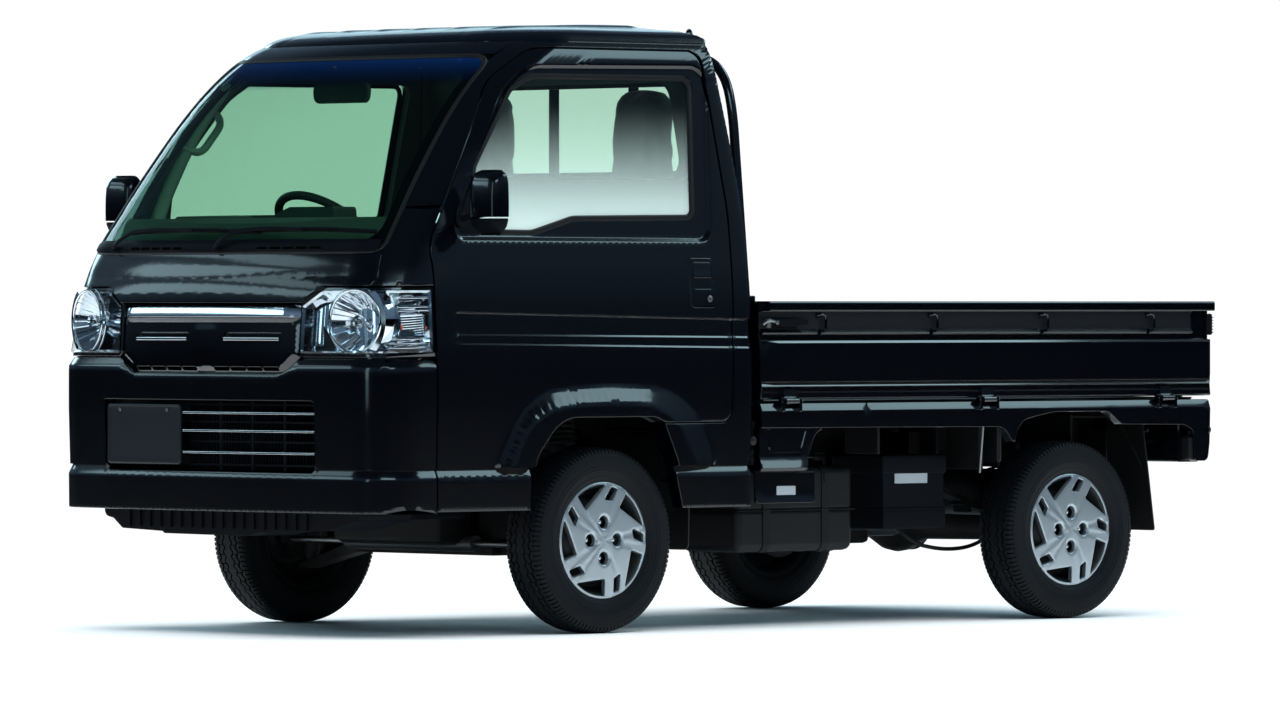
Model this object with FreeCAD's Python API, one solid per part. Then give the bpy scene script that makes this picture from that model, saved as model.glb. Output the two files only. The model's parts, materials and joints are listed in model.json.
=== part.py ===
"""Kei truck: a small cab-over pickup with a hinged drop-side bed.

Millimetres. +Z is up, the nose faces -Y and +X is the vehicle's left side.
The origin lies on the ground under the middle of the overall length and width.
While it is built, y is measured from a datum near the cab's back, so that the cab and
front axle keep their places behind the nose; main() then moves the truck to its origin.
Each function below makes one sub-assembly and returns {node name: shape}.
"""
import FreeCAD
import Part
import math
import os

V = FreeCAD.Vector

# ---- driving dimensions ----------------------------------------------------
LENGTH = 3395.0                 # overall, nose to the tailgate's rail
HALF_WIDTH = 737.5              # half of the overall body width
FRONT_Y = -1697.5               # nose, from the datum
REAR_Y = FRONT_Y + LENGTH
ORIGIN_Y = (FRONT_Y + REAR_Y) / 2
AHEAD_Y = FRONT_Y - 102.5       # clear of the nose, for cutting tools
FAR_X = 900.0                   # clear of the sides, for cutting tools
FRONT_AXLE_Y = -800.0
WHEELBASE = 1900.0
REAR_AXLE_Y = FRONT_AXLE_Y + WHEELBASE
HALF_TRACK = 645.0

TYRE_R = 266.0
TYRE_WIDTH = 145.0
TYRE_BEAD_R = 158.0
RIM_WALL = 6.0
RIM_DISC_X = 18.0               # disc's inner face, outboard of the wheel's middle plane
RIM_DISC_THICK = 8.0
COVER_FACE_X = 58.0             # cover's outer face, outboard of the middle plane
COVER_THICK = 5.0
COVER_R = 150.0
SPINDLE_R = 20.0
SPINDLE_FIT = 0.05              # radial running clearance
HUB_R = 46.0
HUB_LENGTH = 62.0

DOOR_GAP = 5.0                  # shut line round each moving panel
WALL = 45.0                     # doors, nose and posts, skin to trim
ROOF_WALL = 28.0
GLASS_SET = 4.0                 # glass lies this far under the outer skin
GLASS_THICK = 5.0
SOFT_GAP = 0.3                  # between a soft part and what carries it

FLOOR_TOP_Z = 475.0             # footwell
DECK_TOP_Z = 700.0              # shelf over the wheelhouses, carries the seats
FLOOR_THICK = 25.0
BED_TOP_Z = 660.0
BED_SHEET = 4.0
GATE_TOP_Z = 950.0
GATE_THICK = 30.0
BED_FRONT_Y = -205.0
BED_WALL = 30.0                 # front wall and guard frame, front to back
GATE_LOW_Z = 664.0
GATE_RAIL_Z = 50.0              # height of the stiff rail along a gate's top
GATE_REAR_Y = REAR_Y - 7.5      # tailgate's face; its latch rail makes up the rest
SILL_WIDTH = 35.0
DECK_THICK = 14.0
BEARER_Z = (600.0, BED_TOP_Z - DECK_THICK)
BEARER_WIDTH = 50.0
BEARERS_Y = (-170.0, 180.0, 560.0, 900.0, 1240.0)
SILL_Z = (600.0, 652.0)
END_BEAM_Y = (GATE_REAR_Y - 130.0, GATE_REAR_Y - 38.0)
END_BEAM_LOW_Z = 459.0
QUARTER_PANEL_Y = 62.0          # rear edge of the panel under the bed's front corner
QUARTER_PANEL_X = (32.0, 12.0)  # its inner and outer face, inside the body width
TAIL_LAMP_X = (610.0, HALF_WIDTH - 6.0)
TAIL_LAMP_Z = (480.0, 590.0)
TAIL_LAMP_DEEP = 16.0
MUDGUARD_X = (HALF_TRACK - 68.0, HALF_WIDTH - 13.5)
FLAP_Y = (1448.0, 1454.0)
FLAP_LOW_Z = 258.0
GUARD_Y = (790.0, 794.0)
GUARD_LOW_Z = 470.0

HINGE_HALF = 26.0               # half of a gate hinge's eye
HINGE_EYE_R = 8.0
HINGE_PIN_R = 4.0
HINGE_LUG = 12.0                # lug's width; it stands HINGE_SIDE off the eye
HINGE_SIDE = 2.0
HINGE_LUG_DROP = 30.0
SIDE_HINGE = (HALF_WIDTH + 6.5, 659.0)          # across, height
REAR_HINGE = (GATE_REAR_Y - 1.0, 659.0)
SIDE_HINGES_Y = (-90.0, 720.0, GATE_REAR_Y - 210.0)
REAR_HINGES_X = (-560.0, 0.0, 560.0)

RAIL_X = 300.0                  # inner face of the chassis rails
RAIL_WIDTH = 50.0
RAIL_BOTTOM_Z = 500.0
RAIL_TOP_Z = 600.0

LOCK_ANGLE = 36.0               # steering lock each way, also in the record

# ---- cab skin --------------------------------------------------------------
# Plan sections of the cab, bottom to top.
# height, half width, front middle y, corner radius, front bow radius, back y
CAB_SECTIONS = [
    (349.0, 737.5, -1674.0, 150.0, 6000.0, -226.0),
    (452.0, 737.5, -1697.5, 150.0, 6000.0, -226.0),
    (735.0, 737.5, -1697.5, 150.0, 6000.0, -223.0),
    (940.0, 729.0, -1690.0, 190.0, 4500.0, -222.0),
    (1025.0, 721.0, -1676.0, 200.0, 3600.0, -221.0),
    (1097.0, 711.0, -1650.0, 205.0, 3200.0, -221.0),
    (1199.0, 697.0, -1582.0, 200.0, 3000.0, -224.0),
    (1330.0, 678.0, -1486.0, 200.0, 3000.0, -236.0),
    (1541.0, 648.0, -1305.0, 200.0, 3000.0, -265.0),
    (1640.0, 632.0, -1187.0, 210.0, 3200.0, -280.0),
    (1694.0, 612.0, -1100.0, 230.0, 3200.0, -292.0),
    (1722.0, 570.0, -985.0, 250.0, 3200.0, -318.0),
    (1741.0, 430.0, -790.0, 190.0, 3200.0, -400.0),
]
SCREEN_SLOPE_FACTOR = 1.3       # sloped skin: horizontal depth for a given wall

# Side outlines, rows of y, z, corner radius.
DOOR_OPENING = [
    (-1461.0, 330.0, 0.0), (-1461.0, 1120.0, 60.0), (-1165.0, 1570.0, 150.0),
    (-1000.0, 1677.0, 150.0), (-318.0, 1677.0, 60.0), (-300.0, 1150.0, 900.0),
    (-318.0, 600.0, 40.0), (-560.0, 600.0, 10.0), (-640.0, 640.0, 60.0),
    (-1010.0, 640.0, 110.0), (-1112.0, 500.0, 60.0), (-1103.0, 330.0, 0.0),
]
DOOR_WINDOW = [
    (-1300.0, 1148.0, 12.0), (-1080.0, 1560.0, 70.0), (-1010.0, 1590.0, 60.0),
    (-392.0, 1590.0, 30.0), (-432.0, 1195.0, 25.0), (-905.0, 1192.0, 60.0),
    (-1050.0, 1148.0, 60.0),
]
LOWER_QUARTER = [
    (-640.0, 600.0, 0.0), (-600.0, 600.0, 0.0), (-548.0, 500.0, 60.0),
    (-518.0, 330.0, 0.0), (-900.0, 330.0, 0.0), (-900.0, 600.0, 0.0),
]
# Front outlines, rows of x, z, corner radius.
SCREEN_OPENING = [
    (-628.0, 1097.0, 20.0), (628.0, 1097.0, 20.0),
    (562.0, 1652.0, 60.0), (-562.0, 1652.0, 60.0),
]
REAR_WINDOW = [
    (-475.0, 1318.0, 50.0), (475.0, 1318.0, 50.0),
    (455.0, 1588.0, 50.0), (-455.0, 1588.0, 50.0),
]
LAMP_INNER_X = 390.0
LAMP_BOTTOM_Z = 778.0
LAMP_TOP_Z = 965.0
GRILLE_BOTTOM_Z = 736.0
GRILLE_TOP_Z = 945.0
INTAKE_HALF_X = 462.0
INTAKE_Z = (478.0, 668.0)
INTAKE_BACK_Y = FRONT_Y + 32.0
PLATE_X = (-435.0, -107.0)
PLATE_Z = (483.0, 655.0)
ROOF_SPLIT_Z = 1692.0
BACK_PANEL_HALF_X = 560.0

WIPER_PIVOTS = (-470.0, 60.0)
WIPER_ROOT_Z = 1085.0

# ---- steering --------------------------------------------------------------
BALL_JOINT = V(575.0, FRONT_AXLE_Y, 190.0)
STRUT_TOP = V(480.0, FRONT_AXLE_Y, 700.0)
STRUT_TUBE_R = 24.0
STRUT_ROD_R = 10.0
SPRING_R = (44.0, 58.0)
RACK_Y = FRONT_AXLE_Y - 105.0
RACK_Z = 250.0
RACK_ROD_R = 9.0
RACK_HALF = 532.0
WHEEL_HUB = V(-340.0, -920.0, 1139.0)       # steering wheel's centre
COLUMN_TILT = 42.0                          # column from vertical, degrees
COLUMN_R = 18.0
STEERING_WHEEL_R = 180.0
STEERING_RIM_R = 13.0
STEERING_HUB_R = 52.0
HUB_DEPTH = 24.0
BALL_R = 9.0
RACK_HOUSE_HALF = 280.0
RACK_HOUSE_R = 24.0
ARM_HALF_Y = 28.0
SUBFRAME_HALF_Y = 60.0

# ---- rear axle and springs ---------------------------------------------------
SPRING_X = 440.0
SPRING_WIDTH = 60.0
SPRING_HALF = 420.0
SPRING_EYE_Z = 450.0
SPRING_LEAF = 24.0
AXLE_R = 34.0
AXLE_HALF = 570.0
DRUM_R = 105.0
DRUM_X = (560.0, 600.0)
SPINDLE_END_X = 694.0
SPRING_SEAT_Z = TYRE_R + AXLE_R

# ---- cab inside --------------------------------------------------------------
# Side outline of the floor sheet, rows of y, z, corner radius.
FLOOR_ROWS = [
    (-1652.0, 900.0, 0), (-1652.0, 640.0, 0), (-1560.0, FLOOR_TOP_Z - FLOOR_THICK, 40),
    (-1135.0, FLOOR_TOP_Z - FLOOR_THICK, 0), (-1135.0, DECK_TOP_Z - FLOOR_THICK, 0),
    (-445.0, DECK_TOP_Z - FLOOR_THICK, 0), (-445.0, 420.0, 0), (-420.0, 420.0, 0),
    (-420.0, DECK_TOP_Z - FLOOR_THICK, 0), (-200.0, DECK_TOP_Z - FLOOR_THICK, 0),
    (-200.0, DECK_TOP_Z, 0), (-1160.0, DECK_TOP_Z, 0), (-1160.0, FLOOR_TOP_Z, 0),
    (-1545.0, FLOOR_TOP_Z, 40), (-1627.0, 645.0, 0), (-1627.0, 900.0, 0),
]
DASH_ROWS = [
    (-1600.0, 900.0, 0), (-1230.0, 860.0, 40), (-1190.0, 1090.0, 60),
    (-1300.0, 1195.0, 60), (-1470.0, 1180.0, 0), (-1560.0, 1090.0, 0),
]
DASH_HALF_X = 620.0
SEAT_X = 345.0
SEAT_HALF = 235.0
SEAT_Y = (-840.0, -395.0)
SEAT_THICK = 130.0
SEAT_TOP_Z = 1570.0
HEAD_HALF = 105.0

# ---- pieces hung under the bed -------------------------------------------------
ENGINE = ((-250.0, 250.0), (440.0, 960.0), (221.0, 470.0))     # x, y, z
ENGINE_HANGERS_Y = ((405.0, 445.0), (955.0, 1025.0))
TANK = ((RAIL_X + RAIL_WIDTH, 610.0), (-180.0, 300.0), (215.0, 470.0))
BATTERY = ((420.0, 640.0), (380.0, 649.0), (276.0, 496.0))
MUFFLER_X = (-280.0, 200.0)
MUFFLER_Y = 1400.0
MUFFLER_Z = 360.0
MUFFLER_R = 80.0
HANGER_LOW_Z = 440.0

# Hand-brake cable's route from the battery's bracket to the axle.
CABLE_POINTS = [V(395, 640, 300), V(450, 690, 226), V(470, 800, 206), V(480, 900, 212),
                V(470, 1010, 250), V(470, 1064, 266)]
CABLE_R = 6.0

# ---- guard frame behind the cab ------------------------------------------------
# Left half's outline in rows of x, z, corner radius, round the outside and back.
GUARD_ROWS = [
    (638.0, GATE_TOP_Z, 0), (673.0, GATE_TOP_Z, 0), (581.0, 1560.0, 90), (500.0, 1676.0, 50),
    (0.0, 1676.0, 0), (0.0, 1646.0, 0), (486.0, 1646.0, 35), (549.0, 1552.0, 75),
]
GUARD_BAR_X = (158.0, 190.0)
GUARD_HOOK_X = (405.0, 423.0)
GUARD_HOOK_TOP_Z = 1745.0
GUARD_CROSS_Z = (1180.0, 1205.0)
GUARD_CROSS_HALF = 665.0


# ---- small helpers ---------------------------------------------------------
def box(x, y, z):
    """Box from (low, high) pairs."""
    return Part.makeBox(x[1] - x[0], y[1] - y[0], z[1] - z[0], V(x[0], y[0], z[0]))


def both_sides(shape):
    """The shape and its mirror image across the middle plane, as one compound."""
    return Part.makeCompound([shape, mirrored(shape)])


def mirrored(shape):
    return shape.mirror(V(0, 0, 0), V(1, 0, 0))


def cylinder(radius, start, end):
    axis = end - start
    return Part.makeCylinder(radius, axis.Length, start, axis)


def tube(outer, inner, start, end):
    return cylinder(outer, start, end).cut(cylinder(inner, start, end))


def largest(shape):
    """The biggest solid of a cut, cleaned of split faces."""
    return max(shape.Solids, key=lambda solid: solid.Volume)


def clean(shape):
    """One solid, or a compound of them, with split faces merged."""
    solids = [solid.removeSplitter() for solid in shape.Solids]
    return solids[0] if len(solids) == 1 else Part.makeCompound(solids)


def rounded_outline(rows, place):
    """Closed wire through rows of u, v, radius with each corner an arc."""
    points = [V(u, v, 0) for u, v, _ in rows]
    edges, ends = [], []
    for index, (_, _, radius) in enumerate(rows):
        here = points[index]
        before = points[index - 1] - here
        after = points[(index + 1) % len(rows)] - here
        half = before.getAngle(after) / 2
        if radius <= 0 or half > math.pi / 2 - 1e-4:
            ends.append((here, here, None))
            continue
        reach = radius / math.tan(half)
        middle = (before.normalize() + after.normalize()).normalize()
        tip = here + middle * (radius / math.sin(half) - radius)
        ends.append((here + before * reach, here + after * reach, tip))
    for index, (start, end, tip) in enumerate(ends):
        if tip is not None:
            edges.append(Part.Arc(place(start), place(tip), place(end)).toShape())
        following = ends[(index + 1) % len(ends)][0]
        if (following - end).Length > 1e-6:
            edges.append(Part.LineSegment(place(end), place(following)).toShape())
    return Part.Wire(edges)


def inset_rows(rows, gap):
    """Outline rows moved inwards by gap; corner radii follow."""
    area = sum(rows[i - 1][0] * rows[i][1] - rows[i][0] * rows[i - 1][1]
               for i in range(len(rows)))
    side = 1.0 if area > 0 else -1.0
    result = []
    for index, (u, v, radius) in enumerate(rows):
        u0, v0, _ = rows[index - 1]
        u1, v1, _ = rows[(index + 1) % len(rows)]
        a = V(u - u0, v - v0, 0).normalize()
        b = V(u1 - u, v1 - v, 0).normalize()
        normal_a = V(-a.y, a.x, 0) * side
        normal_b = V(-b.y, b.x, 0) * side
        share = gap / (1 + normal_a.dot(normal_b))
        move = (normal_a + normal_b) * share
        turn = (a.x * b.y - a.y * b.x) * side
        new_radius = max(radius - gap, 0.0) if turn > 0 else radius + gap
        result.append((u + move.x, v + move.y, new_radius if radius > 0 else 0.0))
    return result


def prism_x(rows, low, high):
    """Rows of y, z, radius drawn out along x."""
    wire = rounded_outline(rows, lambda p: V(low, p.x, p.y))
    return Part.Face(wire).extrude(V(high - low, 0, 0))


def prism_y(rows, low, high):
    """Rows of x, z, radius drawn out along y."""
    wire = rounded_outline(rows, lambda p: V(p.x, low, p.y))
    return Part.Face(wire).extrude(V(0, high - low, 0))


# ---- cab -------------------------------------------------------------------
def cab_section(height, half_width, front_y, corner, bow, back_y):
    """Plan outline: bowed front, two tangent corner arcs, straight sides and back."""
    start_x = (half_width - corner) / (1 - corner / bow)
    angle = math.asin(start_x / bow)
    start_y = front_y + bow * (1 - math.cos(angle))
    side_y = start_y + corner * math.cos(angle)
    middle = (angle + math.pi / 2) / 2
    centre = V(half_width - corner, side_y, height)
    arc_middle = centre + V(math.sin(middle), -math.cos(middle), 0) * corner

    def flip(point):
        return V(-point.x, point.y, point.z)

    front = V(start_x, start_y, height)
    side = V(half_width, side_y, height)
    back = V(half_width, back_y, height)
    edges = [
        Part.Arc(flip(front), V(0, front_y, height), front).toShape(),
        Part.Arc(front, arc_middle, side).toShape(),
        Part.LineSegment(side, back).toShape(),
        Part.LineSegment(back, flip(back)).toShape(),
        Part.LineSegment(flip(back), flip(side)).toShape(),
        Part.Arc(flip(side), flip(arc_middle), flip(front)).toShape(),
    ]
    return Part.Wire(edges)


def cab_body(depth, drop=0.0):
    """Solid inside the cab skin at a depth; drop opens the bottom of a hollow."""
    wires = []
    base = CAB_SECTIONS[0][0]
    for height, width, front, corner, bow, back in CAB_SECTIONS:
        sloped = 1097.0 <= height
        front_depth = depth * (SCREEN_SLOPE_FACTOR if sloped else 1.0)
        top_drop = min(depth, ROOF_WALL) if height > 1650.0 else 0.0
        bottom_drop = drop if height == base else 0.0
        wires.append(cab_section(height - top_drop - bottom_drop, width - depth,
                                 front + front_depth, corner - 0.6 * depth, bow,
                                 back - depth))
    return Part.makeLoft(wires, True, True)


def door_zone(rows):
    return prism_x(rows, BACK_PANEL_HALF_X + 4.0, FAR_X)


def cab_panels():
    outer = cab_body(0.0)
    inner = cab_body(WALL, drop=60.0)
    shell = outer.cut(inner)
    screen_zone = prism_y(SCREEN_OPENING, AHEAD_Y, -1000.0)
    left_door_zone = door_zone(DOOR_OPENING)
    quarter_cut = door_zone(LOWER_QUARTER)
    seam_y = DOOR_OPENING[0][0]
    front_zone = box((-FAR_X, FAR_X), (AHEAD_Y, seam_y), (300, SCREEN_OPENING[0][1]))
    roof_zone = box((-FAR_X, FAR_X), (AHEAD_Y, 0), (ROOF_SPLIT_Z, 1800))
    header_half = SCREEN_OPENING[2][0]
    header_zone = box((-header_half, header_half), (AHEAD_Y, -1000),
                      (SCREEN_OPENING[2][1] - 60, ROOF_SPLIT_Z))
    back_zone = box((-BACK_PANEL_HALF_X, BACK_PANEL_HALF_X), (-420, 0),
                    (RAIL_TOP_Z + DOOR_GAP, ROOF_SPLIT_Z))

    rear_zone = prism_y(REAR_WINDOW, -500.0, 0.0)

    nodes = {}
    front = shell.common(front_zone)
    nodes.update(front_pieces(front))
    header = shell.common(header_zone).cut(screen_zone)
    nodes["roof_panel"] = largest(shell.common(roof_zone).fuse(header))
    back = shell.common(back_zone).cut(rear_zone)
    nodes["back_panel"] = clean(largest(back))
    side = shell.common(box((0, FAR_X), (AHEAD_Y, 0), (300, ROOF_SPLIT_Z)))
    for zone in (front_zone, screen_zone, header_zone, back_zone, left_door_zone,
                 quarter_cut, box((0, BACK_PANEL_HALF_X), (-420, 0), (300, 1000)),
                 box((0, FAR_X), (seam_y + 1, -700), (300, 1000))):
        side = side.cut(zone)
    nodes["side_frame_left"] = clean(largest(side))
    nodes["side_frame_right"] = clean(mirrored(largest(side)))

    skin_in = cab_body(GLASS_SET)
    skin_out = cab_body(GLASS_SET + GLASS_THICK)
    pane = skin_in.cut(skin_out)
    nodes["windscreen"] = clean(largest(pane.common(screen_zone)))
    rear = pane.common(rear_zone)
    nodes["rear_window"] = clean(largest(rear))

    leaf = shell.common(door_zone(inset_rows(DOOR_OPENING, DOOR_GAP)))
    door = leaf.cut(door_zone(DOOR_WINDOW))
    glass = pane.common(door_zone(DOOR_WINDOW))
    mirror = door_mirror(outer)
    for side_name, turn in (("left", lambda s: s), ("right", mirrored)):
        nodes["door_" + side_name] = clean(turn(largest(door)))
        nodes["door_glass_" + side_name] = clean(turn(largest(glass)))
        nodes["mirror_" + side_name] = clean(turn(mirror))
    return nodes


def front_pieces(front):
    """Bumper, grille, lamps and nose panel, cut from the front of the shell."""
    x, far = LAMP_INNER_X, FAR_X
    ahead = (AHEAD_Y, -1300.0)
    lamp_rows = [(x, LAMP_BOTTOM_Z, 8.0), (far, LAMP_BOTTOM_Z + 22.0, 0.0),
                 (far, LAMP_TOP_Z + 25.0, 0.0), (x + 60.0, LAMP_TOP_Z, 20.0),
                 (x, LAMP_TOP_Z - 50.0, 20.0)]
    grille_rows = [(-x, GRILLE_TOP_Z, 0.0), (-x, LAMP_BOTTOM_Z, 0.0),
                   (-x + 75.0, GRILLE_BOTTOM_Z, 30.0), (x - 75.0, GRILLE_BOTTOM_Z, 30.0),
                   (x, LAMP_BOTTOM_Z, 0.0), (x, GRILLE_TOP_Z, 0.0)]
    lamp_zone = prism_y(lamp_rows, *ahead)
    grille_zone = prism_y(grille_rows, *ahead)
    lamps = front.common(lamp_zone)
    grille = front.common(grille_zone)
    rest = front.cut(lamp_zone).cut(mirrored(lamp_zone)).cut(grille_zone)
    split_z = LAMP_BOTTOM_Z + 10.0
    nose = rest.common(box((-far, far), ahead, (split_z, 1200)))
    bumper = rest.common(box((-far, far), ahead, (300, split_z)))
    intake = box((-INTAKE_HALF_X, INTAKE_HALF_X), (AHEAD_Y, INTAKE_BACK_Y), INTAKE_Z)
    bumper = bumper.cut(intake)
    plate = box(PLATE_X, (FRONT_Y, INTAKE_BACK_Y), PLATE_Z)
    return {
        "headlights": both_sides(largest(lamps)),
        "grille": clean(largest(grille)),
        "nose_panel": clean(largest(nose)),
        "front_bumper": clean(largest(bumper)),
        "number_plate": plate,
    }


def door_mirror(cab):
    """Mirror head and its foot, seated on the door skin."""
    head = box((735, 868), (-1400, -1262), (1140, 1322))
    head = head.makeFillet(22.0, head.Edges)
    foot = box((640, 760), (-1360, -1300), (1160, 1215))
    return largest(head.fuse(foot).cut(cab))


def cab_floor():
    """Footwell, riser and seat shelf as one folded sheet."""
    floor = prism_x(FLOOR_ROWS, -HALF_WIDTH - 20, HALF_WIDTH + 20).common(cab_body(WALL, drop=60.0))
    swing = prism_x(inset_rows(DOOR_OPENING, -2.0), HALF_WIDTH - WALL - 8.0, FAR_X)
    floor = floor.cut(swing).cut(mirrored(swing))
    floor = floor.cut(both_sides(chassis_rail()))
    return {"cab_floor": clean(largest(floor))}


def cab_interior():
    dash = prism_x(DASH_ROWS, -DASH_HALF_X, DASH_HALF_X).common(cab_body(WALL, drop=60.0))
    lean = math.radians(COLUMN_TILT)
    along = V(0, math.sin(lean), math.cos(lean))
    column_top = WHEEL_HUB - along * (HUB_DEPTH + SOFT_GAP)
    column_foot = WHEEL_HUB - along * 900.0
    column = cylinder(COLUMN_R, column_top, column_foot)
    dash = dash.cut(cylinder(COLUMN_R + SOFT_GAP, column_top, column_foot))
    column = column.common(box((-500, 0), (-1640, 0), (FLOOR_TOP_Z, WHEEL_HUB.z + 100)))
    floor_half = cab_floor()["cab_floor"]
    column = largest(column.cut(floor_half))
    return {"dashboard": clean(largest(dash)), "steering_column": clean(column)}


def seats():
    """Two soft cushions and two soft backs with their head rests."""
    solids = []
    cab = cab_body(WALL + 4.0, drop=60.0)
    cushion_z = (DECK_TOP_Z + SOFT_GAP, DECK_TOP_Z + SEAT_THICK)
    back_rows = [(SEAT_Y[1] + 3, cushion_z[0], 0), (-285.0, cushion_z[0], 0),
                 (-268.0, SEAT_TOP_Z - 10, 30), (-345.0, SEAT_TOP_Z - 10, 30)]
    half_rows = [(SEAT_HALF, 600.0, 0), (SEAT_HALF - 20, 1250.0, 60),
                 (HEAD_HALF + 20, 1440.0, 60), (HEAD_HALF, SEAT_TOP_Z, 40)]
    for centre in (-SEAT_X, SEAT_X):
        across = (centre - SEAT_HALF, centre + SEAT_HALF)
        solids.append(box(across, SEAT_Y, cushion_z))
        rows = [(centre + x, z, r) for x, z, r in half_rows]
        rows += [(centre - x, z, r) for x, z, r in reversed(half_rows)]
        back = prism_x(back_rows, *across).common(cab)
        solids.append(largest(back.common(prism_y(rows, -500.0, -200.0))))
    return {"seats": Part.makeCompound(solids)}


def steering_wheel():
    lean = math.radians(COLUMN_TILT)
    along = V(0, math.sin(lean), math.cos(lean))
    rim = Part.makeTorus(STEERING_WHEEL_R, STEERING_RIM_R, WHEEL_HUB, along)
    hub = cylinder(STEERING_HUB_R, WHEEL_HUB - along * HUB_DEPTH, WHEEL_HUB + along * 12.0)
    wheel = rim.fuse(hub)
    across = V(1, 0, 0)
    down = along.cross(across)
    for spoke in (across, across * -1, down * -1):
        wheel = wheel.fuse(cylinder(10.0, WHEEL_HUB, WHEEL_HUB + spoke * STEERING_WHEEL_R))
    return {"steering_wheel": clean(wheel)}


def skin_y(x, z):
    """Front skin's y at a place on the bowed nose or screen."""
    for low, high in zip(CAB_SECTIONS, CAB_SECTIONS[1:]):
        if low[0] <= z <= high[0]:
            share = (z - low[0]) / (high[0] - low[0])
            front = low[2] + (high[2] - low[2]) * share
            bow = low[4] + (high[4] - low[4]) * share
            return front + bow - math.sqrt(bow * bow - x * x)
    raise ValueError("height outside the cab")


def wipers():
    """Two arms with blades lying along the foot of the windscreen."""
    solids = []
    cab = cab_body(0.0)
    for pivot_x in WIPER_PIVOTS:
        root_y = skin_y(pivot_x, WIPER_ROOT_Z)
        root = V(pivot_x, root_y - 16.0, WIPER_ROOT_Z)
        elbow_x = pivot_x + 300.0
        elbow = V(elbow_x, skin_y(elbow_x, WIPER_ROOT_Z + 62.0) - 20.0, WIPER_ROOT_Z + 50.0)
        post = cylinder(10.0, V(pivot_x, root_y + 10.0, WIPER_ROOT_Z), root - V(0, 8, 0))
        arm = cylinder(6.0, root, elbow)
        ends = [V(x, skin_y(x, z) - 16.0, z) for x, z in
                ((pivot_x + 110.0, WIPER_ROOT_Z + 48.0), (pivot_x + 480.0, WIPER_ROOT_Z + 58.0))]
        blade = cylinder(5.0, *ends)
        link = cylinder(5.0, elbow, ends[0] + (ends[1] - ends[0]) * 0.5)
        solids.append(largest(post.fuse(arm).fuse(link).fuse(blade).cut(cab)))
    return {"wipers": Part.makeCompound(solids)}


# ---- chassis ---------------------------------------------------------------
def chassis_rail():
    """Left rail, kicked up over the front axle, with its spring hangers."""
    deck_under = DECK_TOP_Z - FLOOR_THICK
    floor_under = FLOOR_TOP_Z - FLOOR_THICK
    rail_end = END_BEAM_Y[1] - 2.0
    rows = [
        (-1545.0, floor_under - 85.0, 0), (-1170.0, floor_under - 85.0, 0),
        (-1060.0, deck_under - 90.0, 60), (-540.0, deck_under - 90.0, 60),
        (-380.0, RAIL_BOTTOM_Z, 60), (rail_end, RAIL_BOTTOM_Z, 0), (rail_end, RAIL_TOP_Z, 0),
        (-320.0, RAIL_TOP_Z, 60), (-440.0, deck_under, 40),
        (-1110.0, deck_under, 40), (-1160.0, floor_under, 20), (-1545.0, floor_under, 0),
    ]
    rail = prism_x(rows, RAIL_X, RAIL_X + RAIL_WIDTH)
    spring_x = (RAIL_X + RAIL_WIDTH, SPRING_X + SPRING_WIDTH / 2)
    for y in (REAR_AXLE_Y - SPRING_HALF, REAR_AXLE_Y + SPRING_HALF):
        rail = rail.fuse(box(spring_x, (y - 25, y + 25), (SPRING_EYE_Z + 12, RAIL_BOTTOM_Z + 60)))
    return clean(rail)


def chassis():
    members = []
    inner = (-RAIL_X, RAIL_X)
    for y, z in ((-1500.0, (365.0, 430.0)), (-190.0, (520.0, 590.0)), (400.0, (500.0, 570.0)),
                 (980.0, (500.0, 570.0))):
        members.append(box(inner, (y, y + 50.0), z))
    return {"frame_rails": both_sides(chassis_rail()),
            "cross_members": Part.makeCompound(members)}


def rear_suspension():
    x = (SPRING_X - SPRING_WIDTH / 2, SPRING_X + SPRING_WIDTH / 2)
    ends = [V(x[0], REAR_AXLE_Y + s * SPRING_HALF, SPRING_EYE_Z) for s in (-1, 1)]
    low = V(x[0], REAR_AXLE_Y, SPRING_SEAT_Z + 4)
    up = V(0, 0, SPRING_LEAF)
    lower = Part.Arc(ends[0] - up * 0.5, low, ends[1] - up * 0.5).toShape()
    upper = Part.Arc(ends[1] + up * 0.5, low + up, ends[0] + up * 0.5).toShape()
    caps = [Part.LineSegment(ends[1] - up * 0.5, ends[1] + up * 0.5).toShape(),
            Part.LineSegment(ends[0] + up * 0.5, ends[0] - up * 0.5).toShape()]
    leaf = Part.Face(Part.Wire([lower, caps[0], upper, caps[1]])).extrude(V(SPRING_WIDTH, 0, 0))
    seat = box(x, (REAR_AXLE_Y - 40, REAR_AXLE_Y + 40), (SPRING_SEAT_Z - 20, SPRING_SEAT_Z + 8))
    beam = cylinder(AXLE_R, V(-AXLE_HALF, REAR_AXLE_Y, TYRE_R), V(AXLE_HALF, REAR_AXLE_Y, TYRE_R))
    beam = beam.fuse(both_sides(seat.cut(leaf)))
    for side in (-1, 1):
        hub_in = V(side * DRUM_X[0], REAR_AXLE_Y, TYRE_R)
        beam = beam.fuse(cylinder(DRUM_R, hub_in, V(side * DRUM_X[1], REAR_AXLE_Y, TYRE_R)))
        beam = beam.fuse(cylinder(SPINDLE_R, hub_in, V(side * SPINDLE_END_X, REAR_AXLE_Y, TYRE_R)))
    return {"rear_axle": clean(beam), "leaf_springs": both_sides(leaf)}


def on_axis(z):
    """Place at a height on the left strut's axis, which is also the steering axis."""
    direction = (STRUT_TOP - BALL_JOINT).normalize()
    return BALL_JOINT + direction * ((z - BALL_JOINT.z) / direction.z)


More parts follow.
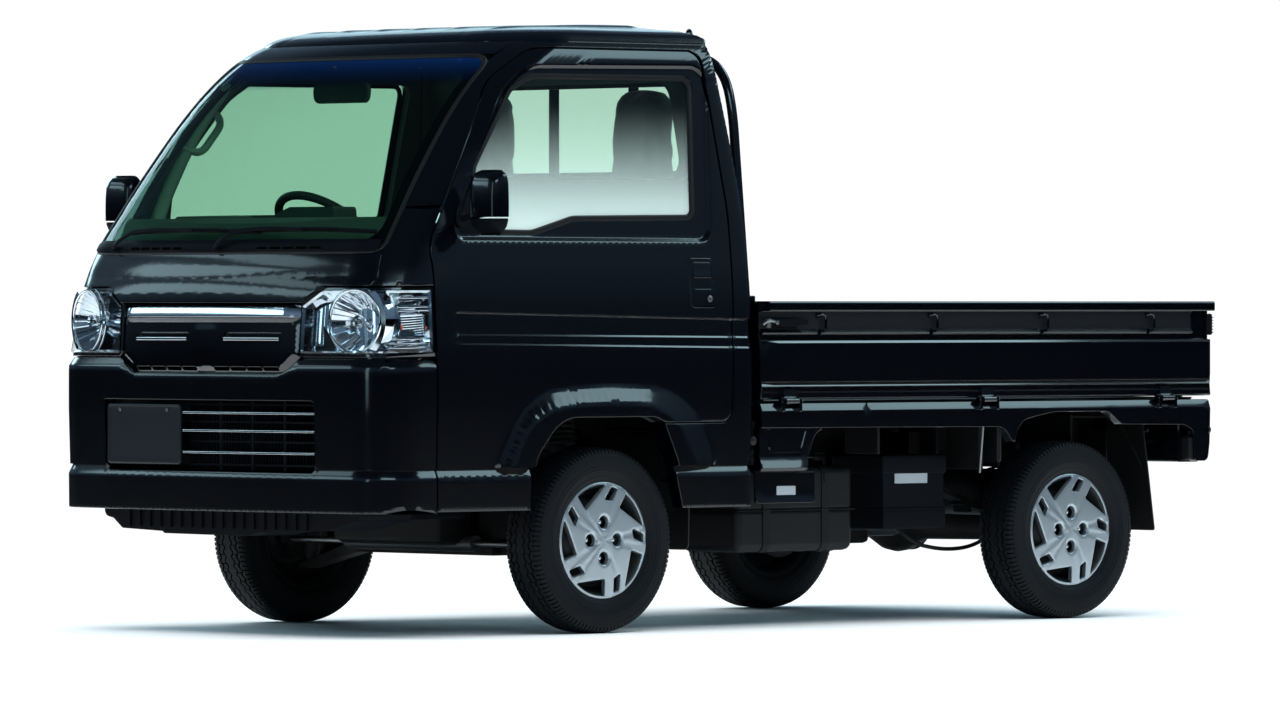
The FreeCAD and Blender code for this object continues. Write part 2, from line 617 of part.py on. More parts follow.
def front_suspension():
    """Fixed half of the suspension: subframe, arms, springs and rods, rack housing."""
    deck_under = DECK_TOP_Z - FLOOR_THICK
    rod = cylinder(STRUT_ROD_R, on_axis(500.0), on_axis(deck_under + 30.0))
    spring = tube(SPRING_R[1], SPRING_R[0], on_axis(552.0), on_axis(640.0))
    cap = cylinder(SPRING_R[1] + 6.0, on_axis(640.0), on_axis(deck_under + 60.0))
    strut = rod.fuse(spring).fuse(cap).common(box((0, FAR_X), (-1000, -600), (0, deck_under)))
    arm_y = (FRONT_AXLE_Y - ARM_HALF_Y, FRONT_AXLE_Y + ARM_HALF_Y)
    frame_y = (FRONT_AXLE_Y - SUBFRAME_HALF_Y, FRONT_AXLE_Y + SUBFRAME_HALF_Y)
    arm = prism_y([(RAIL_X, 222, 0), (560, 160, 10), (602, 160, 10), (602, 180, 8),
                   (560, 182, 10), (RAIL_X, 262, 0)], *arm_y)
    stud = cylinder(BALL_R, on_axis(170.0), on_axis(214.0))
    arms = arm.fuse(stud)
    beam = box((-RAIL_X, RAIL_X), frame_y, (215, 280))
    post = box((RAIL_X - 60, RAIL_X), frame_y, (280, deck_under - 90))
    foot = box((RAIL_X - 60, RAIL_X + RAIL_WIDTH), frame_y, (deck_under - 120, deck_under - 90))
    frame = beam.fuse(both_sides(post.fuse(foot)))
    rack_start, rack_end = V(-RACK_HOUSE_HALF, RACK_Y, RACK_Z), V(RACK_HOUSE_HALF, RACK_Y, RACK_Z)
    housing = tube(RACK_HOUSE_R, RACK_ROD_R + SPINDLE_FIT, rack_start, rack_end)
    for x in (-200.0, 160.0):
        lug = box((x, x + 40), (RACK_Y, frame_y[0]), (RACK_Z - 20, RACK_Z + 20))
        housing = housing.fuse(lug.cut(cylinder(RACK_ROD_R + 2.0, rack_start, rack_end)))
    return {"front_struts": both_sides(clean(strut)), "lower_arms": both_sides(clean(arms)),
            "front_subframe": clean(frame), "rack_housing": clean(housing),
            "tie_rods": cylinder(RACK_ROD_R, V(-RACK_HALF, RACK_Y, RACK_Z),
                                 V(RACK_HALF, RACK_Y, RACK_Z))}


def knuckle():
    """Left hub carrier with its strut tube, steering arm and spindle."""
    body = cylinder(36.0, V(545, FRONT_AXLE_Y, TYRE_R), V(602, FRONT_AXLE_Y, TYRE_R))
    body = body.fuse(cylinder(78.0, V(592, FRONT_AXLE_Y, TYRE_R), V(602, FRONT_AXLE_Y, TYRE_R)))
    body = body.fuse(cylinder(STRUT_TUBE_R, on_axis(195.0), on_axis(560.0)))
    body = body.fuse(cylinder(SPRING_R[1] - 4, on_axis(534.0), on_axis(541.0)))
    arm = box((552, 574), (RACK_Y - 12, FRONT_AXLE_Y - 20), (RACK_Z - 12, RACK_Z + 12))
    body = body.fuse(arm)
    body = body.fuse(cylinder(SPINDLE_R, V(560, FRONT_AXLE_Y, TYRE_R),
                              V(SPINDLE_END_X, FRONT_AXLE_Y, TYRE_R)))
    body = body.cut(cylinder(STRUT_ROD_R + SPINDLE_FIT, on_axis(490.0), on_axis(600.0)))
    return body.cut(cylinder(BALL_R + SPINDLE_FIT, on_axis(150.0), on_axis(220.0)))


def knuckles():
    left = clean(knuckle())
    return {"knuckle_left": left, "knuckle_right": clean(mirrored(left))}


def wheels():
    """Tyre ring and pressed rim with its cover, turned about the spindle."""
    half = TYRE_WIDTH / 2
    bead = half - 12.0
    wall_r = (TYRE_R + TYRE_BEAD_R) / 2
    path = [Part.LineSegment(V(-bead, 0, TYRE_BEAD_R), V(bead, 0, TYRE_BEAD_R)),
            Part.Arc(V(bead, 0, TYRE_BEAD_R), V(half, 0, wall_r), V(half - 14, 0, TYRE_R - 10)),
            Part.Arc(V(half - 14, 0, TYRE_R - 10), V(half - 18, 0, TYRE_R - 4),
                     V(half - 26, 0, TYRE_R)),
            Part.LineSegment(V(half - 26, 0, TYRE_R), V(26 - half, 0, TYRE_R)),
            Part.Arc(V(26 - half, 0, TYRE_R), V(18 - half, 0, TYRE_R - 4),
                     V(14 - half, 0, TYRE_R - 10)),
            Part.Arc(V(14 - half, 0, TYRE_R - 10), V(-half, 0, wall_r), V(-bead, 0, TYRE_BEAD_R))]
    section = Part.Face(Part.Wire([curve.toShape() for curve in path]))
    tyre = section.revolve(V(0, 0, 0), V(1, 0, 0), 360)

    def at(x):
        return V(x, 0, 0)

    barrel = tube(TYRE_BEAD_R, TYRE_BEAD_R - RIM_WALL, at(-bead), at(bead))
    disc = cylinder(TYRE_BEAD_R - 1, at(RIM_DISC_X), at(RIM_DISC_X + RIM_DISC_THICK))
    hub = cylinder(HUB_R, at(RIM_DISC_X - 45.0), at(RIM_DISC_X + 20.0))
    cover = cylinder(COVER_R, at(COVER_FACE_X - COVER_THICK), at(COVER_FACE_X))
    dish = tube(COVER_R, COVER_R - 8, at(RIM_DISC_X), at(COVER_FACE_X))
    rim = barrel.fuse(disc).fuse(hub).fuse(dish).fuse(cover)
    rim = rim.cut(cylinder(SPINDLE_R + SPINDLE_FIT, at(-80), at(COVER_FACE_X - COVER_THICK)))
    rim = clean(rim)
    nodes = {}
    for end, y in (("front", FRONT_AXLE_Y), ("rear", REAR_AXLE_Y)):
        for side, sign in (("left", 1), ("right", -1)):
            for kind, shape in (("tyre", tyre), ("rim", rim)):
                part = shape.copy() if sign > 0 else mirrored(shape)
                part.translate(V(sign * HALF_TRACK, y, TYRE_R))
                nodes["_".join((kind, end, side))] = part
    return nodes


# ---- running gear under the bed --------------------------------------------
def running_gear():
    """Engine block, fuel tank, battery box and silencer, each with its hangers."""
    rail = (RAIL_X, RAIL_X + RAIL_WIDTH)
    hang_z = (HANGER_LOW_Z, RAIL_BOTTOM_Z)
    engine = box(*ENGINE)
    for hanger_y in ENGINE_HANGERS_Y:
        hanger = box((ENGINE[0][0] + 50, ENGINE[0][1] - 50), hanger_y, hang_z)
        engine = engine.fuse(hanger.cut(box(*ENGINE)))
    tank = box(*TANK)
    tank = tank.makeFillet(25.0, tank.Edges)
    strap_y = (TANK[1][0] + 120, TANK[1][1] - 120)
    strap = box(rail, strap_y, hang_z)
    strap = strap.fuse(box((rail[1], rail[1] + 60), strap_y, (HANGER_LOW_Z, TANK[2][1] - 5)))
    battery = box(*BATTERY)
    bracket_y = (BATTERY[1][0] + 50, BATTERY[1][1] - 49)
    battery = battery.fuse(box((rail[0], BATTERY[0][0] + 1), bracket_y, hang_z))
    muffler = cylinder(MUFFLER_R, V(MUFFLER_X[0], MUFFLER_Y, MUFFLER_Z),
                       V(MUFFLER_X[1], MUFFLER_Y, MUFFLER_Z))
    hanger_y = (MUFFLER_Y - 20, MUFFLER_Y + 20)
    hanger = box((MUFFLER_X[0] + 80, MUFFLER_X[1] - 80), hanger_y,
                 (MUFFLER_Z + MUFFLER_R / 2, RAIL_BOTTOM_Z))
    hanger = hanger.fuse(box((-RAIL_X, RAIL_X), hanger_y, (RAIL_BOTTOM_Z, RAIL_BOTTOM_Z + 40)))
    return {"engine": clean(engine), "fuel_tank": clean(tank.fuse(strap)),
            "battery_box": clean(battery), "exhaust": clean(muffler.fuse(hanger))}


def brake_cable():
    """Hand-brake cable from the engine's bracket to the axle, sagging between them."""
    points = CABLE_POINTS
    edges, start = [], points[0]
    for index in range(1, len(points) - 1):
        here = points[index]
        before, after = points[index - 1] - here, points[index + 1] - here
        half = before.getAngle(after) / 2
        reach = 0.45 * min(before.Length, after.Length)
        first = here + before.normalize() * reach
        last = here + after.normalize() * reach
        radius = reach * math.tan(half)
        middle = (before + after).normalize()
        tip = here + middle * (radius / math.sin(half) - radius)
        edges.append(Part.LineSegment(start, first).toShape())
        edges.append(Part.Arc(first, tip, last).toShape())
        start = last
    edges.append(Part.LineSegment(start, points[-1]).toShape())
    path = Part.Wire(edges)
    profile = Part.Wire(Part.Circle(points[0], points[1] - points[0], CABLE_R).toShape())
    return {"brake_cable": path.makePipeShell([profile], True, False)}


# ---- bed -------------------------------------------------------------------
def bed():
    """Floor on its bearers, side sills, front wall, rear beam and what hangs from them."""
    inner_x = HALF_WIDTH - SILL_WIDTH
    deck_y = (BED_FRONT_Y + BED_WALL, GATE_REAR_Y - GATE_THICK)
    deck = box((-inner_x, inner_x), deck_y, (BEARER_Z[1], BED_TOP_Z))
    for y in BEARERS_Y + (END_BEAM_Y[0],):
        deck = deck.fuse(box((-inner_x, inner_x), (y, y + BEARER_WIDTH), BEARER_Z))
    sill = box((inner_x, HALF_WIDTH), (BED_FRONT_Y, GATE_REAR_Y - 8), SILL_Z)
    panel_x = (HALF_WIDTH - QUARTER_PANEL_X[0], HALF_WIDTH - QUARTER_PANEL_X[1])
    sill = sill.fuse(box(panel_x, (BED_FRONT_Y, QUARTER_PANEL_Y), (455, SILL_Z[0])))
    for y in SIDE_HINGES_Y:
        sill = sill.fuse(hinge_seat(SIDE_HINGE, panel_x[1], side_place, y))
    front = box((-HALF_WIDTH + 2, HALF_WIDTH - 2), (BED_FRONT_Y, BED_FRONT_Y + BED_WALL),
                (SILL_Z[1], GATE_TOP_Z))
    lamp = box(TAIL_LAMP_X, (END_BEAM_Y[1], END_BEAM_Y[1] + TAIL_LAMP_DEEP), TAIL_LAMP_Z)
    flap = box(MUDGUARD_X, FLAP_Y, (FLAP_LOW_Z, SILL_Z[0]))
    guard = box(MUDGUARD_X, GUARD_Y, (GUARD_LOW_Z, SILL_Z[0]))
    return {"bed_floor": clean(deck), "bed_sills": both_sides(clean(sill)),
            "bed_front_wall": front, "rear_beam": clean(rear_beam().cut(deck)),
            "tail_lights": both_sides(lamp),
            "mudguards": Part.makeCompound(both_sides(flap).Solids + both_sides(guard).Solids)}


def rear_beam():
    """Beam across the rails' ends that carries the tailgate's hinges."""
    beam = box((-HALF_WIDTH, HALF_WIDTH), END_BEAM_Y, (END_BEAM_LOW_Z, SILL_Z[0]))
    notch = box((RAIL_X - 1, RAIL_X + RAIL_WIDTH + 1), (0, END_BEAM_Y[1] + 50),
                (RAIL_BOTTOM_Z, SILL_Z[0] + 1))
    beam = beam.cut(both_sides(notch))
    reach = HINGE_HALF + HINGE_SIDE + HINGE_LUG
    for x in REAR_HINGES_X:
        beam = beam.fuse(box((x - reach, x + reach), (END_BEAM_Y[1] - 20, REAR_HINGE[0] - 12),
                             (SILL_Z[1] - 60, SILL_Z[1] - 2)))
        beam = beam.fuse(hinge_seat(REAR_HINGE, REAR_HINGE[0] - 26, rear_place, x))
    return beam


def guard_frame():
    """Frame behind the cab: two leaning posts, top rail, two bars and rope hooks."""
    y = (BED_FRONT_Y, BED_FRONT_Y + BED_WALL)
    post = prism_y(GUARD_ROWS, *y)
    rail_z = (GUARD_ROWS[5][1], GUARD_ROWS[3][1])
    bar = box(GUARD_BAR_X, y, (GATE_TOP_Z, rail_z[0] + 5))
    hook = box(GUARD_HOOK_X, (y[0] + 5, y[1] - 5), (rail_z[1] - 5, GUARD_HOOK_TOP_Z))
    half = post.fuse(bar).fuse(hook)
    cross = box((-GUARD_CROSS_HALF, GUARD_CROSS_HALF), y, GUARD_CROSS_Z)
    outer = [row for row in GUARD_ROWS if row[0] >= GUARD_ROWS[3][0]][1:3]
    outer += [(GUARD_ROWS[3][0], GUARD_HOOK_TOP_Z, 0)]
    trim = prism_y(outer + [(-x, z, r) for x, z, r in reversed(outer)], *y)
    frame = half.fuse(mirrored(half)).fuse(cross)
    return {"guard_frame": clean(largest(frame.common(trim)))}


def hinge_strap(axis, face, along, centre):
    """Eye and strap of one gate hinge. axis and face are (across, z) places."""
    half = HINGE_HALF
    start = along(centre - half, axis[0], axis[1])
    end = along(centre + half, axis[0], axis[1])
    eye = cylinder(HINGE_EYE_R, start, end)
    low = along(centre - half, face[0], axis[1] - 2)
    high = along(centre + half, axis[0], face[1])
    strap = Part.makeBox(abs(high.x - low.x), abs(high.y - low.y), abs(high.z - low.z),
                         V(min(low.x, high.x), min(low.y, high.y), min(low.z, high.z)))
    bore = cylinder(HINGE_PIN_R + SPINDLE_FIT, start, end)
    return strap.fuse(eye).cut(bore)


def side_place(run, across, z):
    return V(across, run, z)


def rear_place(run, across, z):
    return V(run, across, z)


def hinge_seat(axis, inner, along, centre):
    """Pin between two lugs that stand out from the sill or rear beam."""
    near = HINGE_HALF + HINGE_SIDE
    pin = cylinder(HINGE_PIN_R, along(centre - near - HINGE_LUG, axis[0], axis[1]),
                   along(centre + near + HINGE_LUG, axis[0], axis[1]))
    for start in (centre - near - HINGE_LUG, centre + near):
        low = along(start, inner, axis[1] - HINGE_LUG_DROP)
        high = along(start + HINGE_LUG, axis[0] + HINGE_PIN_R, axis[1] + HINGE_PIN_R)
        pin = pin.fuse(Part.makeBox(high.x - low.x, high.y - low.y, high.z - low.z, low))
    return pin


def gates():
    """Two side gates and the tailgate, each a ribbed panel under a stiff top rail."""
    outer, inner = HALF_WIDTH, HALF_WIDTH - GATE_THICK
    low, high = GATE_LOW_Z, GATE_TOP_Z
    face = outer - 8.0
    rows = [(inner, low, 0), (face, low, 0), (face, low + 40, 0), (face - 8, low + 48, 0),
            (face - 8, high - 150, 0), (face, high - 144, 0), (face, high - GATE_RAIL_Z, 0),
            (outer, high - GATE_RAIL_Z + 4, 0), (outer, high, 4), (inner, high, 4)]
    side = prism_y(rows, BED_FRONT_Y + BED_WALL + DOOR_GAP, GATE_REAR_Y - GATE_THICK - DOOR_GAP)
    strap_face = (face - 6, low + 22)
    for y in SIDE_HINGES_Y:
        side = side.fuse(hinge_strap(SIDE_HINGE, strap_face, side_place, y))
    shift = GATE_REAR_Y - outer
    tail = prism_x([(x + shift, z, r) for x, z, r in rows], -outer + 2, outer - 2)
    tail = tail.fuse(box((-outer + 2, outer - 2), (GATE_REAR_Y, REAR_Y), (high - 30, high - 6)))
    strap_face = (face - 6 + shift, low + 22)
    for x in REAR_HINGES_X:
        tail = tail.fuse(hinge_strap(REAR_HINGE, strap_face, rear_place, x))
    return {"gate_left": clean(side), "gate_right": clean(mirrored(side)),
            "tailgate": clean(tail)}


def main():
    os.makedirs("parts", exist_ok=True)
    nodes = {}
    for make in (cab_panels, cab_floor, cab_interior, seats, steering_wheel, wipers, chassis,
                 rear_suspension, front_suspension, knuckles, wheels, running_gear,
                 brake_cable, bed, guard_frame, gates):
        nodes.update(make())
    for name in sorted(nodes):
        shape = nodes[name]
        shape.translate(V(0, -ORIGIN_Y, 0))
        shape.exportStep("parts/" + name + ".step")
        print(name, len(shape.Solids), shape.isValid(), round(shape.Volume / 1e6, 2))


main()
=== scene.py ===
"""Kei truck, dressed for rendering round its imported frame.

Sizes are in millimetres, as a coachbuilder's drawings give them, and Piece turns them
into metres. +Z is up, the nose faces -Y and +X is the vehicle's left side. Outer panels
are drawn once for the left side and mirrored.
"""
import json
import logging
import math
from dataclasses import dataclass
from enum import Enum
from typing import Callable, Iterable, Optional, Sequence

import bpy
import bmesh
import numpy as np
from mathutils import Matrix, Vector
from mathutils.geometry import delaunay_2d_cdt

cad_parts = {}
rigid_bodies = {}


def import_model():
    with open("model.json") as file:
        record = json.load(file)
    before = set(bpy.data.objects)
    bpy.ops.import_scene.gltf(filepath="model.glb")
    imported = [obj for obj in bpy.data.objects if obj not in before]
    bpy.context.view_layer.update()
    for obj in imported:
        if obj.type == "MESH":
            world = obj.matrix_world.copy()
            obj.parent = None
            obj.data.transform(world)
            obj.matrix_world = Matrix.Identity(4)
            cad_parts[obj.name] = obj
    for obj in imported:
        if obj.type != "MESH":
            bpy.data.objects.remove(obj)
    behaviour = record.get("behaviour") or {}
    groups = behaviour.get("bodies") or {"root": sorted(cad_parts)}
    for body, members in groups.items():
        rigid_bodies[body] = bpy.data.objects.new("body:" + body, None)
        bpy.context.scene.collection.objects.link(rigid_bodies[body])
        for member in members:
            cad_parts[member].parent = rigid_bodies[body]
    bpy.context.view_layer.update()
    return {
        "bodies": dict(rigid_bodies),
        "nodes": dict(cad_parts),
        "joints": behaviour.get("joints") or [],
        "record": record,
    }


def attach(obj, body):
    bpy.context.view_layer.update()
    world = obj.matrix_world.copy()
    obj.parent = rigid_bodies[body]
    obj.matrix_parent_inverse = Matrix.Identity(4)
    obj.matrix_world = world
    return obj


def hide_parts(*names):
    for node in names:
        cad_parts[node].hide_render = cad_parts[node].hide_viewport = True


MM = 0.001
Rows = Sequence[Sequence[float]]
Mesh3 = tuple[np.ndarray, list, list]
LOG = logging.getLogger("kei_truck")


class Side(Enum):
    """Side of the vehicle, as the sign of x."""
    LEFT = 1
    RIGHT = -1

    @property
    def word(self) -> str:
        """The side's name as bodies and nodes use it."""
        return self.name.lower()


# ---- materials ---------------------------------------------------------------
def linear(code: str) -> tuple[float, float, float, float]:
    """Turns an sRGB hex colour into linear RGBA.

    Args:
        code: colour as six hex digits.

    Returns:
        Linear red, green and blue, with alpha 1.
    """
    parts = [int(code[i:i + 2], 16) / 255 for i in (0, 2, 4)]
    rgb = [p / 12.92 if p <= 0.04045 else ((p + 0.055) / 1.055) ** 2.4 for p in parts]
    return rgb[0], rgb[1], rgb[2], 1.0


def add(tree: bpy.types.NodeTree, kind: str, settings: Optional[dict] = None,
        links: Optional[dict] = None) -> bpy.types.Node:
    """Adds one node with its settings and input links.

    Args:
        tree: node tree to add to.
        kind: node type's identifier.
        settings: input names or node attributes and their values.
        links: input names or numbers and the output sockets that feed them.

    Returns:
        The new node.
    """
    node = tree.nodes.new(kind)
    for name, value in (settings or {}).items():
        if isinstance(name, int) or name in node.inputs:
            node.inputs[name].default_value = value
        else:
            setattr(node, name, value)
    for name, socket in (links or {}).items():
        tree.links.new(socket, node.inputs[name])
    return node


def scale_for(size_mm: float) -> float:
    """Noise or Voronoi scale that repeats about once in a real size.

    Args:
        size_mm: size of one grain, thread or ripple, in millimetres.

    Returns:
        The texture's Scale for object coordinates in metres.
    """
    return 1.0 / (size_mm * MM)


@dataclass(frozen=True)
class Finish:
    """One surface: what it is made of and how it was made.

    Grain of grain_mm is drawn as bump and as uneven roughness; mottle mixes in the worn
    colour in soft patches.
    """
    name: str
    colour: str
    roughness: float
    metallic: float = 0.0
    ior: float = 1.5
    specular: float = 0.5
    coat: float = 0.0
    coat_roughness: float = 0.03
    sheen: float = 0.0
    grain_mm: float = 0.0
    grain_height: float = 0.0
    mottle: float = 0.0
    worn: str = ""
    transmission: float = 0.0

    def shader(self, material: bpy.types.Material) -> bpy.types.Node:
        """Sets the uniform values on the shader's own sockets.

        Args:
            material: material whose tree is filled.

        Returns:
            The Principled BSDF node.
        """
        material.use_nodes = True
        bsdf = material.node_tree.nodes["Principled BSDF"]
        for socket, value in (("Base Color", linear(self.colour)), ("Roughness", self.roughness),
                              ("Metallic", self.metallic), ("IOR", self.ior),
                              ("Specular IOR Level", self.specular), ("Coat Weight", self.coat),
                              ("Coat Roughness", self.coat_roughness),
                              ("Sheen Weight", self.sheen),
                              ("Transmission Weight", self.transmission)):
            bsdf.inputs[socket].default_value = value
        return bsdf

    def make(self) -> bpy.types.Material:
        """Builds the material with its grain, mottle and wear.

        Returns:
            The Blender material, made once for each name.
        """
        if self.name in bpy.data.materials:
            return bpy.data.materials[self.name]
        material = bpy.data.materials.new(self.name)
        bsdf = self.shader(material)
        tree = material.node_tree
        place = add(tree, "ShaderNodeTexCoord").outputs["Object"]
        if self.grain_mm:
            self.grain(tree, bsdf, place)
        if self.mottle:
            self.colour_change(tree, bsdf, place)
        return material

    def grain(self, tree: bpy.types.NodeTree, bsdf: bpy.types.Node,
              place: bpy.types.NodeSocket) -> None:
        """Adds grain as bump and as uneven roughness.

        Args:
            tree: node tree.
            bsdf: shader to feed.
            place: texture coordinate.
        """
        noise = add(tree, "ShaderNodeTexNoise", {"Scale": scale_for(self.grain_mm), "Detail": 3.0},
                    {"Vector": place})
        bump = add(tree, "ShaderNodeBump", {"Strength": 1.0, "Distance": self.grain_height * MM},
                   {"Height": noise.outputs[0]})
        tree.links.new(bump.outputs[0], bsdf.inputs["Normal"])
        uneven = add(tree, "ShaderNodeMapRange", {"To Min": self.roughness * 0.85,
                                                  "To Max": min(1.0, self.roughness * 1.15)},
                     {"Value": noise.outputs[0]})
        tree.links.new(uneven.outputs[0], bsdf.inputs["Roughness"])

    def colour_change(self, tree: bpy.types.NodeTree, bsdf: bpy.types.Node,
                      place: bpy.types.NodeSocket) -> None:
        """Mixes in a second colour in soft patches, for batch and wear.

        Args:
            tree: node tree.
            bsdf: shader to feed.
            place: texture coordinate.
        """
        patches = add(tree, "ShaderNodeTexNoise", {"Scale": scale_for(160.0), "Detail": 4.0},
                      {"Vector": place})
        amount = add(tree, "ShaderNodeMapRange", {"From Min": 0.35, "From Max": 0.75,
                                                  "To Max": self.mottle},
                     {"Value": patches.outputs[0]})
        mixed = add(tree, "ShaderNodeMix", {"data_type": "RGBA"}, {0: amount.outputs[0]})
        mixed.inputs[6].default_value = linear(self.colour)
        mixed.inputs[7].default_value = linear(self.worn or self.colour)
        tree.links.new(mixed.outputs[2], bsdf.inputs["Base Color"])


# Two-coat solid enamel, sprayed and baked over pressed steel: near black with a cool
# cast under a clear coat that blurs what it reflects a little.
ENAMEL = Finish("black_enamel_sprayed", "010206", 0.35, coat=1.0, coat_roughness=0.11,
                specular=0.04, mottle=0.25, worn="020308")
# The same enamel on inner faces, thin and without clear coat: a dull satin.
INNER_ENAMEL = Finish("black_enamel_inner", "090B10", 0.45, grain_mm=6.0, grain_height=0.01,
                      mottle=0.4, worn="12141A", specular=0.25)
# Chassis black, dipped: matt with a slightly dusty look.
CHASSIS = Finish("chassis_black_dipped", "07080A", 0.62, grain_mm=3.0, grain_height=0.05,
                 mottle=0.6, worn="161514", specular=0.2)
# Polypropylene moulded with a fine spark-eroded grain: a dull even black.
TRIM_PLASTIC = Finish("polypropylene_grained", "03050A", 0.6, grain_mm=0.9,
                      grain_height=0.03, mottle=0.3, worn="090B10", specular=0.08)
# ABS moulded in a polished tool: smooth black for the grille and its surround.
GLOSS_PLASTIC = Finish("abs_gloss_moulded", "030407", 0.12, coat=0.6, grain_mm=9.0,
                       grain_height=0.003)
# ABS plated with bright chrome: a clear mirror with faint waves of the moulding.
CHROME = Finish("abs_chrome_plated", "D9DDE0", 0.09, metallic=1.0, grain_mm=30.0,
                grain_height=0.01)
# Cabin mouldings, polypropylene in two greys with a leather-like grain.
DASH_PLASTIC = Finish("polypropylene_dash", "33373A", 0.6, grain_mm=1.4, grain_height=0.06,
                      mottle=0.35, worn="3C4043", specular=0.3)
# ABS for the grip and pillar covers, moulded in a pale grey.
PALE_PLASTIC = Finish("abs_moulded_pale", "8F9A96", 0.55, grain_mm=1.2, grain_height=0.03,
                      mottle=0.2, worn="858F8C", specular=0.3)
# Vinyl-faced hardboard behind the seats and overhead, a flat dark grey.
LINER_PLASTIC = Finish("hardboard_liner_vinyl", "3A4245", 0.75, grain_mm=1.1,
                       grain_height=0.04, mottle=0.3, worn="333B3D")
# EPDM extrusion for seals and weatherstrips: matt black with a slight sheen.
RUBBER = Finish("epdm_extruded", "0B0B0C", 0.5, grain_mm=1.0, grain_height=0.02,
                mottle=0.4, worn="151515", specular=0.3)
# Vulcanised tyre rubber: deep matt black in uneven patches.
TYRE = Finish("tyre_rubber_vulcanised", "04060A", 0.6, grain_mm=1.2, grain_height=0.06,
              mottle=0.5, worn="0C1014", specular=0.18)
# ABS wheel cover, sprayed with fine silver flake under clear.
SILVER = Finish("abs_silver_sprayed", "A3ADB3", 0.34, metallic=0.85, coat=0.3, grain_mm=0.8,
                grain_height=0.006, mottle=0.15, worn="AEB9C0")
# Pressed steel wheel disc behind the cover, coated dark.
WHEEL_STEEL = Finish("steel_disc_coated", "1C1E20", 0.5, metallic=0.3, grain_mm=2.0,
                     grain_height=0.03, mottle=0.4, worn="2C2A28", specular=0.3)
# Sand-cast iron and forged steel, dull grey with a coarse skin.
CAST = Finish("iron_sand_cast", "24252A", 0.65, metallic=0.7, grain_mm=2.2,
              grain_height=0.12, mottle=0.7, worn="4A3F35")
# Die-cast aluminium of the engine and the steering rack's housing.
ALLOY = Finish("aluminium_die_cast", "4A5054", 0.5, metallic=0.85, grain_mm=1.8,
               grain_height=0.06, mottle=0.5, worn="55534F")
# Zinc-plated steel of bolts, rods and clips.
STEEL = Finish("steel_zinc_plated", "8A8C8C", 0.38, metallic=1.0, grain_mm=2.5,
               grain_height=0.02, mottle=0.4, worn="6E6A60")
# Coated steel sheet of the tank and the silencer.
TANK = Finish("steel_tank_coated", "090B0E", 0.5, metallic=0.2, grain_mm=3.0,
              grain_height=0.03, mottle=0.6, worn="141414", specular=0.25)
# Woven polyester seat cloth over foam: soft, with a slight sheen at grazing angles.
CLOTH = Finish("polyester_woven", "26292C", 0.9, sheen=0.35, grain_mm=1.6,
               grain_height=0.25, mottle=0.35, worn="303437", specular=0.2)
# Number plates, bare steel blank painted dark and satin.
PLATE = Finish("steel_plate_painted", "10141A", 0.4, grain_mm=3.0, grain_height=0.01,
               mottle=0.2, worn="141920", specular=0.25)
# Blank paper label under film.
LABEL = Finish("label_vinyl_blank", "98A1A8", 0.45, grain_mm=2.0, grain_height=0.01,
               mottle=0.3, worn="989EA3")
# Bright vacuum-coated reflector bowl inside a lamp.
REFLECTOR = Finish("reflector_aluminised", "E6EAEE", 0.08, metallic=1.0, grain_mm=12.0,
                   grain_height=0.03)
AMBER = Finish("bulb_amber_glass", "C8480C", 0.15, transmission=0.3, grain_mm=3.0,
               grain_height=0.01)
FLOOR = Finish("floor_pale_matt", "F3F5F6", 0.6, grain_mm=40.0, grain_height=0.02)


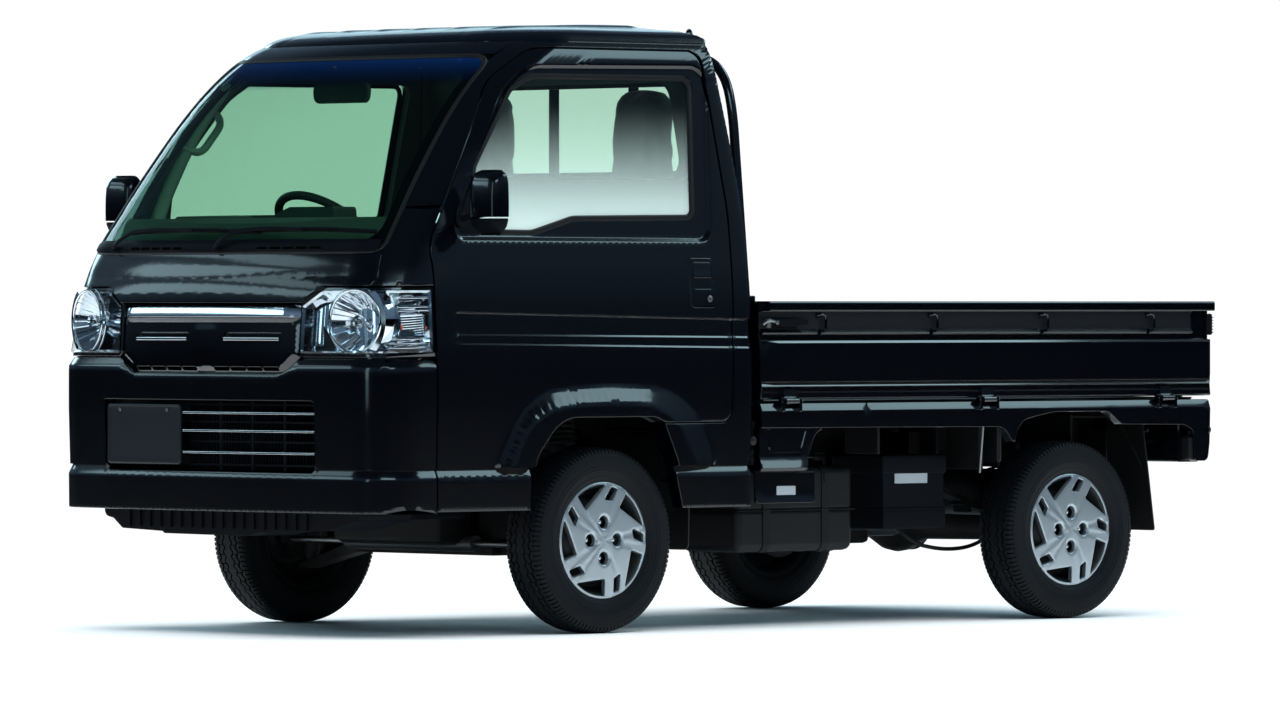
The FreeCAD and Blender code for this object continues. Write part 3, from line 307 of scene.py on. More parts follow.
@dataclass(frozen=True)
class Pane:
    """Clear or tinted sheet that lets light straight through, with a gloss skin.

    A thin pane bends nothing the eye can see, so it is a tinted transparent layer under
    a gloss that grows at grazing angles. band_z and band_colour give a windscreen its
    graded sun band, and give a door glass a painted pale haze that thickens along the
    band and stands in for light the glass reflects and for the lit cab seen through it.
    """
    name: str
    tint: str
    gloss: float = 1.0
    roughness: float = 0.0
    band_z: tuple[float, float] = (0.0, 0.0)
    band_colour: str = "000000"
    film: float = 0.0
    flute_mm: float = 0.0
    flute_height: float = 0.0

    def make(self) -> bpy.types.Material:
        """Builds the pane's material.

        Returns:
            The Blender material.
        """
        if self.name in bpy.data.materials:
            return bpy.data.materials[self.name]
        material = bpy.data.materials.new(self.name)
        material.use_nodes = True
        tree = material.node_tree
        tree.nodes.clear()
        place = add(tree, "ShaderNodeTexCoord").outputs["Object"]
        clear = add(tree, "ShaderNodeBsdfTransparent", {"Color": linear(self.tint)})
        if self.band_z[1]:
            height = add(tree, "ShaderNodeSeparateXYZ", {}, {0: place}).outputs["Z"]
            share = add(tree, "ShaderNodeMapRange", {"From Min": self.band_z[0] * MM,
                                                     "From Max": self.band_z[1] * MM},
                        {"Value": height})
            ramp = add(tree, "ShaderNodeValToRGB", {}, {0: share.outputs[0]})
            ramp.color_ramp.elements[0].color = linear(self.tint)
            ramp.color_ramp.elements[1].color = linear(self.band_colour)
            tree.links.new(ramp.outputs[0], clear.inputs["Color"])
            # On the door glass this pale diffuse layer is painted haze that stands in for reflected
            # light; on the windscreen it is the sun band's tint.
            sun_band_and_haze_layer = add(tree, "ShaderNodeBsdfDiffuse", {"Color": linear(self.band_colour)})
            slow = add(tree, "ShaderNodeMath", {"operation": "POWER", 1: 2.0},
                       {0: share.outputs[0]})
            cover = add(tree, "ShaderNodeMapRange", {"To Max": self.film},
                        {"Value": slow.outputs[0]})
            clear = add(tree, "ShaderNodeMixShader", {}, {0: cover.outputs[0],
                                                          1: clear.outputs[0], 2: sun_band_and_haze_layer.outputs[0]})
        skin = add(tree, "ShaderNodeBsdfGlossy", {"Roughness": self.roughness,
                                                  "Color": (self.gloss,) * 3 + (1.0,)})
        facing = add(tree, "ShaderNodeLayerWeight", {"Blend": 0.5})
        steep = add(tree, "ShaderNodeMath", {"operation": "POWER", 1: 5.0},
                    {0: facing.outputs["Facing"]})
        fresnel = add(tree, "ShaderNodeMapRange", {"To Min": 0.03, "To Max": 0.75},
                      {"Value": steep.outputs[0]})
        if self.flute_mm:
            wave = add(tree, "ShaderNodeTexWave",
                       {"Scale": scale_for(self.flute_mm) / (2 * math.pi) * 2.0,
                        "bands_direction": "X"}, {"Vector": place})
            bump = add(tree, "ShaderNodeBump", {"Distance": self.flute_height * MM},
                       {"Height": wave.outputs["Fac"]})
            tree.links.new(bump.outputs[0], skin.inputs["Normal"])
            tree.links.new(bump.outputs[0], facing.inputs["Normal"])
        both = add(tree, "ShaderNodeMixShader", {}, {0: fresnel.outputs[0], 1: clear.outputs[0],
                                                     2: skin.outputs[0]})
        add(tree, "ShaderNodeOutputMaterial", {}, {"Surface": both.outputs[0]})
        return material


# Float glass with a green body tint, laminated for the screen with a blue sun band.
SCREEN_GLASS = Pane("glass_laminated_green", "CEE9DB", gloss=0.5, band_z=(1560.0, 1640.0),
                    band_colour="0B2F63", film=0.32)
# Toughened glass of the rear window and the right door.
REAR_GLASS = Pane("glass_toughened_green", "E8F5EE", gloss=0.7)
# The left door's drop glass, under a painted pale haze that thickens towards its lower edge:
# it stands in for light the glass reflects and for the lit cab seen through it.
DOOR_GLASS = Pane("glass_toughened_veiled", "E8F5EE", gloss=0.7, band_z=(1530.0, 1170.0),
                  band_colour="F2FFFA", film=0.6)
# Polycarbonate lamp lens, moulded clear, and its ribbed turn-signal part.
LENS = Pane("polycarbonate_lens_clear", "F0F4F6")
FLUTED_LENS = Pane("polycarbonate_lens_fluted", "DFE5E8", flute_mm=6.0, flute_height=1.2)
RED_LENS = Pane("acrylic_lens_red", "8E0A08", flute_mm=5.0, flute_height=0.8)
MIRROR_GLASS = Finish("mirror_glass_silvered", "C9CED2", 0.02, metallic=1.0, grain_mm=60.0,
                      grain_height=0.001)
# Ceramic frit fired on the screen's border: black, seen through the gloss of the glass.
FRIT = Finish("ceramic_frit_fired", "020304", 0.2, specular=0.1, grain_mm=1.5, grain_height=0.002)


# ---- mesh tools ----------------------------------------------------------------
def smooth(low: float, high: float, value: np.ndarray) -> np.ndarray:
    """Smooth step from 0 at low to 1 at high."""
    t = np.clip((value - low) / (high - low), 0.0, 1.0)
    return t * t * (3 - 2 * t)


def rounded(rows: Rows, step: float = 6.0, closed: bool = True) -> np.ndarray:
    """Turns rows of u, v, corner radius into a dense outline with round corners.

    Args:
        rows: corner points with their radii, which shrink where runs are short.
        step: longest gap between points, on runs and arcs alike.
        closed: whether the last row joins the first.

    Returns:
        Points as an (n, 2) array.
    """
    pts = [np.array(r[:2], float) for r in rows]
    count, out = len(pts), []
    for i, here in enumerate(pts):
        radius = rows[i][2] if len(rows[i]) > 2 else 0.0
        inner = closed or 0 < i < count - 1
        if radius <= 0 or not inner:
            out.append(here[None])
            continue
        a, b = pts[i - 1] - here, pts[(i + 1) % count] - here
        la, lb = np.linalg.norm(a), np.linalg.norm(b)
        a, b = a / la, b / lb
        half = math.acos(float(np.clip(a @ b, -1, 1))) / 2
        if half > math.pi / 2 - 1e-3:
            out.append(here[None])
            continue
        reach = min(radius / math.tan(half), 0.49 * la, 0.49 * lb)
        radius = reach * math.tan(half)
        middle = here + (a + b) / np.linalg.norm(a + b) * radius / math.sin(half)
        start, end = here + a * reach - middle, here + b * reach - middle
        a0 = math.atan2(start[1], start[0])
        turn = (math.atan2(end[1], end[0]) - a0 + math.pi) % (2 * math.pi) - math.pi
        parts = max(3, int(abs(turn) * radius / step) + 1, int(abs(turn) / 0.2) + 1)
        angles = a0 + turn * np.linspace(0, 1, parts + 1)
        out.append(middle + radius * np.c_[np.cos(angles), np.sin(angles)])
    line = np.vstack(out)
    return respaced(line, step, closed)


def respaced(line: np.ndarray, step: float, closed: bool) -> np.ndarray:
    """Adds points on long runs so that no gap is longer than step."""
    result = []
    last = len(line) if closed else len(line) - 1
    for i in range(last):
        a, b = line[i], line[(i + 1) % len(line)]
        gap = np.linalg.norm(b - a)
        if gap < 1e-6:
            continue
        parts = max(1, int(math.ceil(gap / step - 0.01)))
        result.append(a + (b - a) * np.arange(parts)[:, None] / parts)
    if not closed:
        result.append(line[-1:])
    return np.vstack(result)


def area(loop: np.ndarray) -> float:
    """Signed area, positive for an anticlockwise loop."""
    x, y = loop[:, 0], loop[:, 1]
    return float(np.sum(x * np.roll(y, -1) - np.roll(x, -1) * y) / 2)


def offset(loop: np.ndarray, gap: float) -> np.ndarray:
    """Moves a closed loop inwards by gap, or outwards if it is negative."""
    edge = np.roll(loop, -1, 0) - loop
    edge /= np.maximum(np.linalg.norm(edge, axis=1), 1e-9)[:, None]
    normal = np.c_[-edge[:, 1], edge[:, 0]] * (1 if area(loop) > 0 else -1)
    before = np.roll(normal, 1, 0)
    share = 1 + np.sum(normal * before, axis=1)
    return loop + (normal + before) * (gap / np.maximum(share, 0.4))[:, None]


def closed_line(loop: np.ndarray) -> np.ndarray:
    """A closed loop as a line that comes back to its first point."""
    return np.vstack([loop, loop[:1]])


def box_rows(u0: float, v0: float, u1: float, v1: float, radius: float = 0.0) -> Rows:
    """Rows of u, v, radius of a box, from its first corner round to its third and back."""
    return (u0, v0, radius), (u1, v0, radius), (u1, v1, radius), (u0, v1, radius)


def level_lines(us: np.ndarray, heights: Iterable[float]) -> list:
    """Lines through the same u at each height."""
    return [np.c_[us, np.full(len(us), height)] for height in heights]


def stretches(line: np.ndarray, good: np.ndarray) -> list:
    """Stretches of two or more points in a row that are marked good."""
    kept, start = [], None
    for i, ok in enumerate(list(good) + [False]):
        if ok and start is None:
            start = i
        elif not ok and start is not None:
            if i - start > 1:
                kept.append(line[start:i])
            start = None
    return kept


def inside(points: np.ndarray, loop: np.ndarray) -> np.ndarray:
    """Says which points lie in a closed loop."""
    x, y = points[:, 0], points[:, 1]
    hit = np.zeros(len(points), bool)
    for a, b in zip(loop, np.roll(loop, -1, 0)):
        if a[1] == b[1]:
            continue
        cross = (a[1] > y) != (b[1] > y)
        hit ^= cross & (x < (b[0] - a[0]) * (y - a[1]) / (b[1] - a[1]) + a[0])
    return hit


def clearance(points: np.ndarray, lines: Iterable[np.ndarray]) -> np.ndarray:
    """Distance from each point to the nearest point of the lines."""
    near = np.full(len(points), 1e9)
    for line in lines:
        for part in np.array_split(line, max(1, len(line) // 60)):
            box_low, box_high = part.min(0) - 30, part.max(0) + 30
            pick = np.all((points > box_low) & (points < box_high), axis=1)
            if pick.any():
                gap = np.linalg.norm(points[pick, None] - part[None], axis=2).min(1)
                near[pick] = np.minimum(near[pick], gap)
    return near


def triangulate(loops: list, holes: list, lines: list, grid: float,
                extra: Optional[np.ndarray] = None) -> tuple[np.ndarray, np.ndarray]:
    """Fills an outline with near-even triangles that follow the given lines.

    Args:
        loops: closed loops; the first is the outline.
        holes: closed loops of openings.
        lines: open lines that edges must follow.
        grid: spacing of the filling points.
        extra: filling points to use instead of the even grid.

    Returns:
        Points (n, 2) and triangles (m, 3).
    """
    outline = loops[0]
    low, high = outline.min(0), outline.max(0)
    if extra is None:
        xs, ys = np.arange(low[0], high[0], grid), np.arange(low[1], high[1], grid * 0.87)
        gx, gy = np.meshgrid(xs, ys)
        gx[1::2] += grid / 2
        extra = np.c_[gx.ravel(), gy.ravel()]
    keep = inside(extra, outline)
    for hole in holes:
        keep &= ~inside(extra, hole)
    extra = extra[keep]
    extra = extra[clearance(extra, list(loops) + list(holes) + list(lines)) > grid * 0.55]
    points, edges, start = [extra], [], len(extra)
    for line, closed in [(l, True) for l in list(loops) + list(holes)] + [(l, False) for l in lines]:
        n = len(line)
        points.append(line)
        edges += [(start + i, start + (i + 1) % n) for i in range(n if closed else n - 1)]
        start += n
    flat = np.vstack(points)
    verts, _, faces, _, _, _ = delaunay_2d_cdt([Vector(p) for p in flat], edges, [], 0, 1e-4)
    verts = np.array([v[:] for v in verts])
    tris = np.array([f for f in faces if len(f) == 3])
    middle = verts[tris].mean(1)
    keep = inside(middle, outline)
    for hole in holes:
        keep &= ~inside(middle, hole)
    tris = tris[keep]
    a, b, c = (verts[tris[:, i]] for i in range(3))
    flip = np.cross(b - a, c - a) < 0
    tris[flip] = tris[flip][:, ::-1]
    return verts, tris


class Piece:
    """Gathers the meshes of one piece, then makes its object."""

    def __init__(self) -> None:
        """Starts an empty piece."""
        self.points: list = []
        self.faces: list = []
        self.marks: list = []
        self.count = 0

    def add(self, mesh: Mesh3, finish: Optional[int] = None) -> "Piece":
        """Adds one mesh.

        Args:
            mesh: points, faces and each face's finish number.
            finish: finish number for the whole mesh, if it has one.

        Returns:
            The piece, so that calls can follow each other.
        """
        points, faces, marks = mesh
        self.points.append(np.asarray(points, float))
        self.faces += [[int(i) + self.count for i in face] for face in faces]
        self.marks += [finish if finish is not None else m for m in marks]
        self.count += len(points)
        return self

    @classmethod
    def of(cls, parts: Iterable) -> "Piece":
        """Piece of several meshes, each with its finish number."""
        piece = cls()
        for mesh, mark in parts:
            piece.add(mesh, mark)
        return piece

    def mirrored(self) -> "Piece":
        """The same piece on the other side of the vehicle."""
        other = Piece()
        other.points = [p * (-1, 1, 1) for p in self.points]
        other.faces = [face[::-1] for face in self.faces]
        other.marks, other.count = list(self.marks), self.count
        return other

    def object(self, name: str, body: str, slot: str, finishes: Sequence,
               sharp: float = 32.0, node: Sequence[str] = ()) -> bpy.types.Object:
        """Makes the object, dresses it and sets it riding.

        Args:
            name: the piece's name.
            body: CAD body that carries it.
            slot: material slot in the record; not used.
            finishes: finishes in the order of the faces' numbers.
            sharp: edges bent by more than this many degrees stay sharp.
            node: CAD nodes that the piece stands for.

        Returns:
            The object.
        """
        mesh = bpy.data.meshes.new(name)
        mesh.from_pydata((np.vstack(self.points) * MM).tolist(), [], self.faces)
        mesh.polygons.foreach_set("material_index", self.marks)
        for finish in finishes:
            mesh.materials.append(finish.make())
        mesh.polygons.foreach_set("use_smooth", [True] * len(mesh.polygons))
        mesh.validate()
        mesh.set_sharp_from_angle(angle=math.radians(sharp))
        thing = bpy.data.objects.new(name, mesh)
        bpy.context.scene.collection.objects.link(thing)
        even = thing.modifiers.new("even_shading", "WEIGHTED_NORMAL")
        even.keep_sharp, even.weight = True, 100
        baked(thing)
        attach(thing, body)
        if node:
            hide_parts(*node)
        LOG.info("%s: %d triangles", name, sum(len(f) - 2 for f in self.faces))
        return thing


def baked(thing: bpy.types.Object) -> None:
    """Turns an object's modifiers into its mesh."""
    bpy.context.view_layer.update()
    shown = thing.evaluated_get(bpy.context.evaluated_depsgraph_get())
    mesh = bpy.data.meshes.new_from_object(shown)
    thing.modifiers.clear()
    thing.data = mesh


def grid_faces(rows: int, columns: int, closed: bool = False, flip: bool = False) -> list:
    """Faces of a rows by columns net, closed round the columns if asked."""
    faces = []
    last = columns if closed else columns - 1
    for r in range(rows - 1):
        for c in range(last):
            d = (c + 1) % columns
            face = [r * columns + c, r * columns + d, (r + 1) * columns + d, (r + 1) * columns + c]
            faces.append(face[::-1] if flip else face)
    return faces


def lofted(rings: Sequence[np.ndarray]) -> Mesh3:
    """Skins rings of one length in turn and closes both ends."""
    count = len(rings[0])
    faces = grid_faces(len(rings), count, True)
    faces += [list(range(count))[::-1], [count * (len(rings) - 1) + i for i in range(count)]]
    return np.vstack(rings), faces, [0] * len(faces)


def both_sides(parts: list) -> list:
    """The parts, each a mesh with its finish number, and their mirror images."""
    return parts + [((m[0] * (-1, 1, 1), [f[::-1] for f in m[1]], m[2]), mark)
                    for m, mark in parts]


def sweep(path: np.ndarray, section: np.ndarray, up: Sequence[float] = (0, 0, 1),
          closed: bool = False, scale: Optional[np.ndarray] = None) -> Mesh3:
    """Carries a closed section along a path, and closes the ends of an open one.

    Args:
        path: points of the path, (n, 3).
        section: closed section, (m, 2): across, then along up; anticlockwise.
        up: direction that the section's second axis leans towards.
        closed: whether the path is a ring.
        scale: section's size at each point of the path.

    Returns:
        The swept mesh.
    """
    path, section = np.asarray(path, float), np.asarray(section, float)
    if closed:
        tangent = np.roll(path, -1, 0) - np.roll(path, 1, 0)
    else:
        tangent = np.gradient(path, axis=0)
    tangent /= np.linalg.norm(tangent, axis=1)[:, None]
    across = np.cross(tangent, np.asarray(up, float))
    weak = np.linalg.norm(across, axis=1) < 1e-6
    across[weak] = np.cross(tangent[weak], (0.0, 1.0, 0.02))
    across /= np.linalg.norm(across, axis=1)[:, None]
    over = np.cross(across, tangent)
    size = np.ones(len(path)) if scale is None else np.asarray(scale, float)
    rings = (path[:, None] + across[:, None] * section[None, :, :1] * size[:, None, None]
             + over[:, None] * section[None, :, 1:] * size[:, None, None])
    m = len(section)
    faces = grid_faces(len(path), m, True)
    if closed:
        base = (len(path) - 1) * m
        faces += [[base + i, base + (i + 1) % m, (i + 1) % m, i] for i in range(m)]
    else:
        faces.append(list(range(m))[::-1])
        faces.append([(len(path) - 1) * m + i for i in range(m)])
    return rings.reshape(-1, 3), faces, [0] * len(faces)


def circle(radius: float, count: int = 12) -> np.ndarray:
    """Round section as an (n, 2) array."""
    angle = np.arange(count) * 2 * math.pi / count
    return radius * np.c_[np.cos(angle), np.sin(angle)]


def rod(path: Rows, radius: float, count: int = 12, step: float = 8.0,
        bend: float = 0.0) -> Mesh3:
    """Round bar or wire along points, with rounded bends.

    Args:
        path: points in space.
        radius: the bar's radius.
        count: sides of the round section.
        step: spacing along the bends.
        bend: how far each corner is rounded, measured along its runs.

    Returns:
        The mesh.
    """
    pts = np.asarray(path, float)
    if bend:
        pts = bent(pts, bend, step)
    return sweep(pts, circle(radius, count))


def bent(pts: np.ndarray, reach: float, step: float = 8.0) -> np.ndarray:
    """Rounds each inner corner of an open line with a quadratic curve."""
    out = [pts[:1]]
    for a, b, c in zip(pts, pts[1:], pts[2:]):
        ra = min(reach, 0.48 * np.linalg.norm(a - b))
        rc = min(reach, 0.48 * np.linalg.norm(c - b))
        start, end = b + (a - b) / np.linalg.norm(a - b) * ra, b + (c - b) / np.linalg.norm(c - b) * rc
        t = np.linspace(0, 1, max(5, int((ra + rc) / step)))[:, None]
        out.append((1 - t) ** 2 * start + 2 * t * (1 - t) * b + t ** 2 * end)
    out.append(pts[-1:])
    return np.vstack(out)


def lathe(profile: Rows, centre: Sequence[float], axis: str = "x", count: int = 64,
          sign: float = 1.0) -> Mesh3:
    """Turns a profile about an axis.

    Args:
        profile: rows of distance along the axis, radius.
        centre: point that the axis passes through; distances start there.
        axis: x, y or z.
        count: steps round the axis.
        sign: direction of distances along the axis.

    Returns:
        The mesh, with profile ends closed where the radius is 0.
    """
    profile = np.asarray(profile, float)
    angle = np.arange(count) * 2 * math.pi / count
    along = np.repeat(profile[:, 0] * sign, count)
    side = (profile[:, 1:] * np.cos(angle)).ravel()
    rise = (profile[:, 1:] * np.sin(angle)).ravel()
    order = {"x": (along, side, rise), "y": (rise, along, side), "z": (side, rise, along)}[axis]
    points = np.c_[order] + np.asarray(centre, float)
    faces = grid_faces(len(profile), count, True, flip=sign > 0)
    return points, faces, [0] * len(faces)


def soft_box(low: Sequence[float], high: Sequence[float], radius: float = 4.0,
             steps: int = 2) -> Mesh3:
    """Box with rounded edges.

    Args:
        low: lowest corner.
        high: highest corner.
        radius: radius of its edges.
        steps: segments of each rounding.

    Returns:
        The mesh.
    """
    low, high = np.asarray(low, float), np.asarray(high, float)
    shell = bmesh.new()
    bmesh.ops.create_cube(shell, size=1.0)
    for vert in shell.verts:
        vert.co = Vector((low + high) / 2 + np.array(vert.co) * (high - low))
    radius = min(radius, 0.48 * float(np.min(high - low)))
    bmesh.ops.bevel(shell, geom=shell.edges[:], offset=radius, segments=steps, affect="EDGES",
                    profile=0.5)
    shell.verts.index_update()
    points = np.array([v.co[:] for v in shell.verts])
    faces = [[v.index for v in f.verts] for f in shell.faces]
    shell.free()
    return points, faces, [0] * len(faces)


def slab(outline: np.ndarray, place: Callable, thick: float, roll: float) -> Mesh3:
    """Sheet of a given outline with rounded edges, front and back.

    Args:
        outline: closed outline, (n, 2).
        place: turns u, v and height arrays into points; height grows outwards.
        thick: the sheet's thickness below height 0.
        roll: radius of its front edges.

    Returns:
        The mesh.
    """
    steps = ((0.0, -roll), (0.3 * roll, -0.3 * roll), (roll, 0.0))
    return plate(place, outline, grid=40.0, roll=steps, depth=thick, back=thick)


def plate(surface: Callable, outline: np.ndarray, holes: Sequence[np.ndarray] = (),
          lines: Sequence[np.ndarray] = (), relief: Optional[Callable] = None,
          grid: float = 12.0, roll: Rows = ((0.0, -1.7), (0.5, -0.6), (1.7, 0.0)),
          depth: float = 14.0, back: float = 0.0, extra: Optional[np.ndarray] = None) -> Mesh3:
    """Pressed panel on a surface, with rolled edges, side flanges and an optional back.

    Args:
        surface: turns u, v and lift arrays into points; lift grows outwards.
        outline: closed outline in u, v.
        holes: closed outlines of openings.
        lines: open lines in u, v that edges must follow, such as creases.
        relief: lift of the pressed shape at u, v.
        grid: spacing of the filling points.
        roll: rows of distance in from the edge, drop there.
        depth: how far the flanges reach inwards.
        back: depth of the inner face, or 0 for none.
        extra: filling points to use instead of the even grid.

    Returns:
        The mesh; its inner face and flanges' last part have finish 1.
    """
    if area(outline) < 0:
        outline = outline[::-1]
    holes = [h if area(h) < 0 else h[::-1] for h in holes]
    rims = [offset(outline, row[0]) for row in roll] + [
        offset(h, -row[0]) for h in holes for row in roll]
    loops = rims[:len(roll)]
    hole_rims = rims[len(roll):]
    inner_holes = hole_rims[::len(roll)]
    other = [r for i, r in enumerate(hole_rims) if i % len(roll)]
    flat, tris = triangulate(loops + other, inner_holes, list(lines), grid, extra)
    edges = [outline] + list(inner_holes)
    gap = edge_distance(flat, edges, roll[-1][0] + 1.0)
    drop = np.interp(gap, [row[0] for row in roll], [row[1] for row in roll])
    rise = relief(flat[:, 0], flat[:, 1]) if relief else np.zeros(len(flat))
    front = surface(flat[:, 0], flat[:, 1], rise + drop)
    points, faces, marks = [front], [list(t) for t in tris], [0] * len(tris)
    count = len(front)
    for rim in edges:
        rim_rise = relief(rim[:, 0], rim[:, 1]) if relief else np.zeros(len(rim))
        levels = [surface(rim[:, 0], rim[:, 1], rim_rise + roll[0][1]),
                  surface(rim[:, 0], rim[:, 1], np.full(len(rim), -depth))]
        net = np.vstack(levels)
        rim_faces = grid_faces(2, len(rim), True, flip=True)
        points.append(net)
        faces += [[i + count for i in f] for f in rim_faces]
        marks += [0] * len(rim_faces)
        count += len(net)
    if back:
        flat, tris = triangulate([edges[0]], list(edges[1:]), [], max(grid * 2.5, 25.0))
        points.append(surface(flat[:, 0], flat[:, 1], np.full(len(flat), -back)))
        faces += [[int(i) + count for i in t[::-1]] for t in tris]
        marks += [1] * len(tris)
        if back != depth:
            count += len(flat)
            for rim in edges:
                net = np.vstack([surface(rim[:, 0], rim[:, 1], np.full(len(rim), -d))
                                 for d in (depth, back)])
                rim_faces = grid_faces(2, len(rim), True, flip=True)
                points.append(net)
                faces += [[i + count for i in f] for f in rim_faces]
                marks += [1] * len(rim_faces)
                count += len(net)
    return welded(np.vstack(points), faces, marks)


def edge_distance(points: np.ndarray, loops: Iterable[np.ndarray], limit: float) -> np.ndarray:
    """Distance from each point to the nearest run of the loops, up to a limit."""
    near = np.full(len(points), limit)
    for loop in loops:
        following = np.roll(loop, -1, 0)
        close = np.nonzero(clearance(points, [loop]) < 16.0)[0]
        for part in np.array_split(close, max(1, len(close) // 400)):
            if not len(part):
                continue
            p = points[part][:, None]
            run = (following - loop)[None]
            length = np.maximum(np.sum(run * run, axis=2), 1e-12)
            t = np.clip(np.sum((p - loop[None]) * run, axis=2) / length, 0, 1)
            gap = np.linalg.norm(p - (loop[None] + run * t[..., None]), axis=2).min(1)
            near[part] = np.minimum(near[part], gap)
    return near


def welded(points: np.ndarray, faces: list, marks: list) -> Mesh3:
    """Joins points that coincide to a hundredth of a millimetre."""
    keys = np.round(points, 2)
    _, first, back = np.unique(keys, axis=0, return_index=True, return_inverse=True)
    back = back.ravel()
    new_faces, new_marks = [], []
    for face, mark in zip(faces, marks):
        joined = [int(back[i]) for i in face]
        slim = [p for i, p in enumerate(joined) if p != joined[i - 1]]
        if len(set(slim)) >= 3:
            new_faces.append(slim)
            new_marks.append(mark)
    return points[first], new_faces, new_marks


# ---- the cab's skin --------------------------------------------------------------
# Plan sections of the cab, bottom to top.
# height, half width, front middle y, corner radius, front bow radius, back y
CAB_SECTIONS = (
    (349.0, 737.5, -1697.5, 150.0, 6000.0, -226.0),
    (735.0, 737.5, -1697.5, 150.0, 6000.0, -223.0),
    (940.0, 729.0, -1690.0, 190.0, 4500.0, -222.0),
    (1025.0, 721.0, -1676.0, 200.0, 3600.0, -221.0),
    (1097.0, 711.0, -1650.0, 205.0, 3200.0, -221.0),
    (1199.0, 697.0, -1582.0, 200.0, 3000.0, -224.0),
    (1330.0, 678.0, -1486.0, 200.0, 3000.0, -236.0),
    (1541.0, 648.0, -1305.0, 200.0, 3000.0, -265.0),
    (1640.0, 632.0, -1187.0, 210.0, 3200.0, -280.0),
    (1694.0, 612.0, -1100.0, 230.0, 3200.0, -292.0),
    (1722.0, 570.0, -985.0, 250.0, 3200.0, -318.0),
)
ROOF_SPLIT_Z = 1692.0           # seam between the roof and the panels under it
TUCK_LEVELS = (451.0, 476.0, 478.5, 560.0)      # where the lower body's section bends
WALL = 45.0                     # doors, nose and posts, skin to trim
SHUT_GAP = 4.5
BACK_SEAM_X = 560.0             # seam between corner panels and back panel
DOOR_ROWS = (
    (-1461, 352, 8), (-1461, 1112, 130), (-1160, 1578, 230), (-995, 1676, 190),
    (-345, 1677, 50), (-297, 1200, 900), (-320, 598, 42), (-604, 598, 6), (-640, 614, 80),
    (-1000, 614, 130), (-1098, 500, 90), (-1101, 352, 8),
)
# Opening of the wheel arch that the corner panel shares, rows of y, z, radius.
QUARTER_EDGE = ((-600, 590, 6), (-552, 490, 60), (-520, 372, 10), (-516, 355, 0))
WINDOW_RECESS = (
    (-1356, 1121, 30), (-1366, 1172, 60), (-1137, 1540, 160), (-1030, 1625, 170),
    (-325, 1634, 60), (-376, 1120, 45),
)
GLASS_ROWS = (
    (-1262, 1150, 8), (-1262, 1325, 60), (-1092, 1552, 60), (-1010, 1589, 110),
    (-398, 1592, 26), (-437, 1196, 22), (-900, 1190, 90), (-1062, 1148, 90),
)
SCREEN_ROWS = ((-632, 1092, 30), (632, 1092, 30), (562, 1652, 55), (-562, 1652, 55))
REAR_WINDOW_ROWS = ((-475, 1318, 50), (475, 1318, 50), (455, 1588, 50), (-455, 1588, 50))
ARCH_LINE = ((-1221, 490, 0), (-1147, 629, 160), (-1052, 694, 220), (-790, 713, 900),
             (-565, 698, 260), (-449, 624, 160), (-395, 490, 0))
ARCH_LIP = ((-1204, 480, 0), (-1150, 592, 120), (-1092, 632, 160), (-940, 656, 300),
            (-790, 660, 900), (-650, 652, 240), (-560, 610, 160), (-478, 480, 0))


def pchip(xs: np.ndarray, ys: np.ndarray) -> Callable[[np.ndarray], np.ndarray]:
    """Smooth curve through rows that never overshoots them.

    Args:
        xs: rising positions.
        ys: values there.

    Returns:
        Function of position.
    """
    h, slope = np.diff(xs), np.diff(ys) / np.diff(xs)
    m = np.zeros(len(xs))
    m[0], m[-1] = slope[0], slope[-1]
    for i in range(1, len(xs) - 1):
        if slope[i - 1] * slope[i] > 0:
            w1, w2 = 2 * h[i] + h[i - 1], h[i] + 2 * h[i - 1]
            m[i] = (w1 + w2) / (w1 / slope[i - 1] + w2 / slope[i])

    def curve(x: np.ndarray) -> np.ndarray:
        """Value at x."""
        x = np.clip(x, xs[0], xs[-1])
        i = np.clip(np.searchsorted(xs, x) - 1, 0, len(h) - 1)
        t = (x - xs[i]) / h[i]
        return ((2 * t ** 3 - 3 * t ** 2 + 1) * ys[i] + (t ** 3 - 2 * t ** 2 + t) * h[i] * m[i]
                + (3 * t ** 2 - 2 * t ** 3) * ys[i + 1] + (t ** 3 - t ** 2) * h[i] * m[i + 1])
    return curve


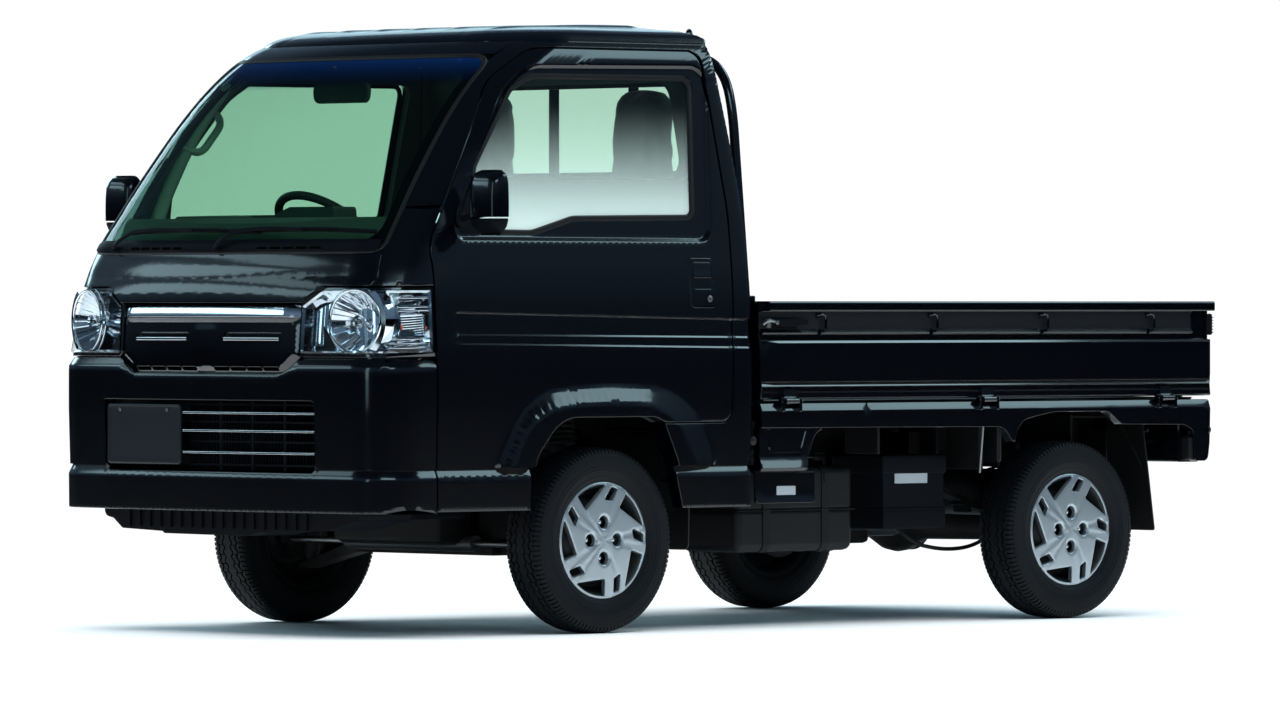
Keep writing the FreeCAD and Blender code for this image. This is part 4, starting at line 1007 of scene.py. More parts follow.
class CabSkin:
    """The cab's outer surface, measured round its plan by u and up by z.

    u is the length along the plan from the middle of the nose, positive on the left.
    """
    rear_corner = 34.0

    def __init__(self, rows: Rows) -> None:
        """Fits smooth curves to the plan sections."""
        table = np.array(rows)
        self.curves = [pchip(table[:, 0], table[:, i]) for i in range(1, 6)]

    def plan(self, z: np.ndarray) -> tuple:
        """Plan at height z: half width, radii, corner places and lengths along it."""
        width, front, corner, bow, back = (c(z) for c in self.curves)
        start_x = (width - corner) / (1 - corner / bow)
        turn = np.arcsin(start_x / bow)
        start_y = front + bow * (1 - np.cos(turn))
        side_y = start_y + corner * np.cos(turn)
        to_corner = bow * turn
        to_side = to_corner + corner * (math.pi / 2 - turn)
        to_rear = to_side + back - self.rear_corner - side_y
        return width, front, corner, bow, back, turn, side_y, to_corner, to_side, to_rear

    def base(self, u: np.ndarray, z: np.ndarray) -> np.ndarray:
        """Points of the bare skin."""
        u, z = np.broadcast_arrays(np.asarray(u, float), np.asarray(z, float))
        width, front, corner, bow, back, turn, side_y, to_corner, to_side, to_rear = self.plan(z)
        sign, a, rc = np.where(u < 0, -1.0, 1.0), np.abs(u), self.rear_corner
        at_rear = to_rear + rc * math.pi / 2
        phi = turn + (a - to_corner) / corner
        psi = (a - to_rear) / rc
        stretches = [a < to_corner, a < to_side, a < to_rear, a < at_rear]
        x = np.select(stretches, [bow * np.sin(a / bow), width - corner + corner * np.sin(phi),
                                  width, width - rc + rc * np.cos(psi)], width - rc - (a - at_rear))
        y = np.select(stretches, [front + bow * (1 - np.cos(a / bow)), side_y - corner * np.cos(phi),
                                  side_y + a - to_side, back - rc + rc * np.sin(psi)], back)
        return np.stack([sign * x, y, z], axis=-1)

    def place(self, u: np.ndarray, z: np.ndarray, lift: np.ndarray = 0.0) -> np.ndarray:
        """Points at a height above the skin, measured along its normal."""
        e = 1.5
        along = self.base(u + e, z) - self.base(u - e, z)
        rise = self.base(u, z + e) - self.base(u, z - e)
        normal = np.cross(along, rise)
        normal /= np.linalg.norm(normal, axis=-1)[..., None]
        return self.base(u, z) + normal * np.asarray(lift, float)[..., None]

    def u_at_x(self, x: np.ndarray, z: np.ndarray) -> np.ndarray:
        """Length along the front at x."""
        width, _, corner, bow, _, turn, _, to_corner, _, _ = self.plan(z)
        a = np.abs(x)
        on_arc = bow * np.arcsin(np.clip(a / bow, 0, 1))
        phi = np.arcsin(np.clip((a - width + corner) / corner, -1, 1))
        u = np.where(on_arc < to_corner, on_arc, to_corner + corner * (phi - turn))
        return np.sign(x) * u

    def u_at_y(self, y: np.ndarray, z: np.ndarray) -> np.ndarray:
        """Length along the left side at y."""
        _, _, corner, _, _, turn, side_y, to_corner, to_side, _ = self.plan(z)
        phi = np.arccos(np.clip((side_y - y) / corner, 0, 1))
        return np.where(y >= side_y, to_side + y - side_y, to_corner + corner * (phi - turn))

    def y_at_u(self, u: np.ndarray, z: np.ndarray) -> np.ndarray:
        """y of the skin at u."""
        return self.base(u, z)[..., 1]

    def from_side(self, line: np.ndarray) -> np.ndarray:
        """Points of y, z on the left side, as u, z."""
        return np.c_[self.u_at_y(line[:, 0], line[:, 1]), line[:, 1]]

    def from_front(self, line: np.ndarray) -> np.ndarray:
        """Points of x, z on the front, as u, z."""
        return np.c_[self.u_at_x(line[:, 0], line[:, 1]), line[:, 1]]

    def over(self, line: np.ndarray, lift: float) -> np.ndarray:
        """Points in space at one lift over a line of u, z."""
        return self.place(line[:, 0], line[:, 1], np.full(len(line), lift))

    def side(self, rows: Rows, step: float = 6.0) -> np.ndarray:
        """Outline in u, z of rows of y, z, radius."""
        return self.from_side(rounded(rows, step))

    def face(self, rows: Rows, step: float = 6.0) -> np.ndarray:
        """Outline in u, z of rows of x, z, radius on the front."""
        return self.from_front(rounded(rows, step))

    def mapped(self, rows: Rows, step: float = 8.0) -> np.ndarray:
        """Open line in u, z of rows of y, z, radius on the left side."""
        return self.from_side(rounded(rows, step, closed=False))

    def grid(self, low_u: float, high_u: float, low_z: float, high_z: float,
             step: float) -> np.ndarray:
        """Staggered filling points in u, z."""
        zs = np.arange(low_z, high_z, step * 0.87)
        us = np.arange(low_u, high_u, step)
        gu, gz = np.meshgrid(us, zs)
        gu[1::2] += step / 2
        return np.c_[gu.ravel(), gz.ravel()]


SKIN = CabSkin(CAB_SECTIONS)


def on_front(x: np.ndarray, z: np.ndarray, lift: np.ndarray) -> np.ndarray:
    """Points over the front at x and z, one row for each; plain numbers are spread."""
    x, z, lift = np.broadcast_arrays(*(np.atleast_1d(np.asarray(v, float)) for v in (x, z, lift)))
    return SKIN.place(SKIN.u_at_x(x, z), z, lift)


def flat_lift(value: float) -> Callable:
    """Relief of one even lift."""
    return lambda u, z: np.full(len(u), value)


def polyline_gap(points: np.ndarray, rows: Rows) -> np.ndarray:
    """Signed distance to an open line, positive below it and between its ends."""
    line = rounded(rows, 10.0, closed=False)
    ring = np.vstack([line, [line[-1][0], -2000.0], [line[0][0], -2000.0]])
    within = inside(points, ring)
    near = np.full(len(points), 1e9)
    for a, b in zip(line, line[1:]):
        run = b - a
        t = np.clip((points - a) @ run / (run @ run), 0, 1)
        near = np.minimum(near, np.linalg.norm(points - a - t[:, None] * run, axis=1))
    return np.where(within, near, -near)


def tuck(z: np.ndarray) -> np.ndarray:
    """Lift of the lower body: it draws in, then steps out to a ledge and tucks under."""
    return np.interp(z, (349, *TUCK_LEVELS, 640), (-1, 0, -12, -4, -2, 0))


@dataclass
class SideRelief:
    """Pressed shapes that run along the cab's side, as lift over the bare skin."""
    band_front_y: float = -1386.0
    band_depth: float = 7.0
    flare_lift: float = 20.0
    recess_depth: float = 9.0

    def lines(self, y: np.ndarray) -> tuple[np.ndarray, np.ndarray, np.ndarray]:
        """Heights of the band's upper, middle and lower lines at y."""
        t = (y + 1385) / 1075
        return 921 - 20 * t, 857 - 9 * t, 831 - 13 * t

    def creases(self, y: np.ndarray) -> list:
        """Both edges of each of the band's steps, in u, z."""
        steps = zip(self.lines(y), ((0.0, -6.0), (1.0, -4.0), (1.0, -4.0)))
        return [SKIN.from_side(np.c_[y, level + drop]) for level, drops in steps for drop in drops]

    def at(self, u: np.ndarray, z: np.ndarray) -> np.ndarray:
        """Lift at u, z on the left side."""
        y = SKIN.y_at_u(u, z)
        points = np.c_[y, z]
        lift = tuck(z)
        upper, middle, lower = self.lines(y)
        end = smooth(self.band_front_y, self.band_front_y + 9, y)
        band = -self.band_depth * smooth(0, 6, upper - z) + 3.5 * smooth(-1, 4, middle - z) \
            + (self.band_depth - 3.5) * smooth(-1, 4, lower - z)
        lift = lift + band * end
        outer = polyline_gap(points, ARCH_LINE)
        lip = polyline_gap(points, ARCH_LIP)
        width = np.where(lip > 0, 60.0, outer - lip)
        share = np.where(lip > 0, 1.0, np.clip(outer / np.maximum(width, 12.0), 0, 1))
        flare = np.minimum(self.flare_lift, 0.36 * self.flare_width(points))
        fade = smooth(476, 478.5, z)
        lift = lift * (1 - smooth(-10, 4, outer) * fade) + flare * share * fade * (outer > 0)
        return lift - self.recess(points)

    def flare_width(self, points: np.ndarray) -> np.ndarray:
        """Width of the flare at each point, narrow where its two lines draw together."""
        lines = [rounded(rows, 10.0, closed=False) for rows in (ARCH_LINE, ARCH_LIP)]
        ends = [np.linalg.norm(points[:, None] - line[None, ::3], axis=2).min(1) for line in lines]
        return ends[0] + ends[1]

    def recess(self, points: np.ndarray) -> np.ndarray:
        """Depth of the smooth recess round the door's window."""
        ring = rounded(WINDOW_RECESS, 8.0)
        gap = np.where(inside(points, ring), 1.0, -1.0) * np.minimum(
            edge_distance(points, [ring], 40.0), 40.0)
        return self.recess_depth * smooth(-2, 13, gap)


SIDE = SideRelief()


def constant_lines(levels: Iterable[float], low: float, high: float, step: float = 10.0) -> list:
    """Level lines in u, z between two u."""
    return level_lines(np.arange(low, high, step), levels)


def clipped(lines: Iterable[np.ndarray], outline: np.ndarray, holes: Sequence[np.ndarray] = (),
            gap: float = 4.0) -> list:
    """Keeps the stretches of lines that lie inside an outline and clear of its edges."""
    kept = []
    for line in lines:
        good = inside(line, outline)
        for hole in holes:
            good &= ~inside(line, hole)
        good &= clearance(line, [outline] + list(holes)) > gap
        kept += stretches(line, good)
    return kept


def separated(lines: Sequence[np.ndarray], gap: float) -> list:
    """Drops points of later lines that come too near an earlier line."""
    kept: list = []
    for line in lines:
        kept += stretches(line, clearance(line, kept) > gap) if kept else [line]
    return kept


# ---- cab: doors, corner panels, roof and back ---------------------------------------
@dataclass
class Door:
    """One door: pressed leaf, drop glass and its channel, mirror with its sail, handle."""
    side: Side
    grid: float = 12.0
    glass_lift: float = -13.0
    handle_y: tuple[float, float] = (-477.0, -378.0)
    handle_z: tuple[float, float] = (930.0, 1074.0)

    def body(self) -> str:
        """CAD body that the door's pieces ride on."""
        return f"door_{self.side.word}"

    def finish(self, piece: Piece, name: str, slot: str, finishes: Sequence,
               node: Sequence[str] = (), sharp: float = 32.0) -> bpy.types.Object:
        """Makes the piece on this door's own side."""
        piece = piece if self.side is Side.LEFT else piece.mirrored()
        return piece.object(f"{name}_{self.side.word}", self.body(), slot, finishes, sharp, node)

    def leaf(self) -> bpy.types.Object:
        """Outer skin with its band, recess and arch flare, closed by the inner panel."""
        outline = offset(SKIN.side(DOOR_ROWS), SHUT_GAP)
        window = offset(SKIN.side(GLASS_ROWS), -9.0)
        creases = SIDE.creases(np.arange(SIDE.band_front_y + 14, -300, 8.0))
        for end_y in (SIDE.band_front_y, SIDE.band_front_y + 9):
            upper, _, lower = (float(v) for v in SIDE.lines(np.array(end_y)))
            z = np.linspace(lower, upper, 14)[1:-1]
            creases.append(SKIN.from_side(np.c_[np.full(len(z), end_y), z]))
        flat = rounded(WINDOW_RECESS, 8.0)
        creases += [SKIN.from_side(closed_line(offset(flat, gap))) for gap in (-2.0, 4.0, 9.0, 13.0)]
        creases += constant_lines(TUCK_LEVELS, 600, 1700)
        creases += [SKIN.mapped(ARCH_LINE), SKIN.mapped(ARCH_LIP)]
        creases = separated(clipped(creases, outline, [window]), 2.0)
        grid = SKIN.grid(900, 2200, 300, 1700, self.grid)
        shell = plate(SKIN.place, outline, [window], creases, SIDE.at, self.grid,
                      depth=22.0, back=WALL, extra=grid)
        return self.finish(Piece().add(shell), "door_skin", "body_paint", (ENAMEL, DASH_PLASTIC),
                           (f"door_{self.side.word}",))

    def glass(self) -> bpy.types.Object:
        """Drop glass, with its edge in the channel."""
        outline = offset(SKIN.side(GLASS_ROWS), -7.0)
        deep = -self.glass_lift + 4.0
        pane = plate(SKIN.place, outline, relief=flat_lift(self.glass_lift), grid=40.0,
                     roll=((0.0, -0.5), (0.6, 0.0)), depth=deep, back=deep)
        clear = DOOR_GLASS if self.side is Side.LEFT else REAR_GLASS
        return self.finish(Piece().add(pane), "door_pane", "tinted_glass", (clear, clear),
                           (f"door_glass_{self.side.word}",))

    def seals(self) -> bpy.types.Object:
        """Run channel round the glass."""
        path = SKIN.over(SKIN.side(GLASS_ROWS)[::2], -10.0)
        section = rounded(((-11, -5, 1.5), (6, -5, 1.5), (2, 4, 2), (-11, 4, 2)), 6.0)
        piece = Piece().add(sweep(path, section, up=(1, 0, 0), closed=True))
        return self.finish(piece, "window_channel", "black_rubber", (RUBBER,), sharp=50)

    def sail(self) -> bpy.types.Object:
        """Plastic corner ahead of the glass that carries the mirror's arm."""
        rows = ((-1330, 1140, 12), (-1345, 1168, 20), (-1262, 1318, 10), (-1262, 1140, 4))
        sheet = plate(SKIN.place, SKIN.side(rows, 5.0), relief=flat_lift(-6.5), grid=20.0,
                      roll=((0, -1.5), (0.6, -0.5), (2, 0)), depth=14.0)
        return self.finish(Piece().add(sheet), "mirror_sail", "black_plastic", (TRIM_PLASTIC,))

    def handle(self) -> bpy.types.Object:
        """Flush handle: bezel, lift-up flap over a finger bowl, and the lock cylinder."""
        y0, y1 = self.handle_y
        z0, z1 = self.handle_z
        piece = Piece()
        outline = SKIN.side(((y0, z0, 16), (y0, z1, 16), (y1, z1, 16), (y1, z0, 16)), 3.0)
        bowl = SKIN.side(((y0 + 13, 985, 10), (y0 + 13, z1 - 10, 10), (y1 - 10, z1 - 10, 10),
                          (y1 - 10, 985, 10)), 3.0)
        rise = 1.6
        piece.add(plate(SKIN.place, outline, [bowl], relief=flat_lift(rise), grid=10.0,
                        roll=((0, -1.4), (0.5, -0.5), (1.8, 0)), depth=1.0), 0)
        inner = offset(bowl, 0.2)

        def basin(u: np.ndarray, z: np.ndarray) -> np.ndarray:
            """Depth of the finger bowl behind the flap."""
            gap = edge_distance(np.c_[u, z], [inner], 30.0)
            return -2.0 - 13.0 * smooth(0, 14, gap)
        piece.add(plate(SKIN.place, inner, relief=basin, grid=4.0,
                        roll=((0, 0), (1, 0)), depth=2.0), 0)
        flap = SKIN.side(((y0 + 15, 1016, 4), (y0 + 15, z1 - 12, 9), (y1 - 12, z1 - 12, 9),
                          (y1 - 12, 1016, 4)), 3.0)
        piece.add(plate(SKIN.place, flap, relief=lambda u, z: 1.0 + 1.6 * smooth(1045, 1018, z),
                        grid=6.0, roll=((0, -2.0), (0.6, -0.7), (2.0, 0)), depth=5.0, back=5.0), 0)
        at = SKIN.place(SKIN.u_at_y(np.array([y1 - 24.0]), np.array([957.0])), np.array([957.0]),
                        np.array([rise]))[0]
        piece.add(lathe(((0, 9.5), (1.2, 9.2), (1.5, 8.4), (1.0, 7.6), (0.6, 0.0)), at, "x", 32), 1)
        piece.add(soft_box(at - (0, 0.9, 4.2), at + (1.4, 0.9, 4.2), 0.3, 1), 2)
        return self.finish(piece, "door_handle", "body_paint", (ENAMEL, STEEL, TRIM_PLASTIC))

    def mirror(self) -> list:
        """Mirror head in two mouldings, its glass and its arm."""
        head, arm = Piece(), Piece()
        x0, x1, z0, z1 = 742.0, 868.0, 1186.0, 1319.0
        middle_x, middle_y, thick, count = (x0 + x1) / 2, -1318.0, 34.0, 48
        glass_share, back_share = 0.55, 1.25

        def ring(t: float, share: float, grow: float) -> np.ndarray:
            """Plan of the head at a share of its height: rounded back, flat glass side."""
            half_x = (x1 - x0) / 2 + grow
            half_y = thick * share + grow
            angle = np.linspace(0, 2 * math.pi, count, endpoint=False)
            power = np.where(np.sin(angle) > 0, 0.35, 0.75)
            x = np.sign(np.cos(angle)) * np.abs(np.cos(angle)) ** 0.5 * half_x
            y = np.sign(np.sin(angle)) * np.abs(np.sin(angle)) ** power * half_y * np.where(
                np.sin(angle) > 0, glass_share, back_share)
            return np.c_[middle_x + x, middle_y + y, np.full(count, z0 + (z1 - z0) * t)]
        shell = ((0.0, 1.0, 0.0), (0.25, 1.0, 0.5), (0.5, 1.0, 0.0), (0.72, 0.97, -1.0),
                 (0.86, 0.9, -4.0), (0.94, 0.78, -9.0), (0.985, 0.58, -16.0), (1.0, 0.3, -28.0))
        cup = ((-0.38, 0.5, -26.0), (-0.31, 0.75, -14.0), (-0.2, 0.9, -5.0),
               (-0.08, 0.97, -1.5), (-0.03, 0.97, -1.5))
        for mark, levels in enumerate((shell, cup)):
            head.add(lofted([ring(*level) for level in levels]), mark)
        glass_rows = ((x0 + 9, z0 + 8, 14), (x1 - 9, z0 + 8, 14), (x1 - 12, z1 - 12, 34),
                      (x0 + 12, z1 - 12, 34))
        glass_y = middle_y + thick * glass_share
        head.add(slab(rounded(glass_rows, 4.0), lambda u, v, h: np.stack(
            [u, glass_y + 0.5 + h, v], axis=-1), 3.0, 0.6), 2)
        arm.add(rod(((690, -1338, 1180), (724, -1340, 1186), (762, -1332, 1192), (800, -1322, 1196)),
                    9.0, 16, bend=20), 0)
        arm.add(lathe(((0, 0), (0, 19), (3, 20), (9, 16), (14, 11), (14, 0)), (700, -1338, 1180),
                      "x", 32), 0)
        return [self.finish(head, "mirror_head", "black_plastic",
                            (ENAMEL, TRIM_PLASTIC, MIRROR_GLASS), (f"mirror_{self.side.word}",)),
                self.finish(arm, "mirror_arm", "black_plastic", (TRIM_PLASTIC,))]

    def build(self) -> None:
        """Builds every piece of the door."""
        self.leaf()
        self.glass()
        self.seals()
        self.sail()
        self.handle()
        self.mirror()


@dataclass
class CabShell:
    """Fixed panels of the cab: corner panels, roof, back and their seams."""
    grid: float = 14.0
    roof_crown: float = 48.0

    def corner(self, side: Side) -> bpy.types.Object:
        """Front post, roof rail, rear corner and lower quarter in one pressing."""
        top = ROOF_SPLIT_Z
        screen = rounded(((632, 1097, 0), (562, 1652, 40), (560, top, 0)), 8.0, closed=False)
        front = SKIN.from_front(screen)
        front = front[front[:, 1] > 1216]
        foot_x = float(np.interp(1216, screen[:, 1], screen[:, 0]))
        front = np.vstack([[SKIN.u_at_x(np.array(foot_x), np.array(1216.0)), 1216], front])
        rear_z = np.arange(top, 355, -8.0)
        plan = SKIN.plan(rear_z)
        back_u = plan[9] + SKIN.rear_corner * math.pi / 2 + plan[0] - SKIN.rear_corner - BACK_SEAM_X
        rail_u = np.arange(front[-1, 0] + 8, back_u[0], 8.0)
        rail = np.c_[rail_u, np.full(len(rail_u), top)]
        arch = SKIN.from_side(rounded(QUARTER_EDGE, 6.0, closed=False)[::-1])
        door = rounded(DOOR_ROWS, 6.0)
        first = int(np.argmin(np.hypot(door[:, 0] + 604, door[:, 1] - 598)))
        door = np.roll(door, -first, 0)[::-1]
        last = int(np.argmax((door[:, 0] < -1200) & (door[:, 1] < 1216)))
        door_u = SKIN.from_side(door[:last])
        bottom_u = np.arange(back_u[-1] - 8, arch[0, 0], -8.0)
        bottom = np.c_[bottom_u, np.full(len(bottom_u), 355.0)]
        outline = np.vstack([front, rail, np.c_[back_u, rear_z], bottom, arch, door_u])
        creases = SIDE.creases(np.arange(-312, -236, 6.0))
        creases += constant_lines(TUCK_LEVELS, 1700, 2400)
        creases += [SKIN.mapped(ARCH_LINE), SKIN.mapped(ARCH_LIP)]
        outline = outline if area(outline) > 0 else outline[::-1]
        creases = separated(clipped(creases, outline), 2.0)
        shell = plate(SKIN.place, outline, [], creases, SIDE.at, self.grid, depth=WALL - 3,
                      back=WALL - 3)
        piece = Piece().add(shell)
        piece = piece if side is Side.LEFT else piece.mirrored()
        return piece.object(f"corner_panel_{side.word}", "chassis", "body_paint",
                            (ENAMEL, LINER_PLASTIC), node=(f"side_frame_{side.word}",))

    def roof_height(self, x: np.ndarray, y: np.ndarray) -> np.ndarray:
        """Height of the crowned roof with its lengthwise ribs."""
        low, high = np.zeros(len(x)), np.ones(len(x))
        for _ in range(22):
            middle = (low + high) / 2
            within = self.within(x, y, middle)
            low, high = np.where(within, middle, low), np.where(within, high, middle)
        d = np.clip(low, 0, 1)
        crown = self.roof_crown * (1 - (1 - d) ** 3)
        rise = 10 * smooth(-1000, -450, y) * smooth(0.6, 1.0, d)
        ribs = np.zeros(len(x))
        for centre in (-412, -247, -82, 82, 247, 412):
            ribs += smooth(19, 9, np.abs(x - centre))
        ends = smooth(-1020, -950, y - 0.00018 * x * x) * smooth(-395, -430, y)
        return ROOF_SPLIT_Z + crown + rise + 5.0 * ribs * ends

    def within(self, x: np.ndarray, y: np.ndarray, d: np.ndarray) -> np.ndarray:
        """Whether points lie inside the roof's plan ring at a share d of its shoulder."""
        width, front = 612 - 60 * d - 200 * d * d, -1100 + 120 * d + 260 * d * d
        corner, bow, back = 230 - 40 * d, 3200.0, -292 - 50 * d - 110 * d * d
        turn = np.arcsin((width - corner) / (bow - corner))
        side_y = front + bow * (1 - np.cos(turn)) + corner * np.cos(turn)
        a = np.abs(x)
        hits = (a < width) & (y < back)
        front_ok = (bow * bow > x * x) & (y > front + bow - np.sqrt(np.maximum(bow * bow - x * x, 0)))
        corner_zone = (a > width - corner) & (y < side_y)
        corner_ok = np.hypot(a - width + corner, y - side_y) < corner
        return hits & np.where(corner_zone, corner_ok, front_ok)

    def roof(self) -> bpy.types.Object:
        """Roof skin with its ribs, over a thin liner."""
        z = np.array(ROOF_SPLIT_Z)
        plan = [float(v) for v in SKIN.plan(z)]
        full = plan[9] + SKIN.rear_corner * math.pi / 2 + plan[0] - SKIN.rear_corner
        us = np.arange(-full, full, 9.0)
        ring = SKIN.base(us, np.full(len(us), ROOF_SPLIT_Z))[:, :2]
        ring = offset(ring if area(ring) > 0 else ring[::-1], 1.0)

        def surface(x: np.ndarray, y: np.ndarray, lift: np.ndarray) -> np.ndarray:
            """Point over the roof's plan."""
            return np.stack([x, y, self.roof_height(x, y) + lift], axis=-1)
        gx, gy = np.meshgrid(np.arange(-610, 611, 11.0), np.arange(-1100, -280, 14.0))
        extra = np.c_[gx.ravel(), gy.ravel()]
        lines = [closed_line(offset(ring, g)) for g in (1.5, 4.0, 8.0, 14.0, 22.0, 33.0)]
        shell = plate(surface, ring, [], lines, None, 12.0, roll=((0, 0), (1, 0)), depth=2.0,
                      back=26.0, extra=extra)
        return Piece().add(shell).object("roof_skin", "chassis", "body_paint",
                                         (ENAMEL, LINER_PLASTIC), node=("roof_panel",))

    def header(self) -> bpy.types.Object:
        """Strip of the cab between the screen and the roof's seam."""
        z0, z1 = 1655.0, ROOF_SPLIT_Z
        half = 560.0
        rows = ((-half, z0, 4), (half, z0, 4), (half, z1, 0), (-half, z1, 0))
        shell = plate(SKIN.place, SKIN.face(rows, 8.0), grid=14.0, depth=24.0, back=24.0)
        return Piece().add(shell).object("roof_header", "chassis", "body_paint",
                                         (ENAMEL, LINER_PLASTIC))

    def rear_wall(self, x: np.ndarray, z: np.ndarray, lift: np.ndarray) -> np.ndarray:
        """Point on the leaning back wall; x is mirrored so that it faces +Y."""
        return np.stack([-x, SKIN.curves[4](z) + lift, z], axis=-1)

    def back(self) -> bpy.types.Object:
        """Back wall with its window opening and pressed stiffening panels."""
        half, z0, z1 = BACK_SEAM_X - 1.5, 606.0, ROOF_SPLIT_Z

        def pressing(x: np.ndarray, z: np.ndarray) -> np.ndarray:
            """Two shallow panels side by side under the window."""
            wide = smooth(520, 500, np.abs(x)) * smooth(12, 30, np.abs(x))
            tall = smooth(1000, 1020, z) * smooth(1290, 1270, z)
            return -6.0 * wide * tall
        hole = rounded(REAR_WINDOW_ROWS, 8.0)
        shell = plate(self.rear_wall, rounded(box_rows(-half, z0, half, z1), 10.0), [hole], (),
                      pressing, 16.0, depth=30.0, back=WALL)
        return Piece().add(shell).object("back_wall", "chassis", "body_paint",
                                         (ENAMEL, LINER_PLASTIC), node=("back_panel",))

    def rear_glass(self) -> None:
        """Rear window in its rubber."""
        ring = rounded(REAR_WINDOW_ROWS, 8.0)
        pane = plate(self.rear_wall, offset(ring, 6.0), relief=flat_lift(-3.0), grid=60.0,
                     roll=((0, -0.5), (0.6, 0)), depth=7.0, back=7.0)
        Piece().add(pane).object("rear_pane", "chassis", "tinted_glass", (REAR_GLASS, REAR_GLASS),
                                 node=("rear_window",))
        path = self.rear_wall(ring[:, 0], ring[:, 1], np.zeros(len(ring)))
        section = rounded(((-12, -7, 2), (11, -7, 2), (9, 4, 3), (-2, 5.5, 3), (-12, 3, 3)), 6.0)
        seal = sweep(path, section, up=(0, 1, 0), closed=True)
        Piece().add(seal).object("rear_window_rubber", "chassis", "black_rubber", (RUBBER,),
                                 sharp=60)

    def build(self) -> None:
        """Builds the fixed panels."""
        for side in Side:
            self.corner(side)
        self.roof()
        self.header()
        self.back()
        self.rear_glass()


# ---- nose, bumper, grille, lamps and screen --------------------------------------------
def across(half: np.ndarray) -> np.ndarray:
    """Closes a half outline that starts and ends at u = 0 with its mirror image."""
    twin = half[::-1] * (-1, 1)
    keep = np.abs(twin[:, 0]) > 1e-6
    return np.vstack([half, twin[keep]])


def at_front(rows: Rows, step: float = 8.0) -> np.ndarray:
    """Open line in u, z of rows of x, z, radius on the nose."""
    return SKIN.from_front(rounded(rows, step, closed=False))


def door_front(low: float, high: float) -> np.ndarray:
    """The door's front shut line from one height up to another, in u, z."""
    line = rounded(DOOR_ROWS, 6.0)
    line = line[(line[:, 0] < -1150) & (line[:, 1] > low + 2) & (line[:, 1] < high - 2)]
    line = line[np.argsort(line[:, 1])]
    ends = [[np.interp(z, line[:, 1], line[:, 0]), z] for z in (low, high)]
    return SKIN.from_side(np.vstack([ends[0], line, ends[1]]))


def with_twin(line: np.ndarray) -> list:
    """A line that starts at u = 0 and its mirror image, without the point they share."""
    return [line, (line * (-1, 1))[::-1][:-1]]


